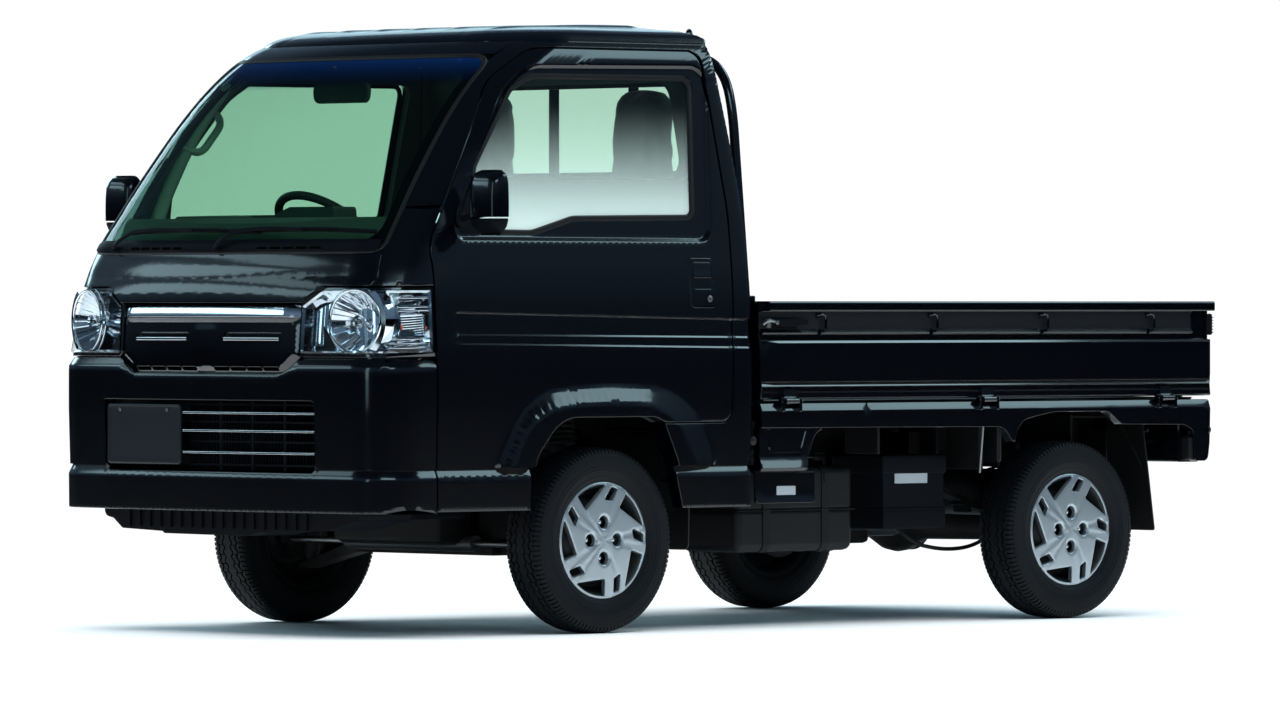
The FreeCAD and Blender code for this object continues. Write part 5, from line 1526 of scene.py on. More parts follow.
@dataclass
class Front:
    """Everything across the nose but the lamps."""
    ridge: Rows = ((0, 736, 0), (316, 736, 40), (384, 761, 24), (640, 762, 0), (700, 764, 0))
    bumper_top: Rows = ((700, 788, 0), (640, 790, 0), (400, 790, 14), (328, 745, 40), (0, 743, 0))
    intake: Rows = ((-462, 668, 14), (462, 668, 14), (462, 486, 12), (448, 465, 8),
                    (-448, 465, 8), (-462, 486, 12))
    plate_box: tuple[float, float, float, float] = (-435.0, -107.0, 483.0, 655.0)
    bars_z: tuple[float, ...] = (632.0, 581.0, 519.0)
    crest_slope: float = 0.53
    crease_z: float = 1024.0

    def bumper(self) -> None:
        """Bumper with its chamfered crest, intake opening and ledge."""
        ridge = at_front(self.ridge)
        half = np.vstack([at_front(((0, 352, 0), (700, 352, 0))), door_front(352, 784),
                          at_front(self.bumper_top)])
        hole = at_front(self.intake + (self.intake[0],))[:-1]

        def relief(u: np.ndarray, z: np.ndarray) -> np.ndarray:
            """Lower tuck with its ledge, and the crest's chamfer."""
            over = np.maximum(z - np.interp(np.abs(u), ridge[:, 0], ridge[:, 1]), 0)
            return tuck(z) - self.crest_slope * over
        lines = constant_lines(TUCK_LEVELS, -1100, 1100)
        lines += [ridge[1:], (ridge * (-1, 1))[::-1][:-1]]
        outline = across(half)
        lines = clipped(lines, outline, [hole])
        shell = plate(SKIN.place, outline, [hole], lines, relief, 13.0, depth=26.0, back=26.0)
        Piece().add(shell).object("bumper_skin", "chassis", "body_paint", (ENAMEL, TRIM_PLASTIC),
                                  node=("front_bumper",))

    def nose(self) -> None:
        """Nose panel with both fender corners up to the screen posts."""
        half = np.vstack([at_front(((0, 945, 0), (398, 945, 8), (470, 992, 40), (690, 992, 0))),
                          door_front(993, 1213),
                          at_front(((617, 1213, 0), (634, 1089, 44), (0, 1086, 0)))])
        seam = at_front(((632, 996, 0), (641, 1012, 20), (622, 1112, 0)), 5.0)

        def relief(u: np.ndarray, z: np.ndarray) -> np.ndarray:
            """Crease with a rolled bulge under it, and the fender seams' grooves."""
            across_u = np.abs(u)
            t = np.clip((self.crease_z - z) / 66.0, 0, 1)
            bulge = 8.0 * (1 - (1 - t) ** 2) - 4.0
            lift = bulge * smooth(640, 520, across_u)
            near = np.abs(across_u - np.interp(z, seam[:, 1], seam[:, 0]))
            groove = smooth(3.2, 0.5, near) * (z < 1110)
            return lift - 2.2 * groove
        lines = with_twin(at_front(((0, self.crease_z, 0), (600, self.crease_z, 0)), 10.0))
        for z in (958, 971, 984, 997, 1010, 1040, 1056, 1072):
            lines += with_twin(at_front(((0, z, 0), (600, z, 0)), 14.0))
        for shift in (-3.2, 0.0, 3.2):
            lines += [seam + (shift, 0), (seam + (shift, 0)) * (-1, 1)]
        outline = across(half)
        lines = clipped(lines, outline, gap=3.0)
        shell = plate(SKIN.place, outline, [], lines, relief, 12.0, depth=24.0, back=24.0)
        Piece().add(shell).object("nose_skin", "chassis", "body_paint", (ENAMEL, TRIM_PLASTIC),
                                  node=("nose_panel",))

    def grille(self) -> None:
        """Grille panel with its two slots, air slits and bare badge place."""
        rows = ((-392, 906, 0), (-392, 792, 10), (-322, 741, 30), (322, 741, 30), (392, 792, 10),
                (392, 906, 0))
        outline = SKIN.face(rows, 8.0)
        slits = [SKIN.face(box_rows(x, 753, x + 62, 763, 3), 4.0)
                 for x in (-312, -242, -172, -102, 40, 110, 180, 250)]
        border = [rounded(box_rows(s * 77, 834, s * 319, 862, 6), 4.0) for s in (1, -1)]

        def relief(u: np.ndarray, z: np.ndarray) -> np.ndarray:
            """Cushioned face, dished slots and a low round-cornered badge place."""
            points = np.c_[u, z]
            gap = edge_distance(points, [outline], 40.0)
            lift = -15.0 + 9.0 * smooth(0, 26, gap)
            for loop in border:
                ring = SKIN.from_front(loop)
                deep = np.where(inside(points, ring), edge_distance(points, [ring], 20.0), 0.0)
                lift -= 9.0 * smooth(0, 3.0, deep)
            pad = smooth(44, 40, np.abs(u)) * smooth(880, 876, z) * smooth(800, 804, z)
            return lift + 2.0 * pad
        lines = [SKIN.from_front(closed_line(offset(loop, shift)))
                 for loop in border for shift in (0.0, 3.0)]
        shell = plate(SKIN.place, outline, slits, lines, relief, 9.0, depth=30.0)
        Piece().add(shell).object("grille_panel", "chassis", "grille_plastic",
                                  (GLOSS_PLASTIC, GLOSS_PLASTIC), node=("grille",))
        backing = plate(SKIN.place, SKIN.face(box_rows(-330, 745, 330, 772), 20.0),
                        relief=flat_lift(-36.0), grid=40.0, depth=38.0)
        Piece().add(backing).object("grille_duct", "chassis", "black_plastic", (TRIM_PLASTIC,) * 2)

    def brightwork(self) -> None:
        """Chrome bar over the grille, its two slim bars and the intake's three."""
        piece = Piece()
        rows = box_rows(-392, 904, 392, 942)

        def relief(u: np.ndarray, z: np.ndarray) -> np.ndarray:
            """Face leaning back, chamfered along the top and swept in at the ends."""
            lift = 9.0 - 0.0052 * (z - 900) ** 2 - 1.25 * np.maximum(z - 932, 0)
            return lift - 17.0 * smooth(336, 396, np.abs(u))
        lines = with_twin(at_front(((0, 930, 0), (388, 930, 0)), 10.0))
        piece.add(plate(SKIN.place, SKIN.face(rows, 6.0), [], lines, relief, 8.0,
                        roll=((0, -2.0), (0.8, -0.6), (2.2, 0)), depth=14.0), 0)
        section = rounded(((-5, -4.5, 2), (5, -4.5, 2), (5, 4.5, 3), (-5, 4.5, 3)), 4.0)
        for sign in (1, -1):
            piece.add(sweep(on_front(np.linspace(82, 314, 24) * sign, 843.0, -7.0), section), 0)
        section = rounded(((-9, -3, 1.2), (9, -3, 1.2), (9, 3.2, 2), (-9, 3.2, 2)), 5.0)
        for z in self.bars_z:
            piece.add(sweep(on_front(np.linspace(-99, 457, 40), z, -15.0), section), 0)
        piece.object("front_brightwork", "chassis", "grille_plastic", (CHROME,))

    def intake_parts(self) -> None:
        """Duct with its slats behind the intake, and the blank plate beside them."""
        duct = Piece()
        outline = SKIN.face(box_rows(-466, 462, 466, 672), 20.0)
        duct.add(plate(SKIN.place, outline, relief=flat_lift(-62.0), grid=40.0, depth=24.0), 0)
        for x in np.arange(-96, 456, 13.0):
            y = float(SKIN.base(SKIN.u_at_x(np.array(x), np.array(570.0)), np.array(570.0))[1])
            duct.add(soft_box((x - 1.6, y + 32, 470), (x + 1.6, y + 46, 664), 0.8, 1), 0)
        for z in (484, 550, 606, 656):
            duct.add(soft_box((-98, -1667, z - 3), (458, -1645, z + 3), 1.5, 1), 0)
        for x in (40, 180, 320):
            duct.add(soft_box((x - 6, -1667, 466), (x + 6, -1650, 668), 2, 1), 0)
        duct.object("intake_slats", "chassis", "black_plastic", (TRIM_PLASTIC,))
        x0, x1, z0, z1 = self.plate_box
        blank = Piece()

        def place(x: np.ndarray, z: np.ndarray, h: np.ndarray) -> np.ndarray:
            """Point on the upright plate, which faces forward."""
            return np.stack([x, np.full_like(x, -1692.0) - h, z], axis=-1)
        ring = rounded(box_rows(x0, z0, x1, z1, 12), 5.0)

        def rim(x: np.ndarray, z: np.ndarray) -> np.ndarray:
            """Low pressed rim just inside the edge."""
            gap = edge_distance(np.c_[x, z], [ring], 30.0)
            return 1.3 * smooth(9, 6, gap) * smooth(1, 3.5, gap)
        lines = [closed_line(offset(ring, g)) for g in (4.0, 6.0, 9.0)]
        blank.add(plate(place, ring, [], lines, rim, 14.0, roll=((0, -1.5), (0.5, -0.5), (1.6, 0)),
                        depth=6.0, back=6.0), 0)
        blank.add(soft_box((x0 + 30, -1688, z0 + 12), (x1 - 30, -1664, z1 - 30), 6), 1)
        for x in ((x0 + x1) / 2 - 105, (x0 + x1) / 2 + 105):
            blank.add(lathe(((0, 6), (2, 6), (3, 5), (3, 0)), (x, -1692.4, z1 - 16), "y", 6,
                            sign=-1), 2)
        blank.object("blank_plate", "chassis", "plate_plastic", (PLATE, TRIM_PLASTIC, STEEL),
                     node=("number_plate",))

    def screen(self) -> None:
        """Windscreen with its fired border and its rubber."""
        ring = SKIN.face(SCREEN_ROWS, 8.0)
        pane = plate(SKIN.place, offset(ring, 5.0), relief=flat_lift(-3.5), grid=40.0,
                     roll=((0, -0.6), (0.8, 0)), depth=9.0, back=9.0)
        Piece().add(pane).object("screen_pane", "chassis", "tinted_glass", (SCREEN_GLASS,) * 2,
                                 node=("windscreen",))
        outer = offset(ring, 3.0)
        inner_rows = ((-596, 1128, 40), (596, 1128, 40), (533, 1628, 52), (-533, 1628, 52))
        border = plate(SKIN.place, outer, [SKIN.face(inner_rows, 8.0)], relief=flat_lift(-10.5),
                       grid=22.0, roll=((0, -0.2), (1, 0)), depth=12.5, back=12.5)
        Piece().add(border).object("screen_border", "chassis", "black_rubber", (FRIT, FRIT))
        section = rounded(((-8, -7, 1.5), (8, -7, 1.5), (7, 1.5, 2), (-2, 3.2, 2), (-8, 1, 1.5)), 6.0)
        seal = sweep(SKIN.over(ring[::2], -2.0), section, up=(0, -1, 0.8), closed=True)
        Piece().add(seal).object(
            "screen_rubber", "chassis", "black_rubber", (RUBBER,), sharp=60)

    def cowl(self) -> None:
        """Cowl grille under the screen and both wipers."""
        rows = ((-622, 1088, 10), (622, 1088, 10), (615, 1126, 14), (-615, 1126, 14))
        slits = [SKIN.face(box_rows(x, 1096, x + 40, 1101, 2), 4.0)
                 for x in (*range(-400, -150, 52), *range(180, 440, 52))]
        sheet = plate(SKIN.place, SKIN.face(rows, 8.0), slits,
                      relief=lambda u, z: 1.0 + 6.0 * smooth(1126, 1112, z) - 5 * smooth(
                          1096, 1090, z), grid=14.0, roll=((0, -3), (1, -1), (3, 0)), depth=16.0)
        Piece().add(sheet).object("cowl_grille", "chassis", "black_plastic", (TRIM_PLASTIC,) * 2)
        wipers, lean = Piece(), (0, -0.8, 0.6)
        for pivot, tip, far in ((-483.0, -405.0, 168.0), (10.0, 86.0, 596.0)):
            spots = ((pivot, 1098, 12), (pivot + 18, 1106, 26), (tip, 1137, 24),
                     (tip + 120, 1146, 20), ((tip + far) / 2, 1142, 18))
            at = np.vstack([on_front(*spot) for spot in spots])
            section = rounded(((-7, -2.5, 1.5), (7, -2.5, 1.5), (5, 3.5, 2.5), (-5, 3.5, 2.5)), 4.0)
            line = bent(at, 26.0, 5.0)
            wipers.add(sweep(line, section, lean, scale=np.linspace(1.25, 0.75, len(line))), 0)
            wipers.add(lathe(((0, 0), (0, 15), (8, 15), (12, 12), (13, 0)),
                             at[0] + (0, 8, -10), "z", 24), 0)
            xs = np.linspace(tip - 40, far, 60)
            zs = 1137 + 10 * np.sin(np.linspace(0.35, 2.9, 60))
            for lift, half, tall, mark, first, end in (
                    (6.0, 1.8, 4.5, 1, 0, 60), (12.5, 4.5, 2.5, 0, 0, 60),
                    (16.5, 3.0, 1.8, 0, 14, 46)):
                flat = rounded(box_rows(-half, -tall, half, tall, 0.8), 4.0)
                wipers.add(sweep(on_front(xs, zs, lift)[first:end], flat, lean), mark)
            for x in np.linspace(tip + 20, far - 60, 5):
                spot = on_front(x, float(np.interp(x, xs, zs)), 14.0)[0]
                wipers.add(soft_box(spot - (9, 5, 5), spot + (9, 5, 5), 2.5, 1), 0)
        wipers.object("wiper_set", "chassis", "black_plastic", (TRIM_PLASTIC, RUBBER),
                      node=("wipers",), sharp=45)

    def build(self) -> None:
        """Builds the nose."""
        self.bumper()
        self.nose()
        self.grille()
        self.brightwork()
        self.intake_parts()
        self.screen()
        self.cowl()


@dataclass
class Lamp:
    """One headlamp: housing, reflectors, bulb, turn section and lens."""
    side: Side
    bowl: tuple[float, float] = (590.0, 893.0)
    bowl_radius: float = 89.0
    seam_gap: tuple[float, float] = (5.0, 0.0)

    def outline(self, gap: float = 0.0) -> np.ndarray:
        """Lens outline in u, z, moved inwards by gap."""
        inner = at_front(((700, 985, 0), (470, 984, 46), (398, 938, 12), (398, 801, 10),
                          (700, 801, 0)), 6.0)
        return offset(np.vstack([inner, door_front(803, 984) - self.seam_gap]), gap)

    def ride(self, piece: Piece, name: str, finishes: Sequence, slot: str = "lamp_lens",
             node: Sequence[str] = (), sharp: float = 32.0) -> None:
        """Makes the piece on this lamp's own side."""
        piece = piece if self.side is Side.LEFT else piece.mirrored()
        piece.object(f"{name}_{self.side.word}", "chassis", slot, finishes, sharp, node)

    def housing(self) -> None:
        """Black case with its rim and sill, and the bright inner skirt."""
        case = Piece()
        rim = self.outline(-9.0)
        rim[:, 1] = np.clip(rim[:, 1], 781, 991)
        case.add(plate(SKIN.place, rim, [self.outline(3.0)], relief=flat_lift(-9.0), grid=20.0,
                       roll=((0, -1.5), (1.5, 0)), depth=30.0), 0)
        case.add(plate(SKIN.place, self.outline(-2.0), relief=flat_lift(-96.0), grid=30.0,
                       depth=20.0), 0)
        sill = np.vstack([at_front(((398, 757, 0), (700, 757, 0))),
                          door_front(757, 800) - self.seam_gap,
                          at_front(((700, 800, 0), (398, 800, 0)))])
        case.add(plate(SKIN.place, sill, relief=flat_lift(-21.0), grid=30.0, depth=10.0), 0)
        self.ride(case, "lamp_case", (GLOSS_PLASTIC,), "black_plastic",
                  ("headlights",) if self.side is Side.LEFT else ())
        skirt, inner = Piece(), self.outline(4.0)
        steps = [SKIN.over(offset(inner, draw), lift) for draw, lift in (
            (0.0, -5.0), (5.0, -12.0), (9.0, -30.0), (17.0, -58.0), (20.0, -74.0))]
        faces = grid_faces(len(steps), len(inner), True)
        skirt.add((np.vstack(steps), faces, [0] * len(faces)), 0)
        low_u = float(SKIN.u_at_x(np.array(690.0), np.array(893.0)))

        def facets(u: np.ndarray, z: np.ndarray) -> np.ndarray:
            """Stepped flutes: upright inboard, level outboard."""
            upright = 4.0 * np.abs((u / 15.0) % 1.0 - 0.5)
            level = 7.0 * np.abs((z / 23.0) % 1.0 - 0.5)
            inboard = smooth(500, 488, u)
            outer = smooth(low_u, low_u + 6, u)
            return -70.0 + upright * inboard + level * outer + 26.0 * inboard * smooth(
                500, 430, u) + 16.0 * outer
        skirt.add(plate(SKIN.place, offset(inner, 20.0), relief=facets, grid=5.0,
                        roll=((0, 0), (1, 0)), depth=74.0), 0)
        self.ride(skirt, "lamp_reflector", (REFLECTOR,), sharp=20)

    def optics(self) -> None:
        """Main bowl with faceted wall, trim rings, bulb shield and the turn bulb."""
        x, z = self.bowl
        turn = math.radians(12.0)
        centre = np.array([x, on_front(x, z, 0.0)[0][1] + 22, z])
        radius = self.bowl_radius
        depth, rings, count = 74.0, 14, 144
        pts = []
        for i in range(rings + 1):
            t = i / rings
            for k in range(count):
                a = 2 * math.pi * k / count
                step = 3.4 * (((k * 28 / count) % 1.0) - 0.5) * t
                r = (radius - 3) * t ** 0.62
                pts.append((r * math.cos(a), depth * (1 - t) + step, r * math.sin(a)))
        pts = np.array(pts)
        faces = grid_faces(rings + 1, count, True, flip=True)
        bowl = Piece()
        bowl.add((self.turned(pts, turn) + centre, faces, [0] * len(faces)), 0)
        self.ride(bowl, "lamp_bowl", (REFLECTOR,), sharp=12)
        trim = Piece()
        for r, thick, lift in ((radius, 4.5, -4.0), (radius + 9, 3.0, 4.0)):
            angle = np.linspace(0, 2 * math.pi, 96, endpoint=False)
            ring = np.c_[r * np.cos(angle), np.full(96, lift), np.clip(r * np.sin(angle), -90, 90)]
            trim.add(sweep(self.turned(ring, turn) + centre, circle(thick, 10), up=(0, 1, 0.01),
                           closed=True), 0)
        arc = np.linspace(-0.42, 0.42, 24) * math.pi
        wall = []
        for r, lift in ((radius + 6, -6.0), (radius + 24, -2.0), (radius + 34, 26.0),
                        (radius + 30, 62.0)):
            wall.append(self.turned(np.c_[r * np.cos(arc) * 0.94, np.full(24, lift),
                                          np.clip(r * np.sin(arc), -86, 84)], turn) + centre)
        faces = grid_faces(4, 24, False, flip=True)
        faces += [f[::-1] for f in faces]
        trim.add((np.vstack(wall), faces, [0] * len(faces)), 0)
        shield = ((30, 0), (28, 10), (20, 17), (6, 19), (2, 17), (8, 14))
        for profile, shift, count in ((shield, 4, 32), (((0, 7), (60, 7)), 12, 20)):
            points, faces, marks = lathe(profile, (0, 0, 0), "y", count)
            trim.add((self.turned(points, turn) + centre + (0, shift, 0), faces, marks), 0)
        self.ride(trim, "lamp_trim", (CHROME,), sharp=40)
        turn_part, spot = Piece(), on_front(716.0, 882.0, -34.0)[0]
        bulb = lathe(((0, 0), (1, 5), (5, 8.5), (12, 10), (20, 8), (24, 6)), spot, "x", 24, sign=-1)
        turn_part.add(bulb, 0)
        us = np.linspace(SKIN.u_at_x(np.array(694.0), np.array(880.0)), SKIN.u_at_y(
            np.array(-1474.0), np.array(880.0)), 24)
        flute = rounded(((-16, -2.6, 1), (3, -2.6, 2), (3, 2.6, 2), (-16, 2.6, 1)), 1.5)
        for row, lift, section, levels in (
                (us, -20.0, flute, (936.0, 926.0, 846.0, 834.0, 962.0, 821.0)),
                (us[4:], -40.0, circle(3.0, 8), np.arange(858, 920, 7.0))):
            for line in level_lines(row, levels):
                turn_part.add(sweep(SKIN.over(line, lift), section), 1)
        self.ride(turn_part, "lamp_turn", (AMBER, REFLECTOR), sharp=40)

    def turned(self, points: np.ndarray, angle: float) -> np.ndarray:
        """Points turned about z, outwards for a positive angle."""
        c, s = math.cos(angle), math.sin(angle)
        return np.c_[points[:, 0] * c - points[:, 1] * s, points[:, 0] * s + points[:, 1] * c,
                     points[:, 2]]

    def lens(self) -> None:
        """Clear cover with its rolled edge."""
        cover = plate(SKIN.place, self.outline(), relief=flat_lift(-1.5), grid=24.0,
                      roll=((0, -7.0), (1.5, -3.0), (4.5, -0.8), (8.0, 0)), depth=9.0)
        self.ride(Piece().add(cover), "lamp_lens", (LENS, LENS))

    def build(self) -> None:
        """Builds the lamp."""
        self.housing()
        self.optics()
        self.lens()


# ---- interior ----------------------------------------------------------------------
SEAT_ROLL = ((0.0, -14.0), (4.0, -5.0), (14.0, 0.0))


def across_x(section: Rows, low: float, high: float, count: int = 2, step: float = 8.0) -> Mesh3:
    """Carries a closed section of y, z rows from one x to another."""
    ring = rounded(section, step)
    if area(ring) > 0:
        ring = ring[::-1]
    xs = np.linspace(low, high, count)
    points = np.vstack([np.c_[np.full(len(ring), x), ring] for x in xs])
    faces = grid_faces(count, len(ring), True, flip=True)
    faces += [list(range(len(ring))), [(count - 1) * len(ring) + i for i in range(len(ring))][::-1]]
    return points, faces, [0] * len(faces)


@dataclass
class SoftPart:
    """One stuffed part: its closed start shape, and how far the filling may push it."""
    name: str
    shape: Mesh3
    push: float
    floor_z: float
    seams: Callable[[np.ndarray], np.ndarray]
    fill: float = 0.75

    def build(self) -> bpy.types.Object:
        """Remeshes, inflates and smooths the part, then presses its seams in."""
        nodes = ("seats",) if self.name == "seat_cushion_left" else ()
        thing = Piece().add(self.shape).object(self.name, "chassis", "seat_fabric", (CLOTH,), 80.0,
                                               nodes)
        remesh = thing.modifiers.new("even", "REMESH")
        remesh.mode, remesh.voxel_size = "VOXEL", 0.0125
        baked(thing)
        start = self.places(thing.data)
        self.inflate(thing)
        moved = self.places(thing.data) - start
        length = np.maximum(np.linalg.norm(moved, axis=1), 1e-9)[:, None]
        moved *= np.minimum(1.0, self.push * MM / length)
        self.set_places(thing.data, start + moved)
        smoothing = thing.modifiers.new("smooth", "SUBSURF")
        smoothing.levels = smoothing.render_levels = 1
        baked(thing)
        points = self.places(thing.data)
        points = points + self.seams(points / MM) * MM
        points[:, 2] = np.maximum(points[:, 2], self.floor_z * MM)
        self.set_places(thing.data, points)
        thing.data.polygons.foreach_set("use_smooth", [True] * len(thing.data.polygons))
        return thing

    def inflate(self, thing: bpy.types.Object) -> None:
        """Runs cloth with inner pressure for twenty frames."""
        cloth = thing.modifiers.new("cover", "CLOTH")
        cloth.settings.use_pressure = True
        cloth.settings.uniform_pressure_force = 4.0
        cloth.settings.effector_weights.gravity = 0.0
        cloth.settings.quality = 4
        cloth.point_cache.frame_start, cloth.point_cache.frame_end = 1, 20
        for frame in range(1, 21):
            bpy.context.scene.frame_set(frame)
        baked(thing)
        bpy.context.scene.frame_set(1)

    def places(self, mesh: bpy.types.Mesh) -> np.ndarray:
        """Vertex places in metres."""
        flat = np.empty(len(mesh.vertices) * 3)
        mesh.vertices.foreach_get("co", flat)
        return flat.reshape(-1, 3)

    def set_places(self, mesh: bpy.types.Mesh, points: np.ndarray) -> None:
        """Writes vertex places in metres."""
        mesh.vertices.foreach_set("co", points.ravel())
        mesh.update()


def dent(gap: np.ndarray, depth: float, width: float = 7.0) -> np.ndarray:
    """Depth of a sewn channel at a distance from its seam."""
    return depth * np.exp(-(gap / width) ** 2)


@dataclass
class Interior:
    """Dash, controls, seats and trim of the cab."""
    hub: tuple[float, float, float] = (-340.0, -920.0, 1139.0)
    tilt: float = 42.0
    wheel_radius: float = 180.0
    seat_x: float = 345.0

    def build(self) -> None:
        """Makes the interior's pieces."""
        chassis, dash, dark = "chassis", (DASH_PLASTIC, TRIM_PLASTIC, LABEL, CHROME), TRIM_PLASTIC
        for name, body, slot, finishes, nodes, meshes in (
                ("dash_moulding", chassis, "interior_plastic", dash, ("dashboard",), self.dash()),
                ("steering_wheel_moulded", "steering_wheel", "interior_plastic", (DASH_PLASTIC, dark),
                 ("steering_wheel",), self.wheel()),
                ("column_shroud", chassis, "interior_plastic", (DASH_PLASTIC, STEEL, dark),
                 ("steering_column",), self.column()),
                ("cab_trim", chassis, "interior_plastic",
                 (LINER_PLASTIC, DASH_PLASTIC, MIRROR_GLASS, PALE_PLASTIC), (),
                 self.trim()),
                ("floor_controls", chassis, "interior_plastic", (RUBBER, STEEL, DASH_PLASTIC), (),
                 self.floor_parts())):
            Piece.of(meshes).object(name, body, slot, finishes, 30.0, nodes)
        for sign, word in ((1, "left"), (-1, "right")):
            self.seat(sign * self.seat_x, word)

    def dash(self) -> list:
        """Dash moulding with hood, dials, vents, centre stack and glove box."""
        section = [(-1598, 1095, 6), (-1585, 1168, 10), (-1520, 1188, 30), (-1300, 1180, 40),
                   (-1215, 1140, 30), (-1198, 1075, 20), (-1232, 960, 20), (-1250, 885, 16),
                   (-1300, 864, 16), (-1400, 980, 40), (-1560, 1060, 20)]
        points, faces, marks = across_x(section, -618, 618, 30)
        glass = on_front(points[:, 0], points[:, 2], -34.0)
        points[:, 1] = np.where(points[:, 2] > 1040, np.maximum(points[:, 1], glass[:, 1]),
                                points[:, 1])
        meshes = [((points, faces, marks), 0)]
        hood = [(-1400, 1170, 6), (-1390, 1196, 16), (-1240, 1200, 18), (-1216, 1176, 8),
                (-1225, 1120, 6)]
        meshes.append((across_x(hood, -490, -150, 14), 0))
        hump = rounded([(-150, 1150, 4), (-128, 1200, 20), (-60, 1221, 24), (132, 1221, 10),
                        (140, 1150, 6)], 8.0)
        meshes.append((slab(hump, lambda u, v, w: np.stack(
            [np.asarray(u), -1232.0 + np.asarray(w, float), v], -1), 90.0, 6.0), 0))
        cowl = [(-1226, 1188, 3), (-1219, 1188, 3), (-1205, 1100, 3), (-1212, 1100, 3)]
        meshes.append((across_x(cowl, -488, -206, 2), 1))
        for x, radius in ((-400, 44), (-300, 44)):
            ring = lathe([(0, radius - 4), (4, radius - 1), (5, radius + 2), (0, radius + 4)][::-1],
                         (x, -1208, 1144), "y", 40)
            meshes.append((ring, 3))
            for k in range(9):
                a = math.radians(-130 + k * 32.5)
                mark = soft_box((-1.2, -1, radius * 0.66), (1.2, 1, radius * 0.86), 0.4, 1)
                points = mark[0] @ np.array([[math.cos(a), 0, -math.sin(a)], [0, 1, 0],
                                             [math.sin(a), 0, math.cos(a)]])
                meshes.append(((points + (x, -1205, 1144), mark[1], mark[2]), 2))
            hand = rod([(x, -1203, 1144), (x - 24, -1203, 1120)], 1.6, 8)
            meshes.append((hand, 3))
        for x in (-560, -95, 95, 560):
            meshes.append((soft_box((x - 52, -1224, 1050), (x + 52, -1196, 1110), 6.0), 1))
            for z in np.arange(1058, 1106, 9.0):
                meshes.append((soft_box((x - 46, -1200, z), (x + 46, -1190, z + 3), 1.2, 1), 0))
        meshes.append((soft_box((-100, -1226, 985), (100, -1200, 1036), 5.0), 1))
        for x in (-62, 0, 62):
            meshes.append((lathe([(-6, 17), (6, 16), (9, 14), (10, 0.01)][::-1],
                                 (x, -1212, 940), "y", 24), 1))
        lid = rounded([(180, 905, 14), (560, 905, 14), (575, 1030, 14), (180, 1030, 14)], 12.0)
        meshes.append((slab(lid, lambda u, v, w: np.stack(
            [u, -1222 + 0.2 * (v - 960) + np.asarray(w, float), v], -1), 8.0, 3.0), 0))
        return meshes

    def wheel(self) -> list:
        """Three-spoke steering wheel with a soft pad."""
        meshes = []
        angle = np.linspace(0, 2 * math.pi, 72, endpoint=False)
        ring = np.c_[self.wheel_radius * np.cos(angle), self.wheel_radius * np.sin(angle),
                     np.zeros(72)]
        meshes.append((sweep(ring, circle(13.0, 14), (0, 0, 1), closed=True), 0))
        for turn in (0.3, math.pi - 0.3, math.pi / 2):
            away = np.array([math.cos(turn), math.sin(turn), 0.0])
            path = np.array([away * r + (0, 0, h) for r, h in ((30, -14), (70, -18), (120, -10),
                                                              (172, -2))])
            meshes.append((sweep(bent(path, 30.0), np.array([(-15, -4), (15, -4), (17, 0), (15, 4),
                                                            (-15, 4), (-17, 0)], float),
                                 (0, 0, 1)), 0))
        pad = [(-26, 0.01), (-26, 44), (-20, 52), (-4, 56), (5, 52), (10, 40), (12, 0.01)]
        meshes.append((lathe(pad[::-1], (0, 0, 0), "z", 40), 0))
        meshes.append((lathe([(-40, 26), (-26, 30)][::-1], (0, 0, 0), "z", 24), 1))
        return [((self.tilted(m[0]), m[1], m[2]), mark) for m, mark in meshes]

    def tilted(self, points: np.ndarray) -> np.ndarray:
        """Points of the wheel's own frame, z along the column, set on the hub."""
        lean = math.radians(self.tilt)
        x, y, z = points.T
        return np.c_[x, y * math.cos(lean) + z * math.sin(lean),
                     -y * math.sin(lean) + z * math.cos(lean)] + self.hub

    def column(self) -> list:
        """Column tube, its shroud and two stalks."""
        shroud = np.array([(-38, -34), (38, -34), (46, -8), (40, 30), (-40, 30), (-46, -8)], float)
        path = np.array([(0, 0, -45.0), (0, 0, -90.0), (0, 0, -180.0), (0, 0, -250.0)])
        body = sweep(path, rounded([(*p, 12) for p in shroud], 5.0), (0, 1, 0),
                     scale=np.array((0.9, 1.0, 1.0, 0.85)))
        meshes = [(body, 0)]
        meshes.append((lathe([(-600, 17), (-230, 18)], (0, 0, 0), "z", 20), 1))
        for s in (-1, 1):
            stalk = [(s * 40, 0, -80), (s * 110, 10, -76), (s * 160, 22, -70)]
            meshes.append((sweep(bent(np.array(stalk, float), 30.0), circle(6.0, 10), (0, 0, 1)), 2))
            meshes.append((rod([(s * 142, 18, -72), (s * 172, 25, -68)], 9.0, 12), 2))
        return [((self.tilted(m[0]), m[1], m[2]), mark) for m, mark in meshes]

    def seat(self, x: float, word: str) -> None:
        """One seat: cushion and tall back with a narrow head part.

        Args:
            x: the seat's middle.
            word: its side.
        """
        base = rounded([(x - 222, -828, 40), (x + 222, -828, 40), (x + 222, -408, 30),
                        (x - 222, -408, 30)], 20.0)
        cushion = plate(lambda u, v, w: np.stack([u, v, 812 + np.asarray(w, float)], -1), base,
                        grid=40.0, depth=110.0, back=110.0, roll=SEAT_ROLL)

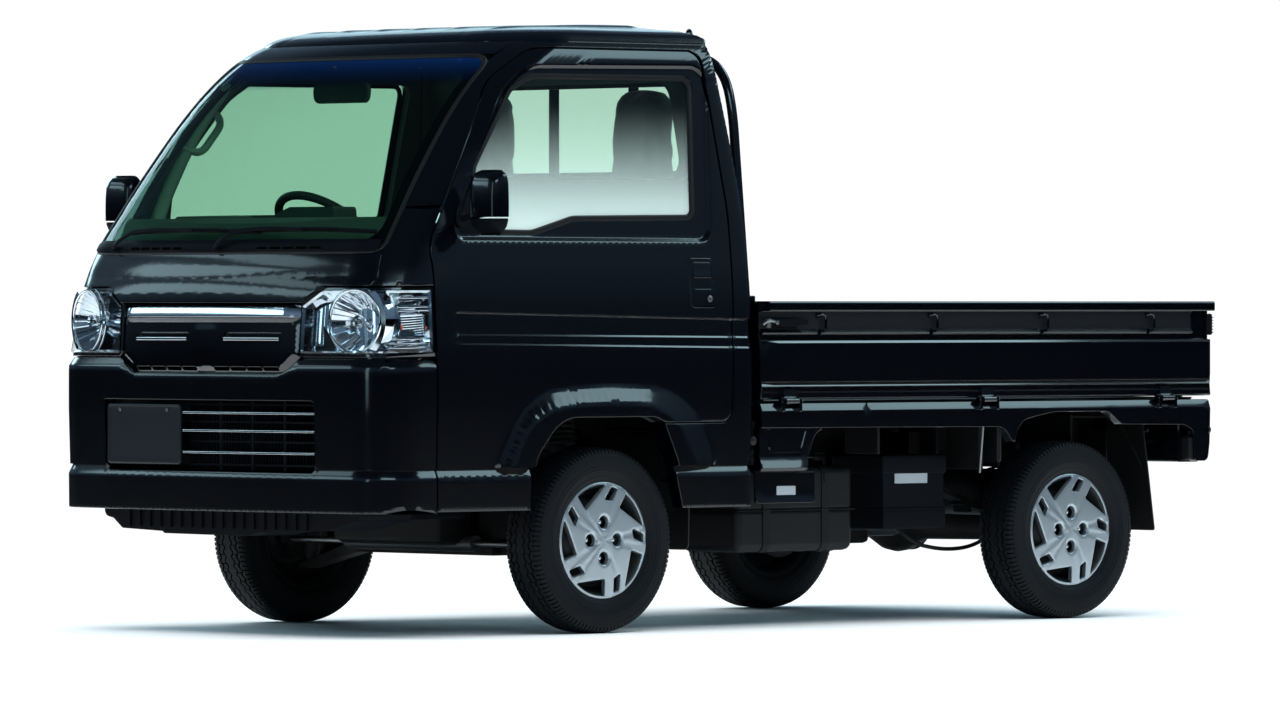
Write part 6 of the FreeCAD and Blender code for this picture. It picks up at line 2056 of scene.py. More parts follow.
        def cushion_seams(p: np.ndarray) -> np.ndarray:
            """Two channels along the cushion and one across, pressed into its top."""
            top = smooth(770, 800, p[:, 2])
            gap = np.minimum(np.abs(np.abs(p[:, 0] - x) - 135), np.abs(p[:, 1] + 520))
            return np.c_[np.zeros(len(p)), np.zeros(len(p)), -dent(gap, 9.0) * top]
        SoftPart(f"seat_cushion_{word}", cushion, 12.0, 700.4, cushion_seams).build()
        for name, rows, low in (
                ("seat_back", ((215, 722, 30), (212, 1120, 60), (150, 1254, 60)), 702.0),
                ("seat_head", ((94, 1264, 44), (108, 1300, 60), (106, 1400, 120), (92, 1568, 62)),
                 1256.0)):
            side = [(x + w, z, r) for w, z, r in rows]
            outline = rounded(side + [(2 * x - a, z, r) for a, z, r in side[::-1]], 20.0)
            shape = plate(self.back_face, outline, grid=40.0, depth=76.0, back=76.0,
                          roll=SEAT_ROLL)
            SoftPart(f"{name}_{word}", shape, 11.0, low, self.back_seams(x)).build()

    def back_face(self, u: np.ndarray, v: np.ndarray, w: np.ndarray) -> np.ndarray:
        """Front face of the seat's back, which leans back a little."""
        return np.stack([u, -382 + 40 * (v - 722) / 834 - np.asarray(w, float), v], -1)

    def back_seams(self, x: float) -> Callable[[np.ndarray], np.ndarray]:
        """Channels that part the back's bolsters and its middle panel."""
        def seams(p: np.ndarray) -> np.ndarray:
            """Push into the front face at points in mm."""
            front = 1 - smooth(-352, -338, p[:, 1] - 0.048 * (p[:, 2] - 722))
            gap = np.minimum(np.abs(np.abs(p[:, 0] - x) - 120) + 60 * (p[:, 2] > 1200),
                             np.minimum(np.abs(p[:, 2] - 1150), np.abs(p[:, 2] - 900)))
            return np.c_[np.zeros(len(p)), dent(gap, 8.0) * front, np.zeros(len(p))]
        return seams

    def trim(self) -> list:
        """Rear liner, room mirror, sun visors, assist grip and one pillar cover."""
        def wall(u: np.ndarray, v: np.ndarray, w: np.ndarray) -> np.ndarray:
            """Liner that faces forward on the rear wall."""
            return np.stack([u, -262 - 0.02 * (v - 1100) - np.asarray(w, float), v], -1)
        liner = rounded([(-560, 712, 12), (560, 712, 12), (560, 1300, 20), (-560, 1300, 20)], 30.0)
        meshes = [(plate(wall, liner, grid=60.0, depth=4.0), 0)]
        shell = rounded([(-118, -32, 24), (118, -32, 24), (124, 32, 30), (-124, 32, 30)], 5.0)
        glass = offset(shell, 6.0)

        def mirror(u: np.ndarray, v: np.ndarray, w: np.ndarray) -> np.ndarray:
            """Room mirror's back, facing forward."""
            bulge = 10 * (1 - (np.asarray(u) / 125) ** 2) * (1 - (np.asarray(v) / 33) ** 2)
            return np.stack([u, -1182 - bulge - np.asarray(w, float), 1553 + v], -1)
        meshes.append((plate(mirror, shell, grid=12.0, depth=14.0, back=14.0,
                             roll=((0.0, -6.0), (1.5, -2.0), (5.0, 0.0))), 1))
        meshes.append((plate(lambda u, v, w: np.stack(
            [-np.asarray(u), -1166.5 + np.asarray(w, float), 1553 + v], -1), glass, grid=30.0,
            depth=1.0, roll=((0.0, -0.6), (0.3, -0.2), (0.8, 0.0))), 2))
        meshes.append((rod([(0, -1180, 1580), (0, -1196, 1602), (0, -1200, 1626)], 6.0, 10), 1))
        for s in (-1, 1):
            visor = rounded(box_rows(s * 90, 0, s * 430, 130, 20), 14.0)
            meshes.append((slab(visor, lambda u, v, w: np.stack(
                [np.asarray(u, float), -1130 + np.asarray(v, float), 1640 + 0.16 * np.asarray(v)
                 + np.asarray(w, float)], -1), 14.0, 5.0), 0))
        grip = [(-606, -1286, 1408), (-590, -1212, 1378), (-590, -1124, 1476), (-606, -1176, 1530)]
        meshes.append((rod(grip, 11.5, 12, bend=34.0, step=6.0), 3))
        for end in (grip[0], grip[-1]):
            spot = np.array(end, float)
            meshes.append((soft_box(spot - (16, 20, 18), spot + (10, 20, 18), 9.0), 3))
        post = [(-640, -1345, 1150), (-640, -1315, 1240), (-606, -1240, 1420), (-570, -1130, 1590)]
        meshes.append((rod(post, 22.0, 14, bend=80.0, step=14.0), 3))
        return meshes

    def floor_parts(self) -> list:
        """Mats, pedals, change lever and hand brake."""
        meshes = []
        for x in (-330, 330):
            mat = rounded([(x - 220, -1530, 30), (x + 220, -1530, 30), (x + 230, -1175, 20),
                           (x - 230, -1175, 20)], 20.0)
            meshes.append((slab(mat, lambda u, v, w: np.stack(
                [u, v, 480.5 + np.asarray(w, float)], -1), 5.0, 1.5), 0))
            for y in np.arange(-1500, -1190, 24.0):
                meshes.append((soft_box((x - 190, y, 480), (x + 190, y + 9, 483), 1.4, 1), 0))
        for x, wide in ((-440, 34), (-340, 34), (-250, 24)):
            meshes.append((rod([(x, -1560, 760), (x, -1500, 700), (x, -1470, 620)], 7.0, 10,
                               bend=30.0), 1))
            meshes.append((soft_box((x - wide, -1484, 586), (x + wide, -1462, 648), 5.0), 0))
        meshes.append((rod([(-60, -1010, 705), (-70, -1000, 800), (-85, -985, 900)], 7.5, 12,
                           bend=30.0), 1))
        meshes.append((lathe([(0, 10), (8, 20), (24, 25), (42, 20), (50, 0.01)], (-86, -984, 892),
                             "z", 24), 2))
        boot = [(0, 62), (8, 58), (16, 46), (24, 50), (32, 36), (40, 40), (52, 24), (62, 14)]
        meshes.append((lathe(boot, (-60, -1008, 700), "z", 32), 0))
        meshes.append((rod([(-20, -760, 702), (-20, -800, 742), (-20, -960, 792)], 9.0, 12,
                           bend=24.0), 2))
        meshes.append((rod([(-20, -950, 789), (-20, -1050, 816)], 14.0, 14), 0))
        return meshes


# ---- wheels ------------------------------------------------------------------------
WHEEL_PLACES = {"front": -800.0, "rear": 1100.0}


def polar(radius: float, degrees: float) -> tuple[float, float]:
    """Point on a wheel's face, degrees clockwise from the top as seen from outside."""
    angle = math.radians(degrees)
    return radius * math.sin(angle), radius * math.cos(angle)


@dataclass
class Wheel:
    """Tyre, pressed disc and silver cover of one wheel."""
    end: str
    side: Side
    track: float = 645.0
    radius: float = 266.0
    pitches: int = 58
    cover_radius: float = 168.0
    cover_face: float = 67.0
    folds: int = 5
    nut_ring: float = 51.5

    @property
    def centre(self) -> tuple[float, float, float]:
        """Middle of the left wheel at this end."""
        return self.track, WHEEL_PLACES[self.end], self.radius

    def build(self) -> None:
        """Makes the wheel's pieces on its own body."""
        name = f"{self.end}_{self.side.word}"
        body = f"wheel_{name}"
        tyre = Piece().add(self.tread()).add(self.sidewalls())
        rim = Piece().add(self.barrel()).add(self.disc())
        for mesh in self.nuts():
            rim.add(mesh, 1)
        cover = Piece().add(self.cover())
        for piece, label, slot, finishes, nodes, sharp in (
                (tyre, "tyre_moulded", "tyre_rubber", [TYRE], (f"tyre_{name}",), 40.0),
                (rim, "wheel_disc", "wheel_cover", [WHEEL_STEEL, CHROME], (f"rim_{name}",), 32.0),
                (cover, "wheel_cover", "wheel_cover", [SILVER], (), 42.0)):
            shown = piece if self.side is Side.LEFT else piece.mirrored()
            shown.object(f"{label}_{name}", body, slot, finishes, sharp, nodes)

    def turned(self, along: np.ndarray, radius: np.ndarray, angle: np.ndarray) -> np.ndarray:
        """Points at distances along the axle, radii and angles from the top."""
        x, y, z = self.centre
        return np.stack([x + along, y + radius * np.sin(angle), z + radius * np.cos(angle)], -1)

    def tread(self) -> Mesh3:
        """Block tread: zigzag grooves round the tyre, slots across its shoulders."""
        half = np.array([0.0, 13.6, 14.4, 18.6, 19.4, 27.0, 35.6, 36.4, 41.6, 42.4, 49.0, 49.8,
                         57.0, 62.5, 67.0, 69.5])
        groove = np.isin(half, (14.4, 18.6, 36.4, 41.6))
        shoulder = half > 49.4
        rib = (half > 20) & (half < 36)
        crown = np.interp(half, (0, 30, 52, 62.5, 67, 69.5), (266, 265.6, 264.4, 260.5, 255, 249))
        steps = np.array((0.0, 0.03, 0.13, 0.16, 0.27, 0.30, 0.36, 0.39, 0.5, 0.53, 0.63, 0.66, 0.8))
        slot = np.isin(steps, (0.03, 0.13, 0.53, 0.63))
        sipe = np.isin(steps, (0.30, 0.36))
        zigzag = np.interp(steps, (0, 0.13, 0.5, 0.63, 1), (-3.6, -3.6, 3.6, 3.6, -3.6))
        sway = np.where(half < 48, np.interp(half, (0, 13, 42, 48), (0, 1, 1, 0)), 0.0)
        along = half[None] + zigzag[:, None] * sway[None]
        depth = 7.0 * groove[None] + 6.0 * (slot[:, None] & shoulder[None] & (half < 68)[None])
        depth = depth + 4.5 * (sipe[:, None] & rib[None])
        radius = crown[None] - np.minimum(depth, 7.0)
        along = np.concatenate([-along[:, :0:-1], along], axis=1)
        radius = np.concatenate([radius[:, :0:-1], radius], axis=1)
        count = self.pitches
        angle = (np.arange(count)[:, None] + steps[None]).ravel() * 2 * math.pi / count
        along, radius = np.tile(along, (count, 1)), np.tile(radius, (count, 1))
        points = self.turned(along, radius, np.repeat(angle[:, None], along.shape[1], 1))
        rows, columns = along.shape
        faces = [[r * columns + c, r * columns + c + 1, (r + 1) % rows * columns + c + 1,
                  (r + 1) % rows * columns + c] for r in range(rows) for c in range(columns - 1)]
        return points.reshape(-1, 3), faces, [0] * len(faces)

    def sidewalls(self) -> Mesh3:
        """Both sidewalls with their fine rings, from shoulder to bead and across inside."""
        wall = [(69.5, 249), (71.3, 243), (71.3, 241), (70.6, 240.4), (72.3, 232), (72.5, 222),
                (72.3, 214), (73.1, 213.4), (73.1, 212), (72.0, 211.4), (71.4, 204), (72.2, 203.4),
                (72.0, 202), (71.0, 201.4), (69.4, 192), (66.8, 184), (67.6, 183), (67.2, 181.4),
                (64.6, 178.6), (62.6, 173), (60.0, 169.6), (54.0, 162)]
        profile = wall + [(-a, r) for a, r in wall[::-1]]
        x, y, z = self.centre
        points, faces, marks = lathe(profile, (x, y, z), count=96)
        inner = faces[len(wall) * 96 - 96:len(wall) * 96]
        kept = [f for f in faces if f not in inner] + inner
        return points, [f[::-1] for f in kept], marks

    def barrel(self) -> Mesh3:
        """Rolled steel rim with its two flanges."""
        profile = [(53, 162.5), (59.5, 168.5), (60.5, 166.5), (56, 158), (50, 152), (38, 149),
                   (20, 138), (-20, 138), (-38, 149), (-50, 152), (-56, 158), (-60.5, 166.5),
                   (-59.5, 168.5), (-53, 162.5)]
        return lathe([(a, r) for a, r in profile[::-1]], self.centre, count=72)

    def disc(self) -> Mesh3:
        """Pressed disc behind the cover: a hub flat, a raised ring and a welded edge."""
        profile = [(22, 0.01), (22, 62), (26, 68), (38, 80), (40, 92), (34, 108), (20, 120),
                   (12, 132), (10, 139), (4, 139), (8, 130), (16, 116), (28, 104), (33, 92),
                   (32, 82), (20, 66), (16, 58), (16, 0.01)]
        return lathe(profile[::-1], self.centre, count=60)

    def nuts(self) -> list:
        """Four domed nuts, seen through the cover's holes."""
        x, y, z = self.centre
        meshes = []
        for k in range(4):
            dy, dz = polar(self.nut_ring, 90 * k)
            at = (x, y + dy, z + dz)
            meshes.append(lathe([(22, 12.5), (25, 12.5), (26, 10.8), (38, 10.4)][::-1], at, count=6))
            meshes.append(lathe([(36, 9.6), (44, 9.2), (48, 7.4), (50.6, 4.4), (51.6, 0.01)][::-1],
                                at, count=16))
        return meshes

    def cover(self) -> Mesh3:
        """Silver cover: slanted pairs of spokes over a ring, nut holes and a plain hub."""
        x, y, z = self.centre
        outline = np.array([polar(self.cover_radius, a) for a in np.arange(0, 360, 2.5)])
        holes = []
        for k in range(self.folds):
            turn = 72.0 * k
            arc = [polar(158.5, a + turn) for a in np.arange(-36, 2, 4)]
            opening = [(*polar(111, -38.5 + turn), 5), (*polar(158.5, -38 + turn), 4)]
            opening += [(*p, 0) for p in arc] + [(*polar(158.5, 4 + turn), 3)]
            slot = [(*polar(116, 1.5 + turn), 4), (*polar(156.5, 12.5 + turn), 4),
                    (*polar(156.5, 21.5 + turn), 4), (*polar(117, 16 + turn), 4)]
            holes += [rounded(opening, 5.0), rounded(slot, 4.0)]
        for k in range(4):
            cy, cz = polar(self.nut_ring, 90 * k)
            holes.append(circle(18.0, 28) + (cy, cz))

        def face(u: np.ndarray, v: np.ndarray, lift: np.ndarray) -> np.ndarray:
            """Point of the domed face."""
            r = np.hypot(u, v)
            dome = self.cover_face - 4.0 * (r / self.cover_radius) ** 2.4
            return np.stack([x + dome + lift, y + u, z + v], -1)

        def ring(u: np.ndarray, v: np.ndarray) -> np.ndarray:
            """Set-back of the outer ring between the spokes, and the pressed nut seats."""
            r = np.hypot(u, v)
            angle = (np.degrees(np.arctan2(u, v)) + 38) % 72 - 38
            low = 1 - smooth(3.4, 5.4, angle) * (1 - smooth(11.2, 13.0, angle)) - \
                smooth(21.0, 22.8, angle) * (1 - smooth(32.0, 33.9, angle))
            rise = -1.5 * smooth(155, 158, r) * low
            near = np.full(len(u), 99.0)
            for k in range(4):
                cy, cz = polar(self.nut_ring, 90 * k)
                near = np.minimum(near, np.hypot(u - cy, v - cz))
            return rise - 1.6 * (1 - smooth(19.0, 23.0, near)) + 0.6 * smooth(167, 162, r) * low
        lines = [circle(r, 60)[:-1] for r in (24.0, 76.0, 92.0, 106.0, 156.5, 163.0)]
        edges = clipped(lines, outline, holes, 3.0)
        return plate(face, outline, holes, edges, ring, grid=5.0,
                     roll=((0.0, -3.6), (0.7, -1.5), (2.4, 0.0)), depth=16.0)


# ---- bed -----------------------------------------------------------------------------
# Pressed section of the gates: height, distance in from the outer face.
GATE_SECTION = (
    (664.0, 9.0), (669.0, 4.5), (683.0, 4.5), (688.0, 9.5), (700.0, 9.5), (702.5, 1.5),
    (711.5, 8.5), (713.5, 8.5), (715.5, 1.2), (720.0, 0.8), (828.0, 0.8), (834.5, 6.0),
    (836.5, 13.0), (852.0, 13.0), (855.5, 3.0), (858.0, 2.5), (870.5, 15.0), (873.0, 16.0),
    (915.0, 16.0), (919.0, 14.0), (919.5, 1.5), (923.0, 0.3), (932.0, 0.0), (945.0, 0.8),
)
ROPE_HOOKS_Y = (48.0, 506.0, 969.0, 1424.0)
SIDE_HINGES_Y = (-90.0, 720.0, 1480.0)
REAR_HINGES_X = (-560.0, 0.0, 560.0)
GATE_CREASES_Z = tuple(z for z, _ in GATE_SECTION if 667 < z < 921)
GATE_ROLL = ((0.0, -1.6), (0.5, -0.6), (1.6, 0.0))


def gate_drop(z: np.ndarray) -> np.ndarray:
    """Distance in from the outer face at height z."""
    return np.interp(z, *np.array(GATE_SECTION).T)


def pressings(v: np.ndarray, heights: Iterable[float], half: float) -> np.ndarray:
    """Share of full depth at height v over level pressings of one half width."""
    return sum(smooth(0, 8, half - np.abs(v - z)) for z in heights)


def pressing_lines(us: np.ndarray, heights: Iterable[float], half: float) -> list:
    """Level lines along both bends of each pressing."""
    return level_lines(us, [z + d for z in heights for d in (-half, 8 - half, half - 8, half)])


def hinge(along: Callable, centre: float) -> Mesh3:
    """Rolled eye on its strap, in the frame that `along` gives: out, along, height."""
    eye = [(8.5 * math.cos(a), 659 + 8.5 * math.sin(a)) for a in np.arange(-2.4, 1.6, 0.35)]
    strap = eye + [(-6.0, 672.0), (-8.0, 694.0), (-11.0, 694.0), (-10.0, 668.0)]
    strap = np.array(strap[::-1])
    rings = [along(strap[:, 0], np.full(len(strap), centre + s), strap[:, 1]) for s in (-25, 25)]
    count = len(strap)
    faces = grid_faces(2, count, True) + [list(range(count)), list(range(count, 2 * count))[::-1]]
    return np.vstack(rings), faces, [0] * len(faces)


@dataclass
class Gate:
    """One side gate: pressed outer skin, inner panel, rope hooks, latch and hinges."""
    side: Side
    face_x: float = 737.5
    skin: float = 14.0
    front_y: float = -203.0
    rear_y: float = 1682.0
    ribs_z: tuple[float, ...] = (720.0, 800.0, 880.0)

    def build(self) -> None:
        """Makes the gate's pieces."""
        body = f"gate_{self.side.word}"
        shell = Piece().add(self.outer()).add(self.inner()).add(self.rail())
        fittings = Piece()
        for mesh in self.hooks() + self.hinges() + self.rivets():
            fittings.add(mesh)
        latch = Piece.of(self.latch())
        for piece, name, finishes, slot, nodes in (
                (shell, "gate_pressed", [ENAMEL, INNER_ENAMEL], "bed_paint", (body,)),
                (fittings, "gate_fittings", [ENAMEL], "bed_paint", ()),
                (latch, "gate_latch", [TRIM_PLASTIC, STEEL], "black_metal", ())):
            shown = piece if self.side is Side.LEFT else piece.mirrored()
            shown.object(f"{name}_{self.side.word}", body, slot, finishes, 28.0, nodes)

    def at(self, u: np.ndarray, v: np.ndarray, lift: np.ndarray) -> np.ndarray:
        """Point of the outer face."""
        return np.stack([self.face_x + np.asarray(lift, float), u, v], -1)

    def outer(self) -> Mesh3:
        """Outer skin below the rail, with its recessed hook band."""
        outline = rounded([(self.front_y, 664, 3), (self.rear_y, 664, 3), (self.rear_y, 835, 3),
                           (1652, 837, 3), (1652, 922, 3), (self.front_y, 922, 3)], 40.0)
        ends = ((self.front_y + 12, 716), (self.front_y + 12, 815), (self.front_y + 30, 833))

        def relief(u: np.ndarray, v: np.ndarray) -> np.ndarray:
            """Lift of the pressed section, flattened at its ends and notched at the hooks."""
            lift = -gate_drop(v)
            edge = self.front_y + 10 + np.clip(v - 812, 0, 40) * 0.9
            within = smooth(0, 5, u - edge) * (1 - smooth(-5, 0, u - self.rear_y + 8))
            panel = (v > 714) & (v < 836)
            lift = np.where(panel, lift * within - 7.0 * (1 - within), lift)
            tail = smooth(1600, 1606, u) * (v > 836)
            lift = lift * (1 - tail) - 10.0 * tail
            for y in ROPE_HOOKS_Y:
                notch = smooth(y - 24, y - 22, u) * (1 - smooth(y - 12, y - 10, u))
                lift = np.where((v > 853) & (v < 874), lift * (1 - notch) - 15.5 * notch, lift)
            return lift
        us = np.unique(np.r_[np.arange(self.front_y + 6, self.rear_y, 60.0), 1599, 1607,
                             [y + d for y in ROPE_HOOKS_Y for d in (-25, -21.5, -12.5, -9)],
                             self.rear_y - 14, self.rear_y - 7])
        lines = level_lines(us, GATE_CREASES_Z)
        lines.append(rounded([(*row, 0) for row in ends], 20.0, closed=False))
        lines.append(np.array([(self.rear_y - 8.0, 718.0), (self.rear_y - 8.0, 826.0)]))
        lines = clipped(lines, outline, (), 2.0)
        return plate(self.at, outline, lines=lines, relief=relief, grid=60.0, depth=self.skin,
                     back=self.skin, roll=GATE_ROLL)

    def inner(self) -> Mesh3:
        """Inner panel with three pressed ribs along it."""
        def face(u: np.ndarray, v: np.ndarray, lift: np.ndarray) -> np.ndarray:
            """Point of the inner face."""
            return np.stack([707.5 - np.asarray(lift, float), -u, v], -1)

        def ribs(u: np.ndarray, v: np.ndarray) -> np.ndarray:
            """Depth of the ribs."""
            within = smooth(30, 60, -u + 170) * smooth(30, 60, 1655 + u)
            return -5.0 * pressings(v, self.ribs_z, 20) * within
        outline = rounded(box_rows(-1655, 664, 170, 944, 4), 40.0)
        lines = pressing_lines(np.arange(-1650, 168, 50.0), self.ribs_z, 20)
        return plate(face, outline, lines=clipped(lines, outline), relief=ribs, grid=60.0,
                     depth=-17.0, roll=GATE_ROLL)

    def rail(self) -> Mesh3:
        """Rolled top rail, running from the front wall past the tailgate."""
        section = rounded([(737.5, 920, 4), (737.8, 950, 7), (706.5, 950, 7), (706.5, 926, 5)], 3.0)
        section = section - (722, 935)
        path = np.array([(722, y, 935) for y in np.linspace(-170, 1694, 24)])
        return sweep(path, section)

    def hooks(self) -> list:
        """Rope hooks bent from rod, welded under the rail."""
        meshes = []
        for y in ROPE_HOOKS_Y:
            path = [(722, y - 17, 908), (731, y - 17, 909), (733, y - 6, 912), (733, y + 8, 909),
                    (733, y + 11, 898), (732, y + 11, 869)]
            meshes.append(rod(path, 4.2, 10, bend=10.0, step=3.0))
            meshes.append(lathe([(-2, 9.5), (0, 9.5), (1.5, 8), (2, 0.01)][::-1],
                                (722, y - 17, 908), count=20))
        return meshes

    def rivets(self) -> list:
        """Small rivet heads under the rail."""
        heads = [(y, 904.0) for y in range(-20, 1480, 115)] + [(y, 899.0) for y in
                                                              (1512, 1536, 1560, 1584)]
        return [lathe([(0, 3.4), (1.2, 3.0), (2.0, 1.6), (2.2, 0.01)][::-1], (721.3, y, z), count=10)
                for y, z in heads]

    def hinges(self) -> list:
        """Straps and rolled eyes of the three hinges."""
        def place(out: np.ndarray, along: np.ndarray, up: np.ndarray) -> np.ndarray:
            """Point at a distance out from the hinge's axis."""
            return np.stack([744 + out, along, up], -1)
        return [hinge(place, y) for y in SIDE_HINGES_Y]

    def latch(self) -> list:
        """Over-centre latch at the gate's front corner."""
        base = slab(rounded([(-168, 862, 4), (-60, 862, 4), (-52, 872, 4), (-52, 900, 5),
                             (-168, 904, 5)], 6.0), self.at, 12.0, 1.5)
        base = (base[0] - (11.0, 0, 0), base[1], base[2])
        handle = slab(rounded([(-150, 898, 4), (-20, 898, 8), (-14, 890, 4), (-20, 880, 6),
                               (-110, 876, 5), (-150, 880, 4)], 6.0), self.at, 7.0, 2.5)
        handle = (handle[0] + (1.5, 0, 0), handle[1], handle[2])
        claw = rod([(735, -150, 890), (741, -172, 893), (741, -192, 890), (738, -200, 882)], 5.0, 10,
                   bend=9.0, step=3.0)
        knuckle = lathe([(-13, 7.0), (-12, 8.0), (12, 8.0), (13, 7.0)][::-1], (736, -176, 886), "z",
                        count=16)
        pin = lathe([(-2, 6.5), (0, 6.5), (1.8, 5), (2.4, 0.01)][::-1], (740, -142, 888), count=14)
        return [(base, 0), (handle, 0), (claw, 1), (knuckle, 1), (pin, 1)]


@dataclass
class Tailgate:
    """Rear gate with the same pressed section, its rail and hinges."""
    face_y: float = 1690.0
    half: float = 718.0
    ribs_z: tuple[float, ...] = (740.0, 850.0)

    def build(self) -> None:
        """Makes the tailgate's pieces."""
        shell = Piece().add(self.outer()).add(self.inner()).add(self.rail())
        shell.object("tailgate_pressed", "tailgate", "bed_paint", [ENAMEL, INNER_ENAMEL], 28.0,
                     ("tailgate",))
        Piece.of(self.fittings()).object("tailgate_fittings", "tailgate", "black_metal",
                                         [TRIM_PLASTIC, STEEL], 28.0)

    def at(self, u: np.ndarray, v: np.ndarray, lift: np.ndarray) -> np.ndarray:
        """Point of the outer face, which looks back; u runs to the right."""
        return np.stack([-u, self.face_y + np.asarray(lift, float), v], -1)

    def outer(self) -> Mesh3:
        """Outer skin below the rail."""
        half = self.half
        outline = rounded(box_rows(-half, 664, half, 922, 3), 40.0)

        def relief(u: np.ndarray, v: np.ndarray) -> np.ndarray:
            """Lift of the pressed section, flattened at both ends."""
            within = 1 - smooth(half - 24, half - 14, np.abs(u))
            return -gate_drop(v) * within - 8.0 * (1 - within)
        us = np.unique(np.r_[np.arange(-half + 6, half, 50.0), [s * (half - d) for s in (-1, 1)
                                                                for d in (14, 19, 24)]])
        lines = level_lines(us, GATE_CREASES_Z)
        lines += [np.array([(s * (half - d), 668.0), (s * (half - d), 918.0)]) for s in (-1, 1)
                  for d in (14, 24)]
        return plate(self.at, outline, lines=clipped(lines, outline, (), 2.0), relief=relief,
                     grid=50.0, depth=14.0, back=14.0, roll=GATE_ROLL)

    def inner(self) -> Mesh3:
        """Flat inner panel with two pressed ribs."""
        def face(u: np.ndarray, v: np.ndarray, lift: np.ndarray) -> np.ndarray:
            """Point of the inner face."""
            return np.stack([u, 1660.5 - np.asarray(lift, float), v], -1)

        def ribs(u: np.ndarray, v: np.ndarray) -> np.ndarray:
            """Depth of the ribs."""
            within = 1 - smooth(self.half - 70, self.half - 40, np.abs(u))
            return -5.0 * pressings(v, self.ribs_z, 20) * within
        half = self.half - 14
        outline = rounded(box_rows(-half, 664, half, 944, 4), 40.0)
        lines = pressing_lines(np.arange(-half + 5, half, 50.0), self.ribs_z, 20)
        return plate(face, outline, lines=clipped(lines, outline), relief=ribs, grid=60.0,
                     depth=-16.0, roll=GATE_ROLL)

    def rail(self) -> Mesh3:
        """Rolled top rail."""
        section = rounded([(-15, -15, 4), (15.5, -15, 4), (15.5, 12, 6), (-15, 12, 6)], 3.0)
        path = np.array([(x, 1676, 935) for x in np.linspace(-704, 704, 20)])
        return sweep(path, section)

    def fittings(self) -> list:
        """Hinges, and the corner latches with their springs."""
        def place(out: np.ndarray, along: np.ndarray, up: np.ndarray) -> np.ndarray:
            """Point at a distance back from the hinge's axis."""
            return np.stack([-along, 1689 + out, up], -1)
        parts = [(hinge(place, x), 0) for x in REAR_HINGES_X]
        for s in (-1, 1):
            box = soft_box((s * 716 - 16, 1664, 848), (s * 716 + 16, 1690, 912), 4.0)
            parts.append((box, 0))
            for z in range(856, 908, 9):
                parts.append((lathe([(-2, 5), (-1, 7), (1, 7), (2, 5)][::-1],
                                    (s * 722, 1694, z), "z", count=12), 1))
            parts.append((rod([(s * 718, 1688, 850), (s * 718, 1698, 852), (s * 718, 1698, 908),
                               (s * 718, 1688, 911)], 3.0, 8, bend=6.0, step=3.0), 1))
        return parts


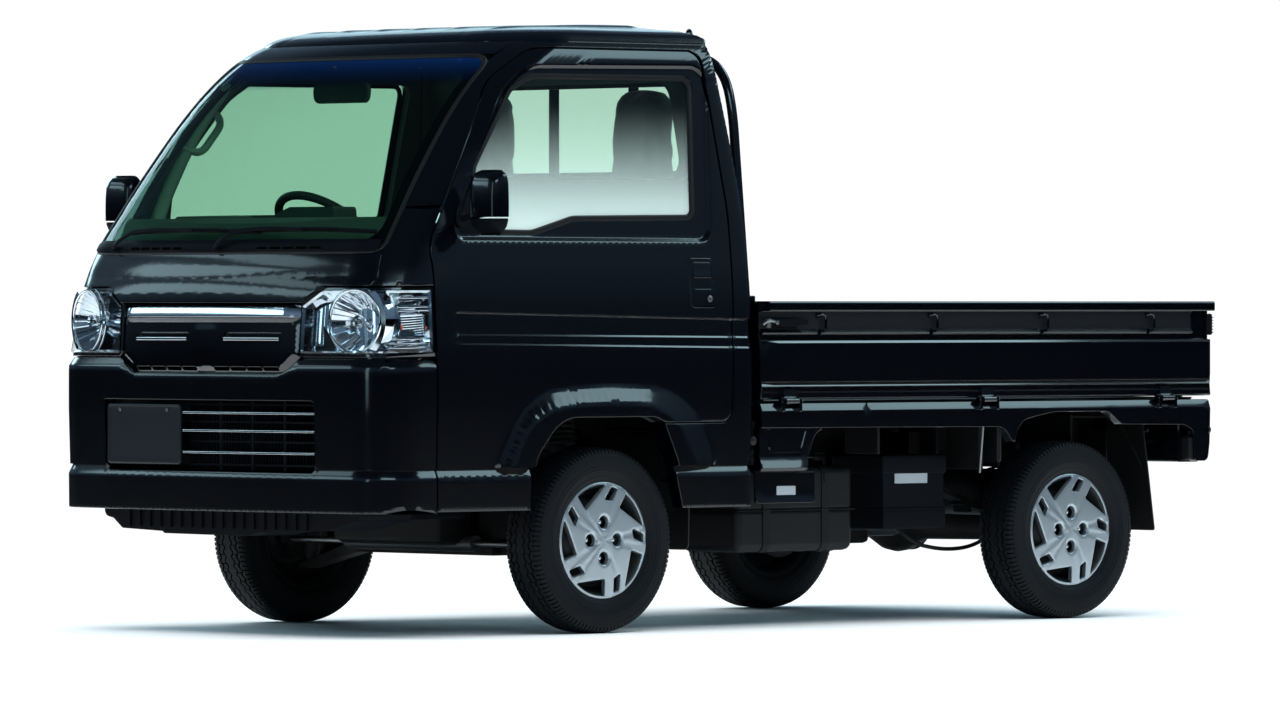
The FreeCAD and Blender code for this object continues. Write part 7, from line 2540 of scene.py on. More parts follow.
@dataclass
class Bed:
    """What the gates stand on: floor, sills, front wall, guard frame and rear end."""
    inner_x: float = 702.5
    wall_ribs_z: tuple[float, ...] = (730.0, 850.0)

    def build(self) -> None:
        """Makes the bed's fixed pieces."""
        for name, slot, finishes, nodes, meshes in (
                ("bed_floor_ribbed", "bed_paint", [INNER_ENAMEL, CHASSIS], ("bed_floor",),
                 self.floor()),
                ("bed_sill_pair", "bed_paint", [ENAMEL, INNER_ENAMEL, LABEL, RUBBER],
                 ("bed_sills",), self.sills()),
                ("front_wall_pressed", "bed_paint", [ENAMEL, INNER_ENAMEL], ("bed_front_wall",),
                 self.front_wall()),
                ("guard_frame_welded", "bed_paint", [ENAMEL, INNER_ENAMEL], ("guard_frame",),
                 self.guard()),
                ("rear_beam_folded", "bed_paint", [ENAMEL, TRIM_PLASTIC, STEEL, RUBBER],
                 ("rear_beam",), self.rear_end()),
                ("tail_lamp_lens_pair", "red_lens", [RED_LENS, FLUTED_LENS], ("tail_lights",),
                 self.lamp_lenses()),
                ("tail_lamp_case_pair", "black_plastic", [TRIM_PLASTIC, REFLECTOR, AMBER], (),
                 self.lamp_cases())):
            Piece.of(meshes).object(name, "chassis", slot, finishes, 28.0, nodes)

    def floor(self) -> list:
        """Corrugated floor sheet on its bearers."""
        xs = [-self.inner_x]
        for k in range(-13, 14):
            middle = k * 52.0
            xs += [middle - 17, middle - 12, middle + 12, middle + 17]
        xs = np.array(xs + [self.inner_x])
        high = np.array([659.8] + [654.8, 659.8, 659.8, 654.8] * 27 + [659.8])
        ys = np.array([-174.0, -150.0, -146.0, 1630.0, 1634.0, 1659.0])
        flat = np.array([1.0, 1.0, 0.0, 0.0, 1.0, 1.0])
        z = high[None] * (1 - flat[:, None]) + 659.8 * flat[:, None]
        net = np.stack([np.tile(xs, (6, 1)), np.repeat(ys[:, None], len(xs), 1), z], -1)
        faces = grid_faces(6, len(xs))
        sheet = (net.reshape(-1, 3), faces, [0] * len(faces))
        under = (net.reshape(-1, 3) - (0, 0, 3.5), [f[::-1] for f in faces], [0] * len(faces))
        meshes = [(sheet, 0), (under, 1)]
        section = rounded([(-21, -23, 5), (21, -23, 5), (21, 20, 3), (30, 22.5, 2), (-30, 22.5, 2),
                           (-21, 20, 3)], 6.0)
        for y in (-150.0, 210.0, 560.0, 900.0, 1290.0, 1600.0):
            path = np.array([(x, y + 21, 623.0) for x in np.linspace(-700, 700, 8)])
            meshes.append((sweep(path, section), 1))
        return meshes

    def side_face(self, u: np.ndarray, v: np.ndarray, lift: np.ndarray) -> np.ndarray:
        """Point of the left side's outer face."""
        return np.stack([737.5 + np.asarray(lift, float), u, v], -1)

    def sills(self) -> list:
        """Both side sills with their sloping top edge, filler quarter, lower skirt, blank
        label, hinge seats and buffer.
        """
        half = []
        outline = rounded([(-203, 582, 4), (226, 580, 2), (226, 653, 3), (-203, 653, 3)], 30.0)
        rear = rounded([(229, 580, 2), (790, 577, 60), (826, 532, 20), (836, 532, 8),
                        (860, 596, 90), (1000, 620, 300), (1232, 620, 60), (1262, 600, 60),
                        (1290, 580, 20), (1560, 577, 6), (1600, 560, 20), (1606, 466, 10),
                        (1664, 466, 20), (1672, 520, 20), (1676, 653, 6), (229, 653, 3)], 24.0)

        def top(u: np.ndarray, v: np.ndarray) -> np.ndarray:
            """Slope of the sill's top edge."""
            return -np.interp(v, (629, 632, 653), (0.0, 0.5, 10.5))
        us = np.arange(-198, 1674, 40.0)
        lines = level_lines(us, (629.0, 632.0, 643.0))
        for ring in (outline, rear):
            half.append((plate(self.side_face, ring, lines=clipped(lines, ring, (), 2.0),
                               relief=top, grid=45.0, depth=30.0, back=30.0,
                               roll=((0.0, -1.4), (0.4, -0.5), (1.4, 0.0))), 0))
        quarter = rounded([(-203, 455, 6), (-18, 455, 10), (-6, 500, 60), (24, 568, 60), (70, 581, 20),
                           (-203, 583, 2)], 12.0)
        lid = rounded([(-165, 597, 14), (-9, 597, 20), (-40, 512, 16), (-165, 512, 14)], 5.0)

        def quarter_lift(u: np.ndarray, v: np.ndarray) -> np.ndarray:
            """Lid line of the filler flap and the sloping ledge under it."""
            ledge = np.interp(v, (455, 466, 494, 500), (0.0, 10.0, -1.5, -2.0))
            points = np.c_[u, v]
            gap = edge_distance(points, [lid], 9.0)
            return ledge - 9.0 - 3.2 * (1 - smooth(0.6, 2.6, gap))
        panel_lines = level_lines(us[:6], (466.0, 494.0, 500.0))
        rims = [closed_line(offset(lid, d)) for d in (-3.2, -0.9, 0.9, 3.2)]
        half.append((plate(self.side_face, quarter,
                           lines=clipped(panel_lines + rims, quarter, (), 2.5),
                           relief=quarter_lift, grid=16.0, depth=34.0, back=34.0), 0))
        skirt = rounded([(-203, 362, 10), (38, 362, 14), (38, 452, 8), (-203, 452, 4)], 20.0)
        half.append((plate(lambda u, v, w: self.side_face(u, v, np.asarray(w) - 24.0), skirt,
                           lines=[np.array([(-190.0, 374.0), (30.0, 374.0)])],
                           relief=lambda u, v: -5.0 * smooth(372, 376, v),
                           grid=30.0, depth=10.0, back=10.0), 0))
        label = rounded(box_rows(-118, 386, -42, 412, 2), 8.0)
        half.append((slab(label, lambda u, v, w: self.side_face(u, v, np.asarray(w) - 27.4), 1.0,
                          0.4), 2))
        for y in SIDE_HINGES_Y:
            for s in (-1, 1):
                at = y + s * 34.0
                half.append((soft_box((728, at - 6, 628), (749, at + 6, 668), 3.0), 0))
            half.append((rod([(744, y - 42, 659), (744, y + 42, 659)], 4.2, 12), 0))
        half.append((lathe([(-8, 15), (0, 15), (6, 13), (9, 8), (10, 0.01)][::-1],
                           (716, -222, 545), count=22), 3))
        return both_sides(half)

    def front_wall(self) -> list:
        """Front wall of the bed: a pressed panel between two corner posts."""
        def face(u: np.ndarray, v: np.ndarray, lift: np.ndarray) -> np.ndarray:
            """Point of the face that looks back."""
            return np.stack([-u, -175 + np.asarray(lift, float), v], -1)

        def relief(u: np.ndarray, v: np.ndarray) -> np.ndarray:
            """Depth of the long pressings."""
            within = 1 - smooth(610, 640, np.abs(u))
            return -7.0 * pressings(v, self.wall_ribs_z, 26) * within
        outline = rounded([(-716, 652, 3), (716, 652, 3), (716, 950, 8), (-716, 950, 8)], 40.0)
        lines = pressing_lines(np.arange(-700, 701, 50.0), self.wall_ribs_z, 26)
        rail = [(x, -190, 935) for x in np.linspace(-722, 722, 16)]
        section = rounded([(-16, -14, 5), (16, -14, 5), (16, 15, 7), (-16, 15, 7)], 3.0)
        return [(plate(face, outline, lines=clipped(lines, outline), relief=relief, grid=55.0,
                       depth=30.0, back=30.0), 0), (sweep(np.array(rail), section), 0)]

    def guard(self) -> list:
        """Frame behind the cab: leaning posts and top rail of one tube, bars and hooks."""
        bow = [(655, -190, 945), (600, -190, 1500), (572, -190, 1600), (500, -190, 1661),
               (-500, -190, 1661), (-572, -190, 1600), (-600, -190, 1500), (-655, -190, 945)]
        oval = np.array([(13.5 * math.cos(a), 15.0 * math.sin(a)) for a in np.arange(0, 6.28, 0.42)])
        path = respaced(bent(np.array(bow, float), 60.0), 60.0, False)
        meshes = [(sweep(path, oval, (0, 1, 0)), 0)]
        section = rounded(box_rows(-12, -12, 12, 12, 4), 3.0)
        for s in (-1, 1):
            bar = np.array([(s * 174, -190, z) for z in np.linspace(945, 1650, 10)])
            meshes.append((sweep(bar, section, (0, 1, 0)), 0))
            hook = [(s * 405, -190, 1655), (s * 405, -190, 1736), (s * 414, -190, 1744),
                    (s * 423, -190, 1736), (s * 423, -190, 1655)]
            meshes.append((rod(hook, 5.0, 10, bend=12.0, step=4.0), 0))
            foot = soft_box((s * 650 - 34, -203, 940), (s * 650 + 34, -177, 966), 4.0)
            meshes.append((foot, 0))
        cross = np.array([(x, -190, 1192) for x in np.linspace(-625, 625, 12)])
        meshes.append((sweep(cross, section), 0))
        return meshes

    def rear_end(self) -> list:
        """Folded rear beam with its hinge seats, tie hooks, wiring and buffers."""
        section = rounded([(-44, -68, 8), (44, -68, 8), (44, 68, 6), (-44, 68, 6), (-44, 60, 2),
                           (36, 60, 5), (36, -60, 7), (-44, -60, 2)], 10.0)
        beam = [(x, 1607, 531) for x in np.linspace(-706, 706, 20)]
        meshes = [(sweep(np.array(beam), section), 0)]
        top = rounded(box_rows(-24, -4, 24, 4, 2), 6.0)
        meshes.append((sweep(np.array([(x, 1600, 540) for x in np.linspace(-700, 700, 8)]), top), 0))
        for x in REAR_HINGES_X:
            for s in (-1, 1):
                at = x + s * 34.0
                meshes.append((soft_box((at - 6, 1652, 594), (at + 6, 1696, 668), 4.0), 0))
            meshes.append((rod([(x - 42, 1689, 659), (x + 42, 1689, 659)], 4.2, 12), 2))
        for s in (-1, 1):
            hook = [(s * 300, 1640, 470), (s * 300, 1640, 442), (s * 300, 1610, 430),
                    (s * 300, 1585, 446), (s * 300, 1585, 470)]
            meshes.append((rod(hook, 7.0, 10, bend=22.0, step=5.0), 0))
            wire = [(s * 660, 1640, 545), (s * 640, 1600, 552), (s * 600, 1560, 520),
                    (s * 520, 1540, 540), (s * 420, 1540, 560)]
            meshes.append((rod(wire, 5.0, 8, bend=40.0, step=8.0), 1))
            meshes.append((lathe([(-16, 13), (-14, 15), (0, 15), (2, 11), (14, 11)][::-1],
                                 (s * 650, 1600, 545), "y", 16), 1))
            meshes.append((lathe([(0, 15), (6, 15), (12, 12), (15, 7), (16, 0.01)][::-1],
                                 (s * 727, 1664, 560), "y", 18), 3))
        return meshes

    def lamp_lenses(self) -> list:
        """Red, clear and amber fields of the tail lamps' lenses."""
        meshes = []
        for s in (-1, 1):
            for (low, high), mark in (((612, 668), 0), ((670, 700), 1), ((702, 730), 0)):
                ring = rounded(box_rows(low, 482, high, 588, 5), 8.0)
                meshes.append((slab(ring, lambda u, v, w, s=s: np.stack(
                    [s * u, 1668.0 + np.asarray(w, float), v], -1), 3.0, 2.0), mark))
                if s > 0:
                    points, faces, marks = meshes[-1][0]
                    meshes[-1] = ((points, [f[::-1] for f in faces], marks), mark)
        return meshes

    def lamp_cases(self) -> list:
        """Cases behind the lenses, with reflector and bulbs."""
        meshes = []
        for s in (-1, 1):
            low, high = min(s * 609, s * 732), max(s * 609, s * 732)
            meshes.append((soft_box((low, 1652, 479), (high, 1661, 591), 3.0), 0))
            for x in (640, 685, 716):
                meshes.append((lathe([(0, 14), (3, 11), (4, 0.01)][::-1], (s * x, 1660.6, 535), "y",
                                     18), 1))
        return meshes


# ---- under the body ----------------------------------------------------------------
def strap(loop: np.ndarray, y: float, width: float = 28.0, thick: float = 3.0) -> Mesh3:
    """Flat band round a closed loop of x, z points, at one y."""
    path = np.c_[loop[:, 0], np.full(len(loop), y), loop[:, 1]]
    half, rise = width / 2, thick / 2
    section = np.array([(-half, -rise), (half, -rise), (half, rise), (-half, rise)])
    return sweep(path, section[:, ::-1], up=(0, 1, 0), closed=True)


@dataclass
class Underbody:
    """What hangs under the cab and the bed."""
    axle_y: float = 1100.0
    axle_z: float = 266.0
    front_y: float = -800.0
    ball_joint: tuple[float, float, float] = (575.0, -800.0, 190.0)
    strut_top: tuple[float, float, float] = (480.0, -800.0, 700.0)
    tank_low: tuple[float, float, float] = (352.0, -178.0, 217.0)
    tank_high: tuple[float, float, float] = (604.0, 298.0, 468.0)
    battery_low: tuple[float, float, float] = (420.0, 380.0, 276.0)
    battery_high: tuple[float, float, float] = (640.0, 649.0, 496.0)

    def build(self) -> None:
        """Makes the pieces under the body."""
        for name, slot, finishes, nodes, parts in (
                ("battery_cover_moulded", "black_plastic", (TRIM_PLASTIC, LABEL, CHASSIS),
                 ("battery_box",), self.battery()),
                ("fuel_tank_welded", "tank_steel", (TANK, CHASSIS, STEEL), ("fuel_tank",),
                 self.tank()),
                ("exhaust_welded", "tank_steel", (TANK, CHASSIS), ("exhaust",), self.exhaust()),
                ("leaf_spring_pair", "spring_steel", (CHASSIS, STEEL), ("leaf_springs",),
                 self.springs()),
                ("rear_axle_cast", "cast_parts", (CAST, CHASSIS), ("rear_axle",), self.axle()),
                ("front_strut_pair", "spring_steel", (CHASSIS, STEEL, RUBBER), ("front_struts",),
                 self.struts()),
                ("mudguard_set", "black_rubber", (RUBBER, CHASSIS), ("mudguards",),
                 self.mudguards()),
                ("brake_cable_drawn", "black_rubber", (RUBBER, STEEL), ("brake_cable",),
                 self.cable()),
                ("engine_cast", "alloy", (ALLOY, CHASSIS, RUBBER), ("engine",), self.engine()),
                ("undertray_moulded", "black_plastic", (TRIM_PLASTIC, CHASSIS), (),
                 self.undertray()),
                ("rear_brackets", "black_metal", (CHASSIS, STEEL, LABEL), (), self.brackets())):
            Piece.of(parts).object(name, "chassis", slot, finishes, 32.0, nodes)

    def battery(self) -> list:
        """Battery cover: deep lid and foot bands, a plain label, a handle and its bracket."""
        (x0, y0, z0), (x1, y1, z1) = self.battery_low, self.battery_high
        parts = [(soft_box((x0 + 4, y0 + 6, z0 + 6), (x1 - 5, y1 - 8, z1 - 8), 8.0), 0),
                 (soft_box((x0, y0, z1 - 58), (x1, y1, z1), 9.0), 0),
                 (soft_box((x0, y0 + 3, z0), (x1 - 1, y1 - 3, z0 + 60), 9.0), 0),
                 (soft_box((x0, y0 + 2, z0 + 56), (x1 + 1, y1 - 2, z0 + 62), 2.0), 0),
                 (soft_box((x1 - 8, y0 + 52, z1 - 86), (x1 - 3, y0 + 190, z1 - 36), 3.0, 1), 1),
                 (soft_box((x1 - 9, y0 + 46, z1 - 92), (x1 - 4, y0 + 196, z1 - 30), 3.0, 1), 0),
                 (rod([(x0 + 60, y0 + 40, z1), (x0 + 60, y0 + 60, z1 + 16),
                       (x0 + 60, y1 - 60, z1 + 16), (x0 + 60, y1 - 40, z1)], 4.0, bend=14.0), 2),
                 (soft_box((330, y0 + 50, 440), (x0 + 6, y1 - 49, 458), 3.0, 1), 2),
                 (soft_box((330, y0 + 50, 440), (348, y1 - 49, 500), 3.0, 1), 2)]
        return parts

    def tank(self) -> list:
        """Pressed tank: two halves on a seam flange, straps, a drain plug and filler neck."""
        (x0, y0, z0), (x1, y1, z1) = self.tank_low, self.tank_high
        seam = (z0 + z1) / 2 - 4
        parts = [(soft_box((x0, y0, z0), (x1, y1, seam + 12), 26.0, 4), 0),
                 (soft_box((x0, y0, seam - 12), (x1, y1, z1), 26.0, 4), 0),
                 (soft_box((x0 - 2, y0 - 2, seam - 1.5), (x1 + 6, y1 + 2, seam + 1.5), 1.2, 1), 0)]
        loop = rounded(box_rows(x0 - 1, z0 - 1, x1 + 1, z1 + 1, 27), 6.0)
        for y in (y0 + 118, y1 - 120):
            parts.append((strap(loop, y), 1))
            parts.append((soft_box((x1 - 6, y - 7, z1 - 50), (x1 + 6, y + 7, z1 - 20), 2.0, 1), 1))
        for y in np.linspace(y0 + 60, y1 - 60, 4):
            parts.append((soft_box((x0 + 30, y - 6, z0 - 2), (x1 - 30, y + 6, z0 + 8), 4.0), 0))
        parts.append((lathe([(-3, 0.01), (-3, 11), (4, 11)], (470, 60, z0), "z", 6), 2))
        parts.append((rod([(x1 - 60, y0 + 60, z1 - 20), (x1 - 40, y0 + 40, z1 + 30),
                           (x1 + 40, y0 + 60, 540)], 17.0, 16, bend=30.0), 1))
        return parts

    def exhaust(self) -> list:
        """Silencer with rolled end seams, its pipes and hangers."""
        body = [(-240, 0.01), (-240, 40), (-236, 58), (-230, 74), (-232, 80), (-226, 80),
                (-224, 77), (224, 77), (226, 80), (232, 80), (230, 74), (236, 58), (240, 40),
                (240, 0.01)]
        parts = [(lathe(body[::-1], (-40, 1400, 360), "x", 48), 0)]
        pipe = [(-150, 960, 330), (-170, 1080, 372), (-330, 1180, 372), (-330, 1330, 360),
                (-300, 1400, 360), (-270, 1400, 360)]
        parts.append((rod(pipe, 19.0, 16, bend=60.0), 0))
        parts.append((rod([(190, 1400, 345), (270, 1400, 340), (310, 1460, 330),
                           (310, 1560, 322)], 17.0, 16, bend=40.0), 0))
        for x in (-180, 90):
            ring = 81 * np.c_[np.cos(np.arange(40) * math.pi / 20),
                              np.sin(np.arange(40) * math.pi / 20)]
            path = np.c_[np.full(40, x), 1400 + ring[:, 0], 360 + ring[:, 1]]
            flat = np.array([(-1.5, -12), (1.5, -12), (1.5, 12), (-1.5, 12)])
            parts.append((sweep(path, flat, up=(1, 0, 0), closed=True), 1))
            parts.append((soft_box((x - 12, 1392, 438), (x + 12, 1408, 520), 4.0), 1))
        parts.append((soft_box((-292, 1380, 515), (292, 1420, 548), 5.0), 1))
        return parts

    def springs(self) -> list:
        """Three-leaf springs with rolled eyes, clips and axle bolts."""
        parts = []
        for k, half in enumerate((420.0, 330.0, 215.0)):
            y = np.linspace(-half, half, 33)
            z = 332 - 9 * k + (450 - 332) * (y / 420.0) ** 2
            path = np.c_[np.full(33, 440.0), self.axle_y + y, z]
            flat = rounded(box_rows(-3.6, -30, 3.6, 30, 2), 12.0)
            parts.append((sweep(path, flat, up=(1, 0, 0)), 0))
        for s in (-1, 1):
            eye = self.axle_y + 420 * s
            parts.append((lathe([(-31, 0.01), (-31, 15), (31, 15), (31, 0.01)][::-1],
                                (440, eye, 452), "x", 24), 0))
            parts.append((lathe([(-37, 0.01), (-37, 9), (37, 9), (37, 0.01)][::-1],
                                (440, eye, 452), "x", 6), 1))
            parts.append((soft_box((408, self.axle_y + s * 190 - 8, 316),
                                   (472, self.axle_y + s * 190 + 8, 362), 3.0), 0))
            for x in (408, 472):
                parts.append((rod([(x, self.axle_y + s * 38, 210), (x, self.axle_y + s * 38, 344)],
                                  5.0, 10), 1))
        parts.append((soft_box((402, self.axle_y - 46, 334), (478, self.axle_y + 46, 344), 3.0), 0))
        return both_sides(parts)

    def axle(self) -> list:
        """Beam axle with its final-drive housing, brake drums and dampers."""
        beam = [(-570, 0.01), (-570, 34), (-150, 38), (-110, 56), (-70, 74), (-30, 80), (10, 74),
                (50, 56), (90, 40), (570, 34), (570, 0.01)]
        at = (0, self.axle_y, self.axle_z)
        parts = [(lathe(beam[::-1], at, "x", 40), 0)]
        cover = [(0, 0.01), (0, 56), (-8, 68), (-20, 70), (-20, 75), (-30, 75)]
        parts.append((lathe([(70 + a, r) for a, r in cover], (-20, self.axle_y, self.axle_z),
                            "y", 32), 0))
        halves = []
        drum = [(556, 0.01), (556, 108), (561, 108), (563, 101), (596, 101), (600, 96), (600, 28),
                (690, 27), (690, 0.01)]
        halves.append((lathe(drum[::-1], at, "x", 48), 0))
        halves.append((soft_box((410, self.axle_y - 40, 284), (470, self.axle_y + 40, 306), 4.0), 1))
        halves.append((rod([(380, self.axle_y + 62, 250), (360, self.axle_y + 110, 520)], 17.0), 1))
        return parts + both_sides(halves)

    def struts(self) -> list:
        """Damper rod, coil spring, gaiter and top seat of each front leg."""
        low, top = np.array(self.ball_joint), np.array(self.strut_top)
        along = (top - low) / np.linalg.norm(top - low)
        side = np.cross(along, (0, 1, 0))
        side /= np.linalg.norm(side)

        def on(z: float) -> np.ndarray:
            """Point of the leg's axis at a height."""
            return low + along * (z - low[2]) / along[2]
        turns = np.linspace(0, 4.6 * 2 * math.pi, 130)
        rise = np.linspace(0, 1, 130)[:, None]
        start, end = on(560), on(634)
        ring = start + (end - start) * rise
        ring = ring + 51 * (np.cos(turns)[:, None] * side + np.sin(turns)[:, None] * np.array(
            (0.0, 1.0, 0.0)))
        parts = [(rod(ring, 6.0, 10), 0), (rod([on(505), on(664)], 9.8, 14), 1),
                 (rod([on(632), on(650)], 62.0, 32), 0), (rod([on(548), on(556)], 60.0, 32), 0)]
        parts += [(rod([on(575 + 9 * k), on(580 + 9 * k)], 24.0, 20), 2) for k in range(6)]
        return both_sides(parts)

    def mudguards(self) -> list:
        """Rear flaps with ribs and stays, front guards of the rear wheels, front flaps."""
        def hung(y: float) -> Callable:
            """Places a sheet square to the truck's length."""
            return lambda u, v, w: np.stack([np.asarray(u), y + np.asarray(w, float), v], -1)
        rows = [(540, 258, 4), (724, 258, 6), (700, 420, 20), (672, 600, 10), (520, 600, 4)]
        flap = rounded(rows, 12.0)
        parts = [(slab(flap, hung(1448.0), 6.0, 1.5), 0)]
        for x, low, high in ((610, 300, 580), (640, 300, 560)):
            parts.append((soft_box((x - 3, 1443, low), (x + 3, 1450, high), 2.5), 0))
        parts.append((soft_box((590, 1443, 424), (694, 1449, 432), 2.5), 0))
        parts.append((rod([(560, 1452, 560), (690, 1452, 560)], 5.0), 1))
        parts.append((rod([(590, 1430, 590), (676, 1446, 440)], 4.0), 1))
        guard = rounded([(577, 470, 6), (724, 470, 10), (724, 600, 6), (577, 600, 6)], 12.0)
        parts.append((slab(guard, hung(788.0), 5.0, 1.5), 0))
        parts.append((soft_box((716, 776, 474), (722, 794, 598), 2.5), 0))
        fore = rounded([(470, 232, 16), (694, 232, 20), (700, 520, 6), (470, 560, 6)], 14.0)
        parts.append((slab(fore, hung(-451.0), 5.0, 1.5), 0))
        for x in (520, 600, 660):
            parts.append((soft_box((x - 3, -455, 262), (x + 3, -449, 430), 2.5), 0))
        parts.append((soft_box((474, -456, 424), (692, -444, 440), 3.0), 1))
        return both_sides(parts)

    def cable(self) -> list:
        """Brake cable on its chosen route, with its ferrule and bracket."""
        route = [(395, 640, 300), (450, 690, 226), (470, 800, 206), (480, 900, 212),
                 (470, 1010, 250), (470, 1064, 266)]
        return [(rod(route, 6.0, 12, bend=48.0, step=6.0), 0),
                (rod([(392, 636, 304), (408, 653, 284)], 8.5, 10), 1),
                (rod([(470, 1046, 260), (470, 1068, 267)], 8.5, 10), 1)]

    def engine(self) -> list:
        """Engine and gearbox block with its sump, ribs, pulley cover and mounts."""
        parts = [(soft_box((-248, 442, 262), (248, 800, 468), 22.0, 3), 0),
                 (soft_box((-200, 470, 222), (200, 760, 280), 18.0, 3), 1),
                 (soft_box((-150, 790, 240), (150, 958, 440), 30.0, 3), 0)]
        for x in np.arange(-216, 230, 36.0):
            parts.append((soft_box((x - 3, 436, 290), (x + 3, 450, 450), 2.0, 1), 0))
        for x, z, radius in ((-110, 330, 62), (70, 380, 40), (120, 290, 34)):
            pulley = [(12, 0.01), (12, radius * 0.4), (2, radius * 0.5), (2, radius - 6),
                      (10, radius), (-14, radius), (-14, 0.01)]
            parts.append((lathe([(-a, r) for a, r in pulley][::-1], (x, 436, z), "y", 32), 1))
        for y in (425, 990):
            parts.append((soft_box((-290, y - 14, 446), (290, y + 14, 520), 6.0), 1))
            for x in (-200, 200):
                parts.append((lathe([(-24, 0.01), (-24, 26), (24, 26), (24, 0.01)][::-1],
                                    (x, y, 450), "y", 24), 2))
        return parts

    def ribbed(self, low: tuple, high: tuple, mark: int) -> list:
        """Moulded cover: a shell with a bolting flange, bolts and ribs across its base."""
        (x0, y0, z0), (x1, y1, z1) = low, high
        seam = z0 + 0.7 * (z1 - z0)
        parts = [(soft_box((x0 + 12, y0 + 12, z0), (x1 - 12, y1 - 12, seam), 18.0), mark),
                 (soft_box((x0 + 20, y0 + 20, seam - 4), (x1 - 20, y1 - 20, z1), 14.0), mark),
                 (soft_box((x0, y0, seam - 5), (x1, y1, seam), 2.0, 1), mark)]
        for y in np.linspace(y0 + 36, y1 - 36, 4):
            parts.append((soft_box((x0 + 30, y - 3, z0 - 5), (x1 - 30, y + 3, z0 + 8), 2.0, 1), mark))
        for x in (x0 + 7, x1 - 7):
            for y in (y0 + 7, y1 - 7):
                parts.append((lathe([(-9, 0.01), (-9, 5), (-4, 5)], (x, y, seam), "z", 6), mark))
        return parts

    def undertray(self) -> list:
        """Skirt under the bumper, and seven covers that close the view under the body."""
        def low(u: np.ndarray, v: np.ndarray, w: np.ndarray) -> np.ndarray:
            """Sheet square to the truck's length, under the bumper."""
            return np.stack([np.asarray(u), -1600.0 - np.asarray(w, float), v], -1)
        skirt = rounded([(-560, 400, 4), (-560, 330, 20), (-520, 322, 10), (-480, 294, 10),
                         (-300, 288, 6), (-290, 282, 4), (60, 280, 8), (140, 292, 10),
                         (420, 300, 20), (560, 330, 20), (560, 400, 4)], 14.0)
        parts = [(plate(low, skirt, grid=60.0, depth=200.0), 0)]
        for x in np.arange(-440, 380, 46.0):
            parts.append((soft_box((x - 2, -1606, 300), (x + 2, -1596, 380), 1.5, 1), 0))
        for low, high, mark in (((-300, -1480, 300), (300, -1300, 470), 0),
                                ((-420, -1290, 330), (420, -1020, 450), 0),
                                ((-250, -1020, 250), (250, -870, 440), 1),
                                ((-262, -700, 262), (262, -460, 640), 1),
                                ((-330, -470, 300), (330, -230, 560), 1),
                                ((300, -470, 380), (600, -200, 660), 1),
                                ((-600, -470, 380), (-300, -200, 660), 1)):
            parts += self.ribbed(low, high, mark)
        return parts

    def brackets(self) -> list:
        """Hangers, stays and pipes under the bed."""
        parts = [(soft_box((560, 720, 450), (700, 740, 598), 4.0), 0),
                 (rod([(700, 724, 440), (716, 724, 590)], 3.5), 1),
                 (soft_box((380, 700, 420), (540, 712, 600), 4.0), 0),
                 (rod([(300, 560, 600), (560, 560, 580), (700, 560, 596)], 6.0, bend=20.0), 1),
                 (rod([(340, -120, 480), (340, 400, 490), (330, 900, 470)], 6.0, bend=20.0), 1),
                 (soft_box((560, 300, 500), (700, 312, 640), 4.0), 0),
                 (soft_box((560, -20, 480), (700, -8, 640), 4.0), 0)]
        return both_sides(parts[:1] + parts[2:]) + parts[1:2] + [
            (soft_box((-300, 1480, 440), (300, 1500, 600), 6.0), 0),
            (soft_box((300, 1250, 500), (560, 1262, 610), 5.0), 0),
            (soft_box((676, 1586, 470), (732, 1640, 540), 8.0), 0)]


# ---- studio ------------------------------------------------------------------------
@dataclass(frozen=True)
class Softbox:
    """One soft light; a fill is left out of glossy reflections."""
    name: str
    place: tuple[float, float, float]
    size: tuple[float, float]
    power: float
    aim: tuple[float, float, float] = (0.0, 0.0, 0.8)
    tone: tuple[float, float, float] = (0.6, 0.9, 1.0)
    fill: bool = False

    def make(self) -> None:
        """Adds the light."""
        data = bpy.data.lights.new(self.name, "AREA")
        data.shape, data.size, data.size_y = "RECTANGLE", self.size[0], self.size[1]
        data.energy, data.color = self.power, self.tone
        lamp = bpy.data.objects.new(self.name, data)
        lamp.location = self.place
        lamp.visible_camera = False
        lamp.visible_glossy = not self.fill
        lamp.rotation_euler = (Vector(self.aim) - Vector(self.place)).to_track_quat(
            "-Z", "Y").to_euler()
        bpy.context.scene.collection.objects.link(lamp)


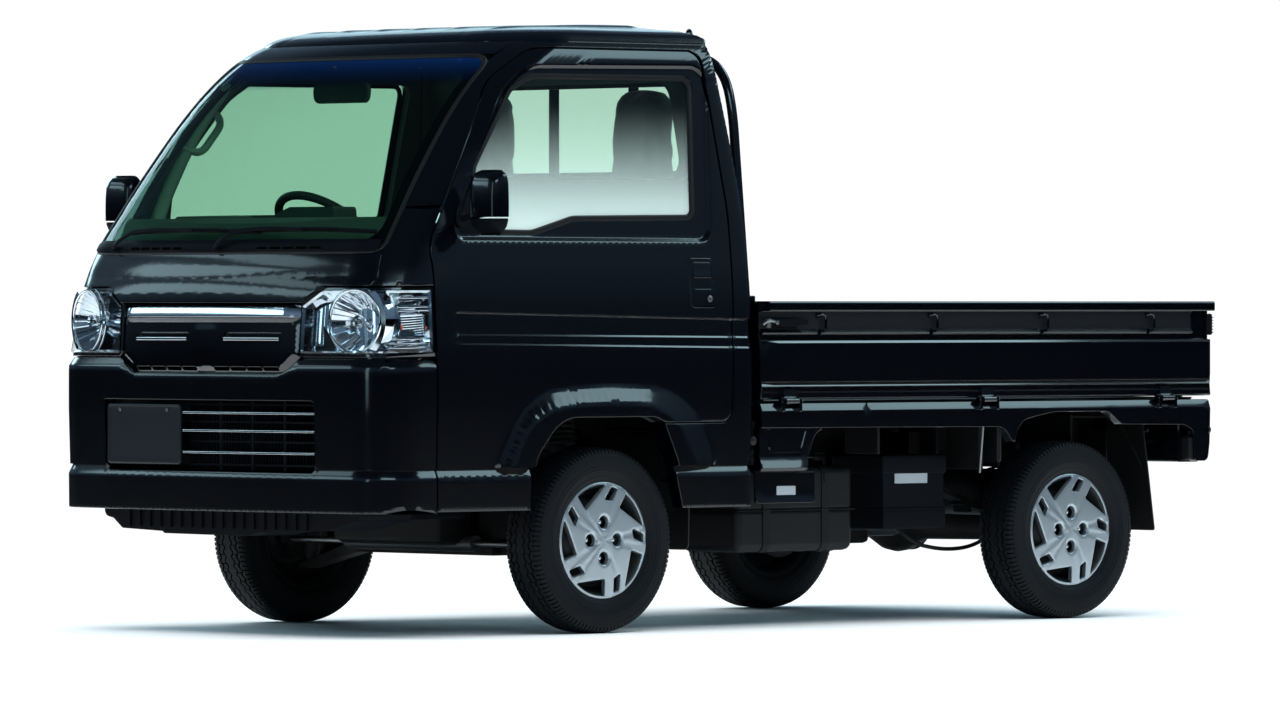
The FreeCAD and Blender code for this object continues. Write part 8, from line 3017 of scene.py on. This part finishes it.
@dataclass
class Studio:
    """Camera, pale floor and soft lights, in metres."""
    eye: tuple[float, float, float] = (20.253, -18.7256, 0.9367)
    aim: tuple[float, float, float] = (-0.0383, 0.0325, 0.7914)
    lens: float = 260.95
    floor_radius: float = 5.0
    sky_tone: tuple[float, float, float] = (0.42, 0.68, 1.0)
    boxes: tuple[Softbox, ...] = (
        Softbox("overhead", (0.5, 0.0, 6.5), (13.0, 11.0), 1500.0, (0.5, 0.0, 0.0), (1, 1, 1), True),
        Softbox("front_left", (7.5, -7.0, 5.6), (5.0, 1.8), 150.0),
        Softbox("front_right", (-6.5, -6.8, 4.0), (5.5, 1.4), 70.0),
        Softbox("front_high", (-8.0, -6.2, 6.5), (6.0, 1.3), 50.0),
        Softbox("rear_left", (5.6, 7.5, 6.6), (7.0, 2.4), 230.0),
        Softbox("rear_high", (0.7, 6.4, 7.0), (4.0, 1.6), 120.0),
        Softbox("back_right", (-7.8, 4.6, 3.6), (5.0, 3.2), 50.0),
        Softbox("corner_strip", (1.5, -9.5, 2.4), (0.9, 3.6), 30.0),
        Softbox("far_side", (-8.0, 0.8, 3.4), (4.0, 2.0), 120.0, (-0.6, -1.2, 1.3)),
        Softbox("cab_fill", (0.5, -0.9, 1.5), (0.5, 0.3), 1.5, (-0.6, -0.9, 1.35),
                (0.9, 1.0, 0.95), True),
    )

    def camera(self) -> None:
        """Long lens, level with the bumper."""
        data = bpy.data.cameras.new("view")
        data.lens, data.sensor_width, data.clip_end = self.lens, 36.0, 200.0
        camera = bpy.data.objects.new("view", data)
        camera.location = self.eye
        camera.rotation_euler = (Vector(self.aim) - Vector(self.eye)).to_track_quat(
            "-Z", "Y").to_euler()
        bpy.context.scene.collection.objects.link(camera)
        bpy.context.scene.camera = camera

    def floor(self) -> None:
        """Pale matt studio floor."""
        points, faces = [(0, 0, 0)], []
        rings = (0.5, 1, 2, 3, 4, self.floor_radius)
        count = 64
        for radius in rings:
            points += [(radius * math.cos(a), radius * math.sin(a), 0)
                       for a in np.arange(count) * 2 * math.pi / count]
        faces += [(0, 1 + i, 1 + (i + 1) % count) for i in range(count)]
        for r in range(len(rings) - 1):
            base = 1 + r * count
            faces += [(base + i, base + count + i, base + count + (i + 1) % count,
                       base + (i + 1) % count) for i in range(count)]
        mesh = bpy.data.meshes.new("studio_floor")
        mesh.from_pydata(points, [], faces)
        mesh.materials.append(FLOOR.make())
        thing = bpy.data.objects.new("studio_floor", mesh)
        thing.location.z = -0.0005
        bpy.context.scene.collection.objects.link(thing)

    def sky(self) -> None:
        """Dim surround, brightest a little above the horizon; the camera sees plain white."""
        world = bpy.data.worlds.new("studio")
        bpy.context.scene.world = world
        world.use_nodes = True
        tree = world.node_tree
        tree.nodes.clear()
        place = add(tree, "ShaderNodeTexCoord").outputs["Generated"]
        height = add(tree, "ShaderNodeSeparateXYZ", {}, {0: place}).outputs["Z"]
        ramp = add(tree, "ShaderNodeValToRGB", {}, {0: height})
        stops = ((0.0, 0.002), (0.03, 0.01), (0.08, 0.1), (0.2, 0.25), (0.4, 0.28), (0.6, 0.05),
                 (0.8, 0.08), (1.0, 0.1))
        ramp.color_ramp.elements[0].position = 0.0
        for position, value in stops[1:-1]:
            ramp.color_ramp.elements.new(position)
        for element, (position, value) in zip(ramp.color_ramp.elements, stops):
            element.position = position
            element.color = [value * share for share in self.sky_tone] + [1.0]
        soft = add(tree, "ShaderNodeBackground", {"Strength": 0.9}, {"Color": ramp.outputs[0]})
        white = add(tree, "ShaderNodeBackground", {"Color": (1, 1, 1, 1), "Strength": 1.05})
        seen = add(tree, "ShaderNodeLightPath").outputs["Is Camera Ray"]
        both = add(tree, "ShaderNodeMixShader", {}, {0: seen, 1: soft.outputs[0],
                                                     2: white.outputs[0]})
        add(tree, "ShaderNodeOutputWorld", {}, {"Surface": both.outputs[0]})

    def build(self) -> None:
        """Sets up the studio."""
        self.camera()
        self.floor()
        self.sky()
        for box in self.boxes:
            box.make()
        view = bpy.context.scene.view_settings
        view.view_transform, view.look = "Standard", "None"


def dress_frame(frame: dict) -> None:
    """Gives each CAD node that still shows its own finish.
    """
    finishes = {
        "frame_rails": CHASSIS, "cross_members": CHASSIS, "front_subframe": CHASSIS,
        "front_struts": STEEL, "lower_arms": CAST, "rack_housing": ALLOY,
        "cab_floor": INNER_ENAMEL, "front_bumper": ENAMEL, "number_plate": PLATE,
        "grille": GLOSS_PLASTIC, "nose_panel": ENAMEL, "headlights": REFLECTOR,
        "side_frame": ENAMEL, "roof_panel": ENAMEL, "back_panel": ENAMEL,
        "windscreen": SCREEN_GLASS, "rear_window": REAR_GLASS, "dashboard": DASH_PLASTIC,
        "steering_column": DASH_PLASTIC, "seats": CLOTH, "wipers": TRIM_PLASTIC,
        "bed_floor": INNER_ENAMEL, "bed_sills": ENAMEL, "bed_front_wall": ENAMEL,
        "rear_beam": ENAMEL, "guard_frame": ENAMEL, "tail_lights": RED_LENS,
        "mudguards": RUBBER, "rear_axle": CAST, "leaf_springs": CHASSIS, "engine": ALLOY,
        "fuel_tank": TANK, "battery_box": TRIM_PLASTIC, "exhaust": TANK, "brake_cable": RUBBER,
        "door_glass": DOOR_GLASS, "door": ENAMEL, "mirror": TRIM_PLASTIC, "gate": ENAMEL,
        "tailgate": ENAMEL, "knuckle": CAST, "tie_rods": STEEL, "steering_wheel": DASH_PLASTIC,
        "tyre": TYRE, "rim": WHEEL_STEEL,
    }
    for name, thing in frame["nodes"].items():
        key = max((k for k in finishes if name.startswith(k)), key=len)
        thing.data.materials.clear()
        thing.data.materials.append(finishes[key].make())


def main() -> None:
    """Loads the frame, builds each sub-assembly and reports its pieces."""
    logging.basicConfig(level=logging.INFO, format="%(message)s")
    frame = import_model()
    Studio().build()
    dress_frame(frame)
    builders = [Door(side) for side in Side] + [CabShell()]
    builders += [Front(), Lamp(Side.LEFT), Lamp(Side.RIGHT), Bed()]
    builders += [Gate(side) for side in Side] + [Tailgate(), Interior(), Underbody()]
    builders += [Wheel(end, side) for end in WHEEL_PLACES for side in Side]
    for builder in builders:
        builder.build()


if __name__ == "__main__":
    main()
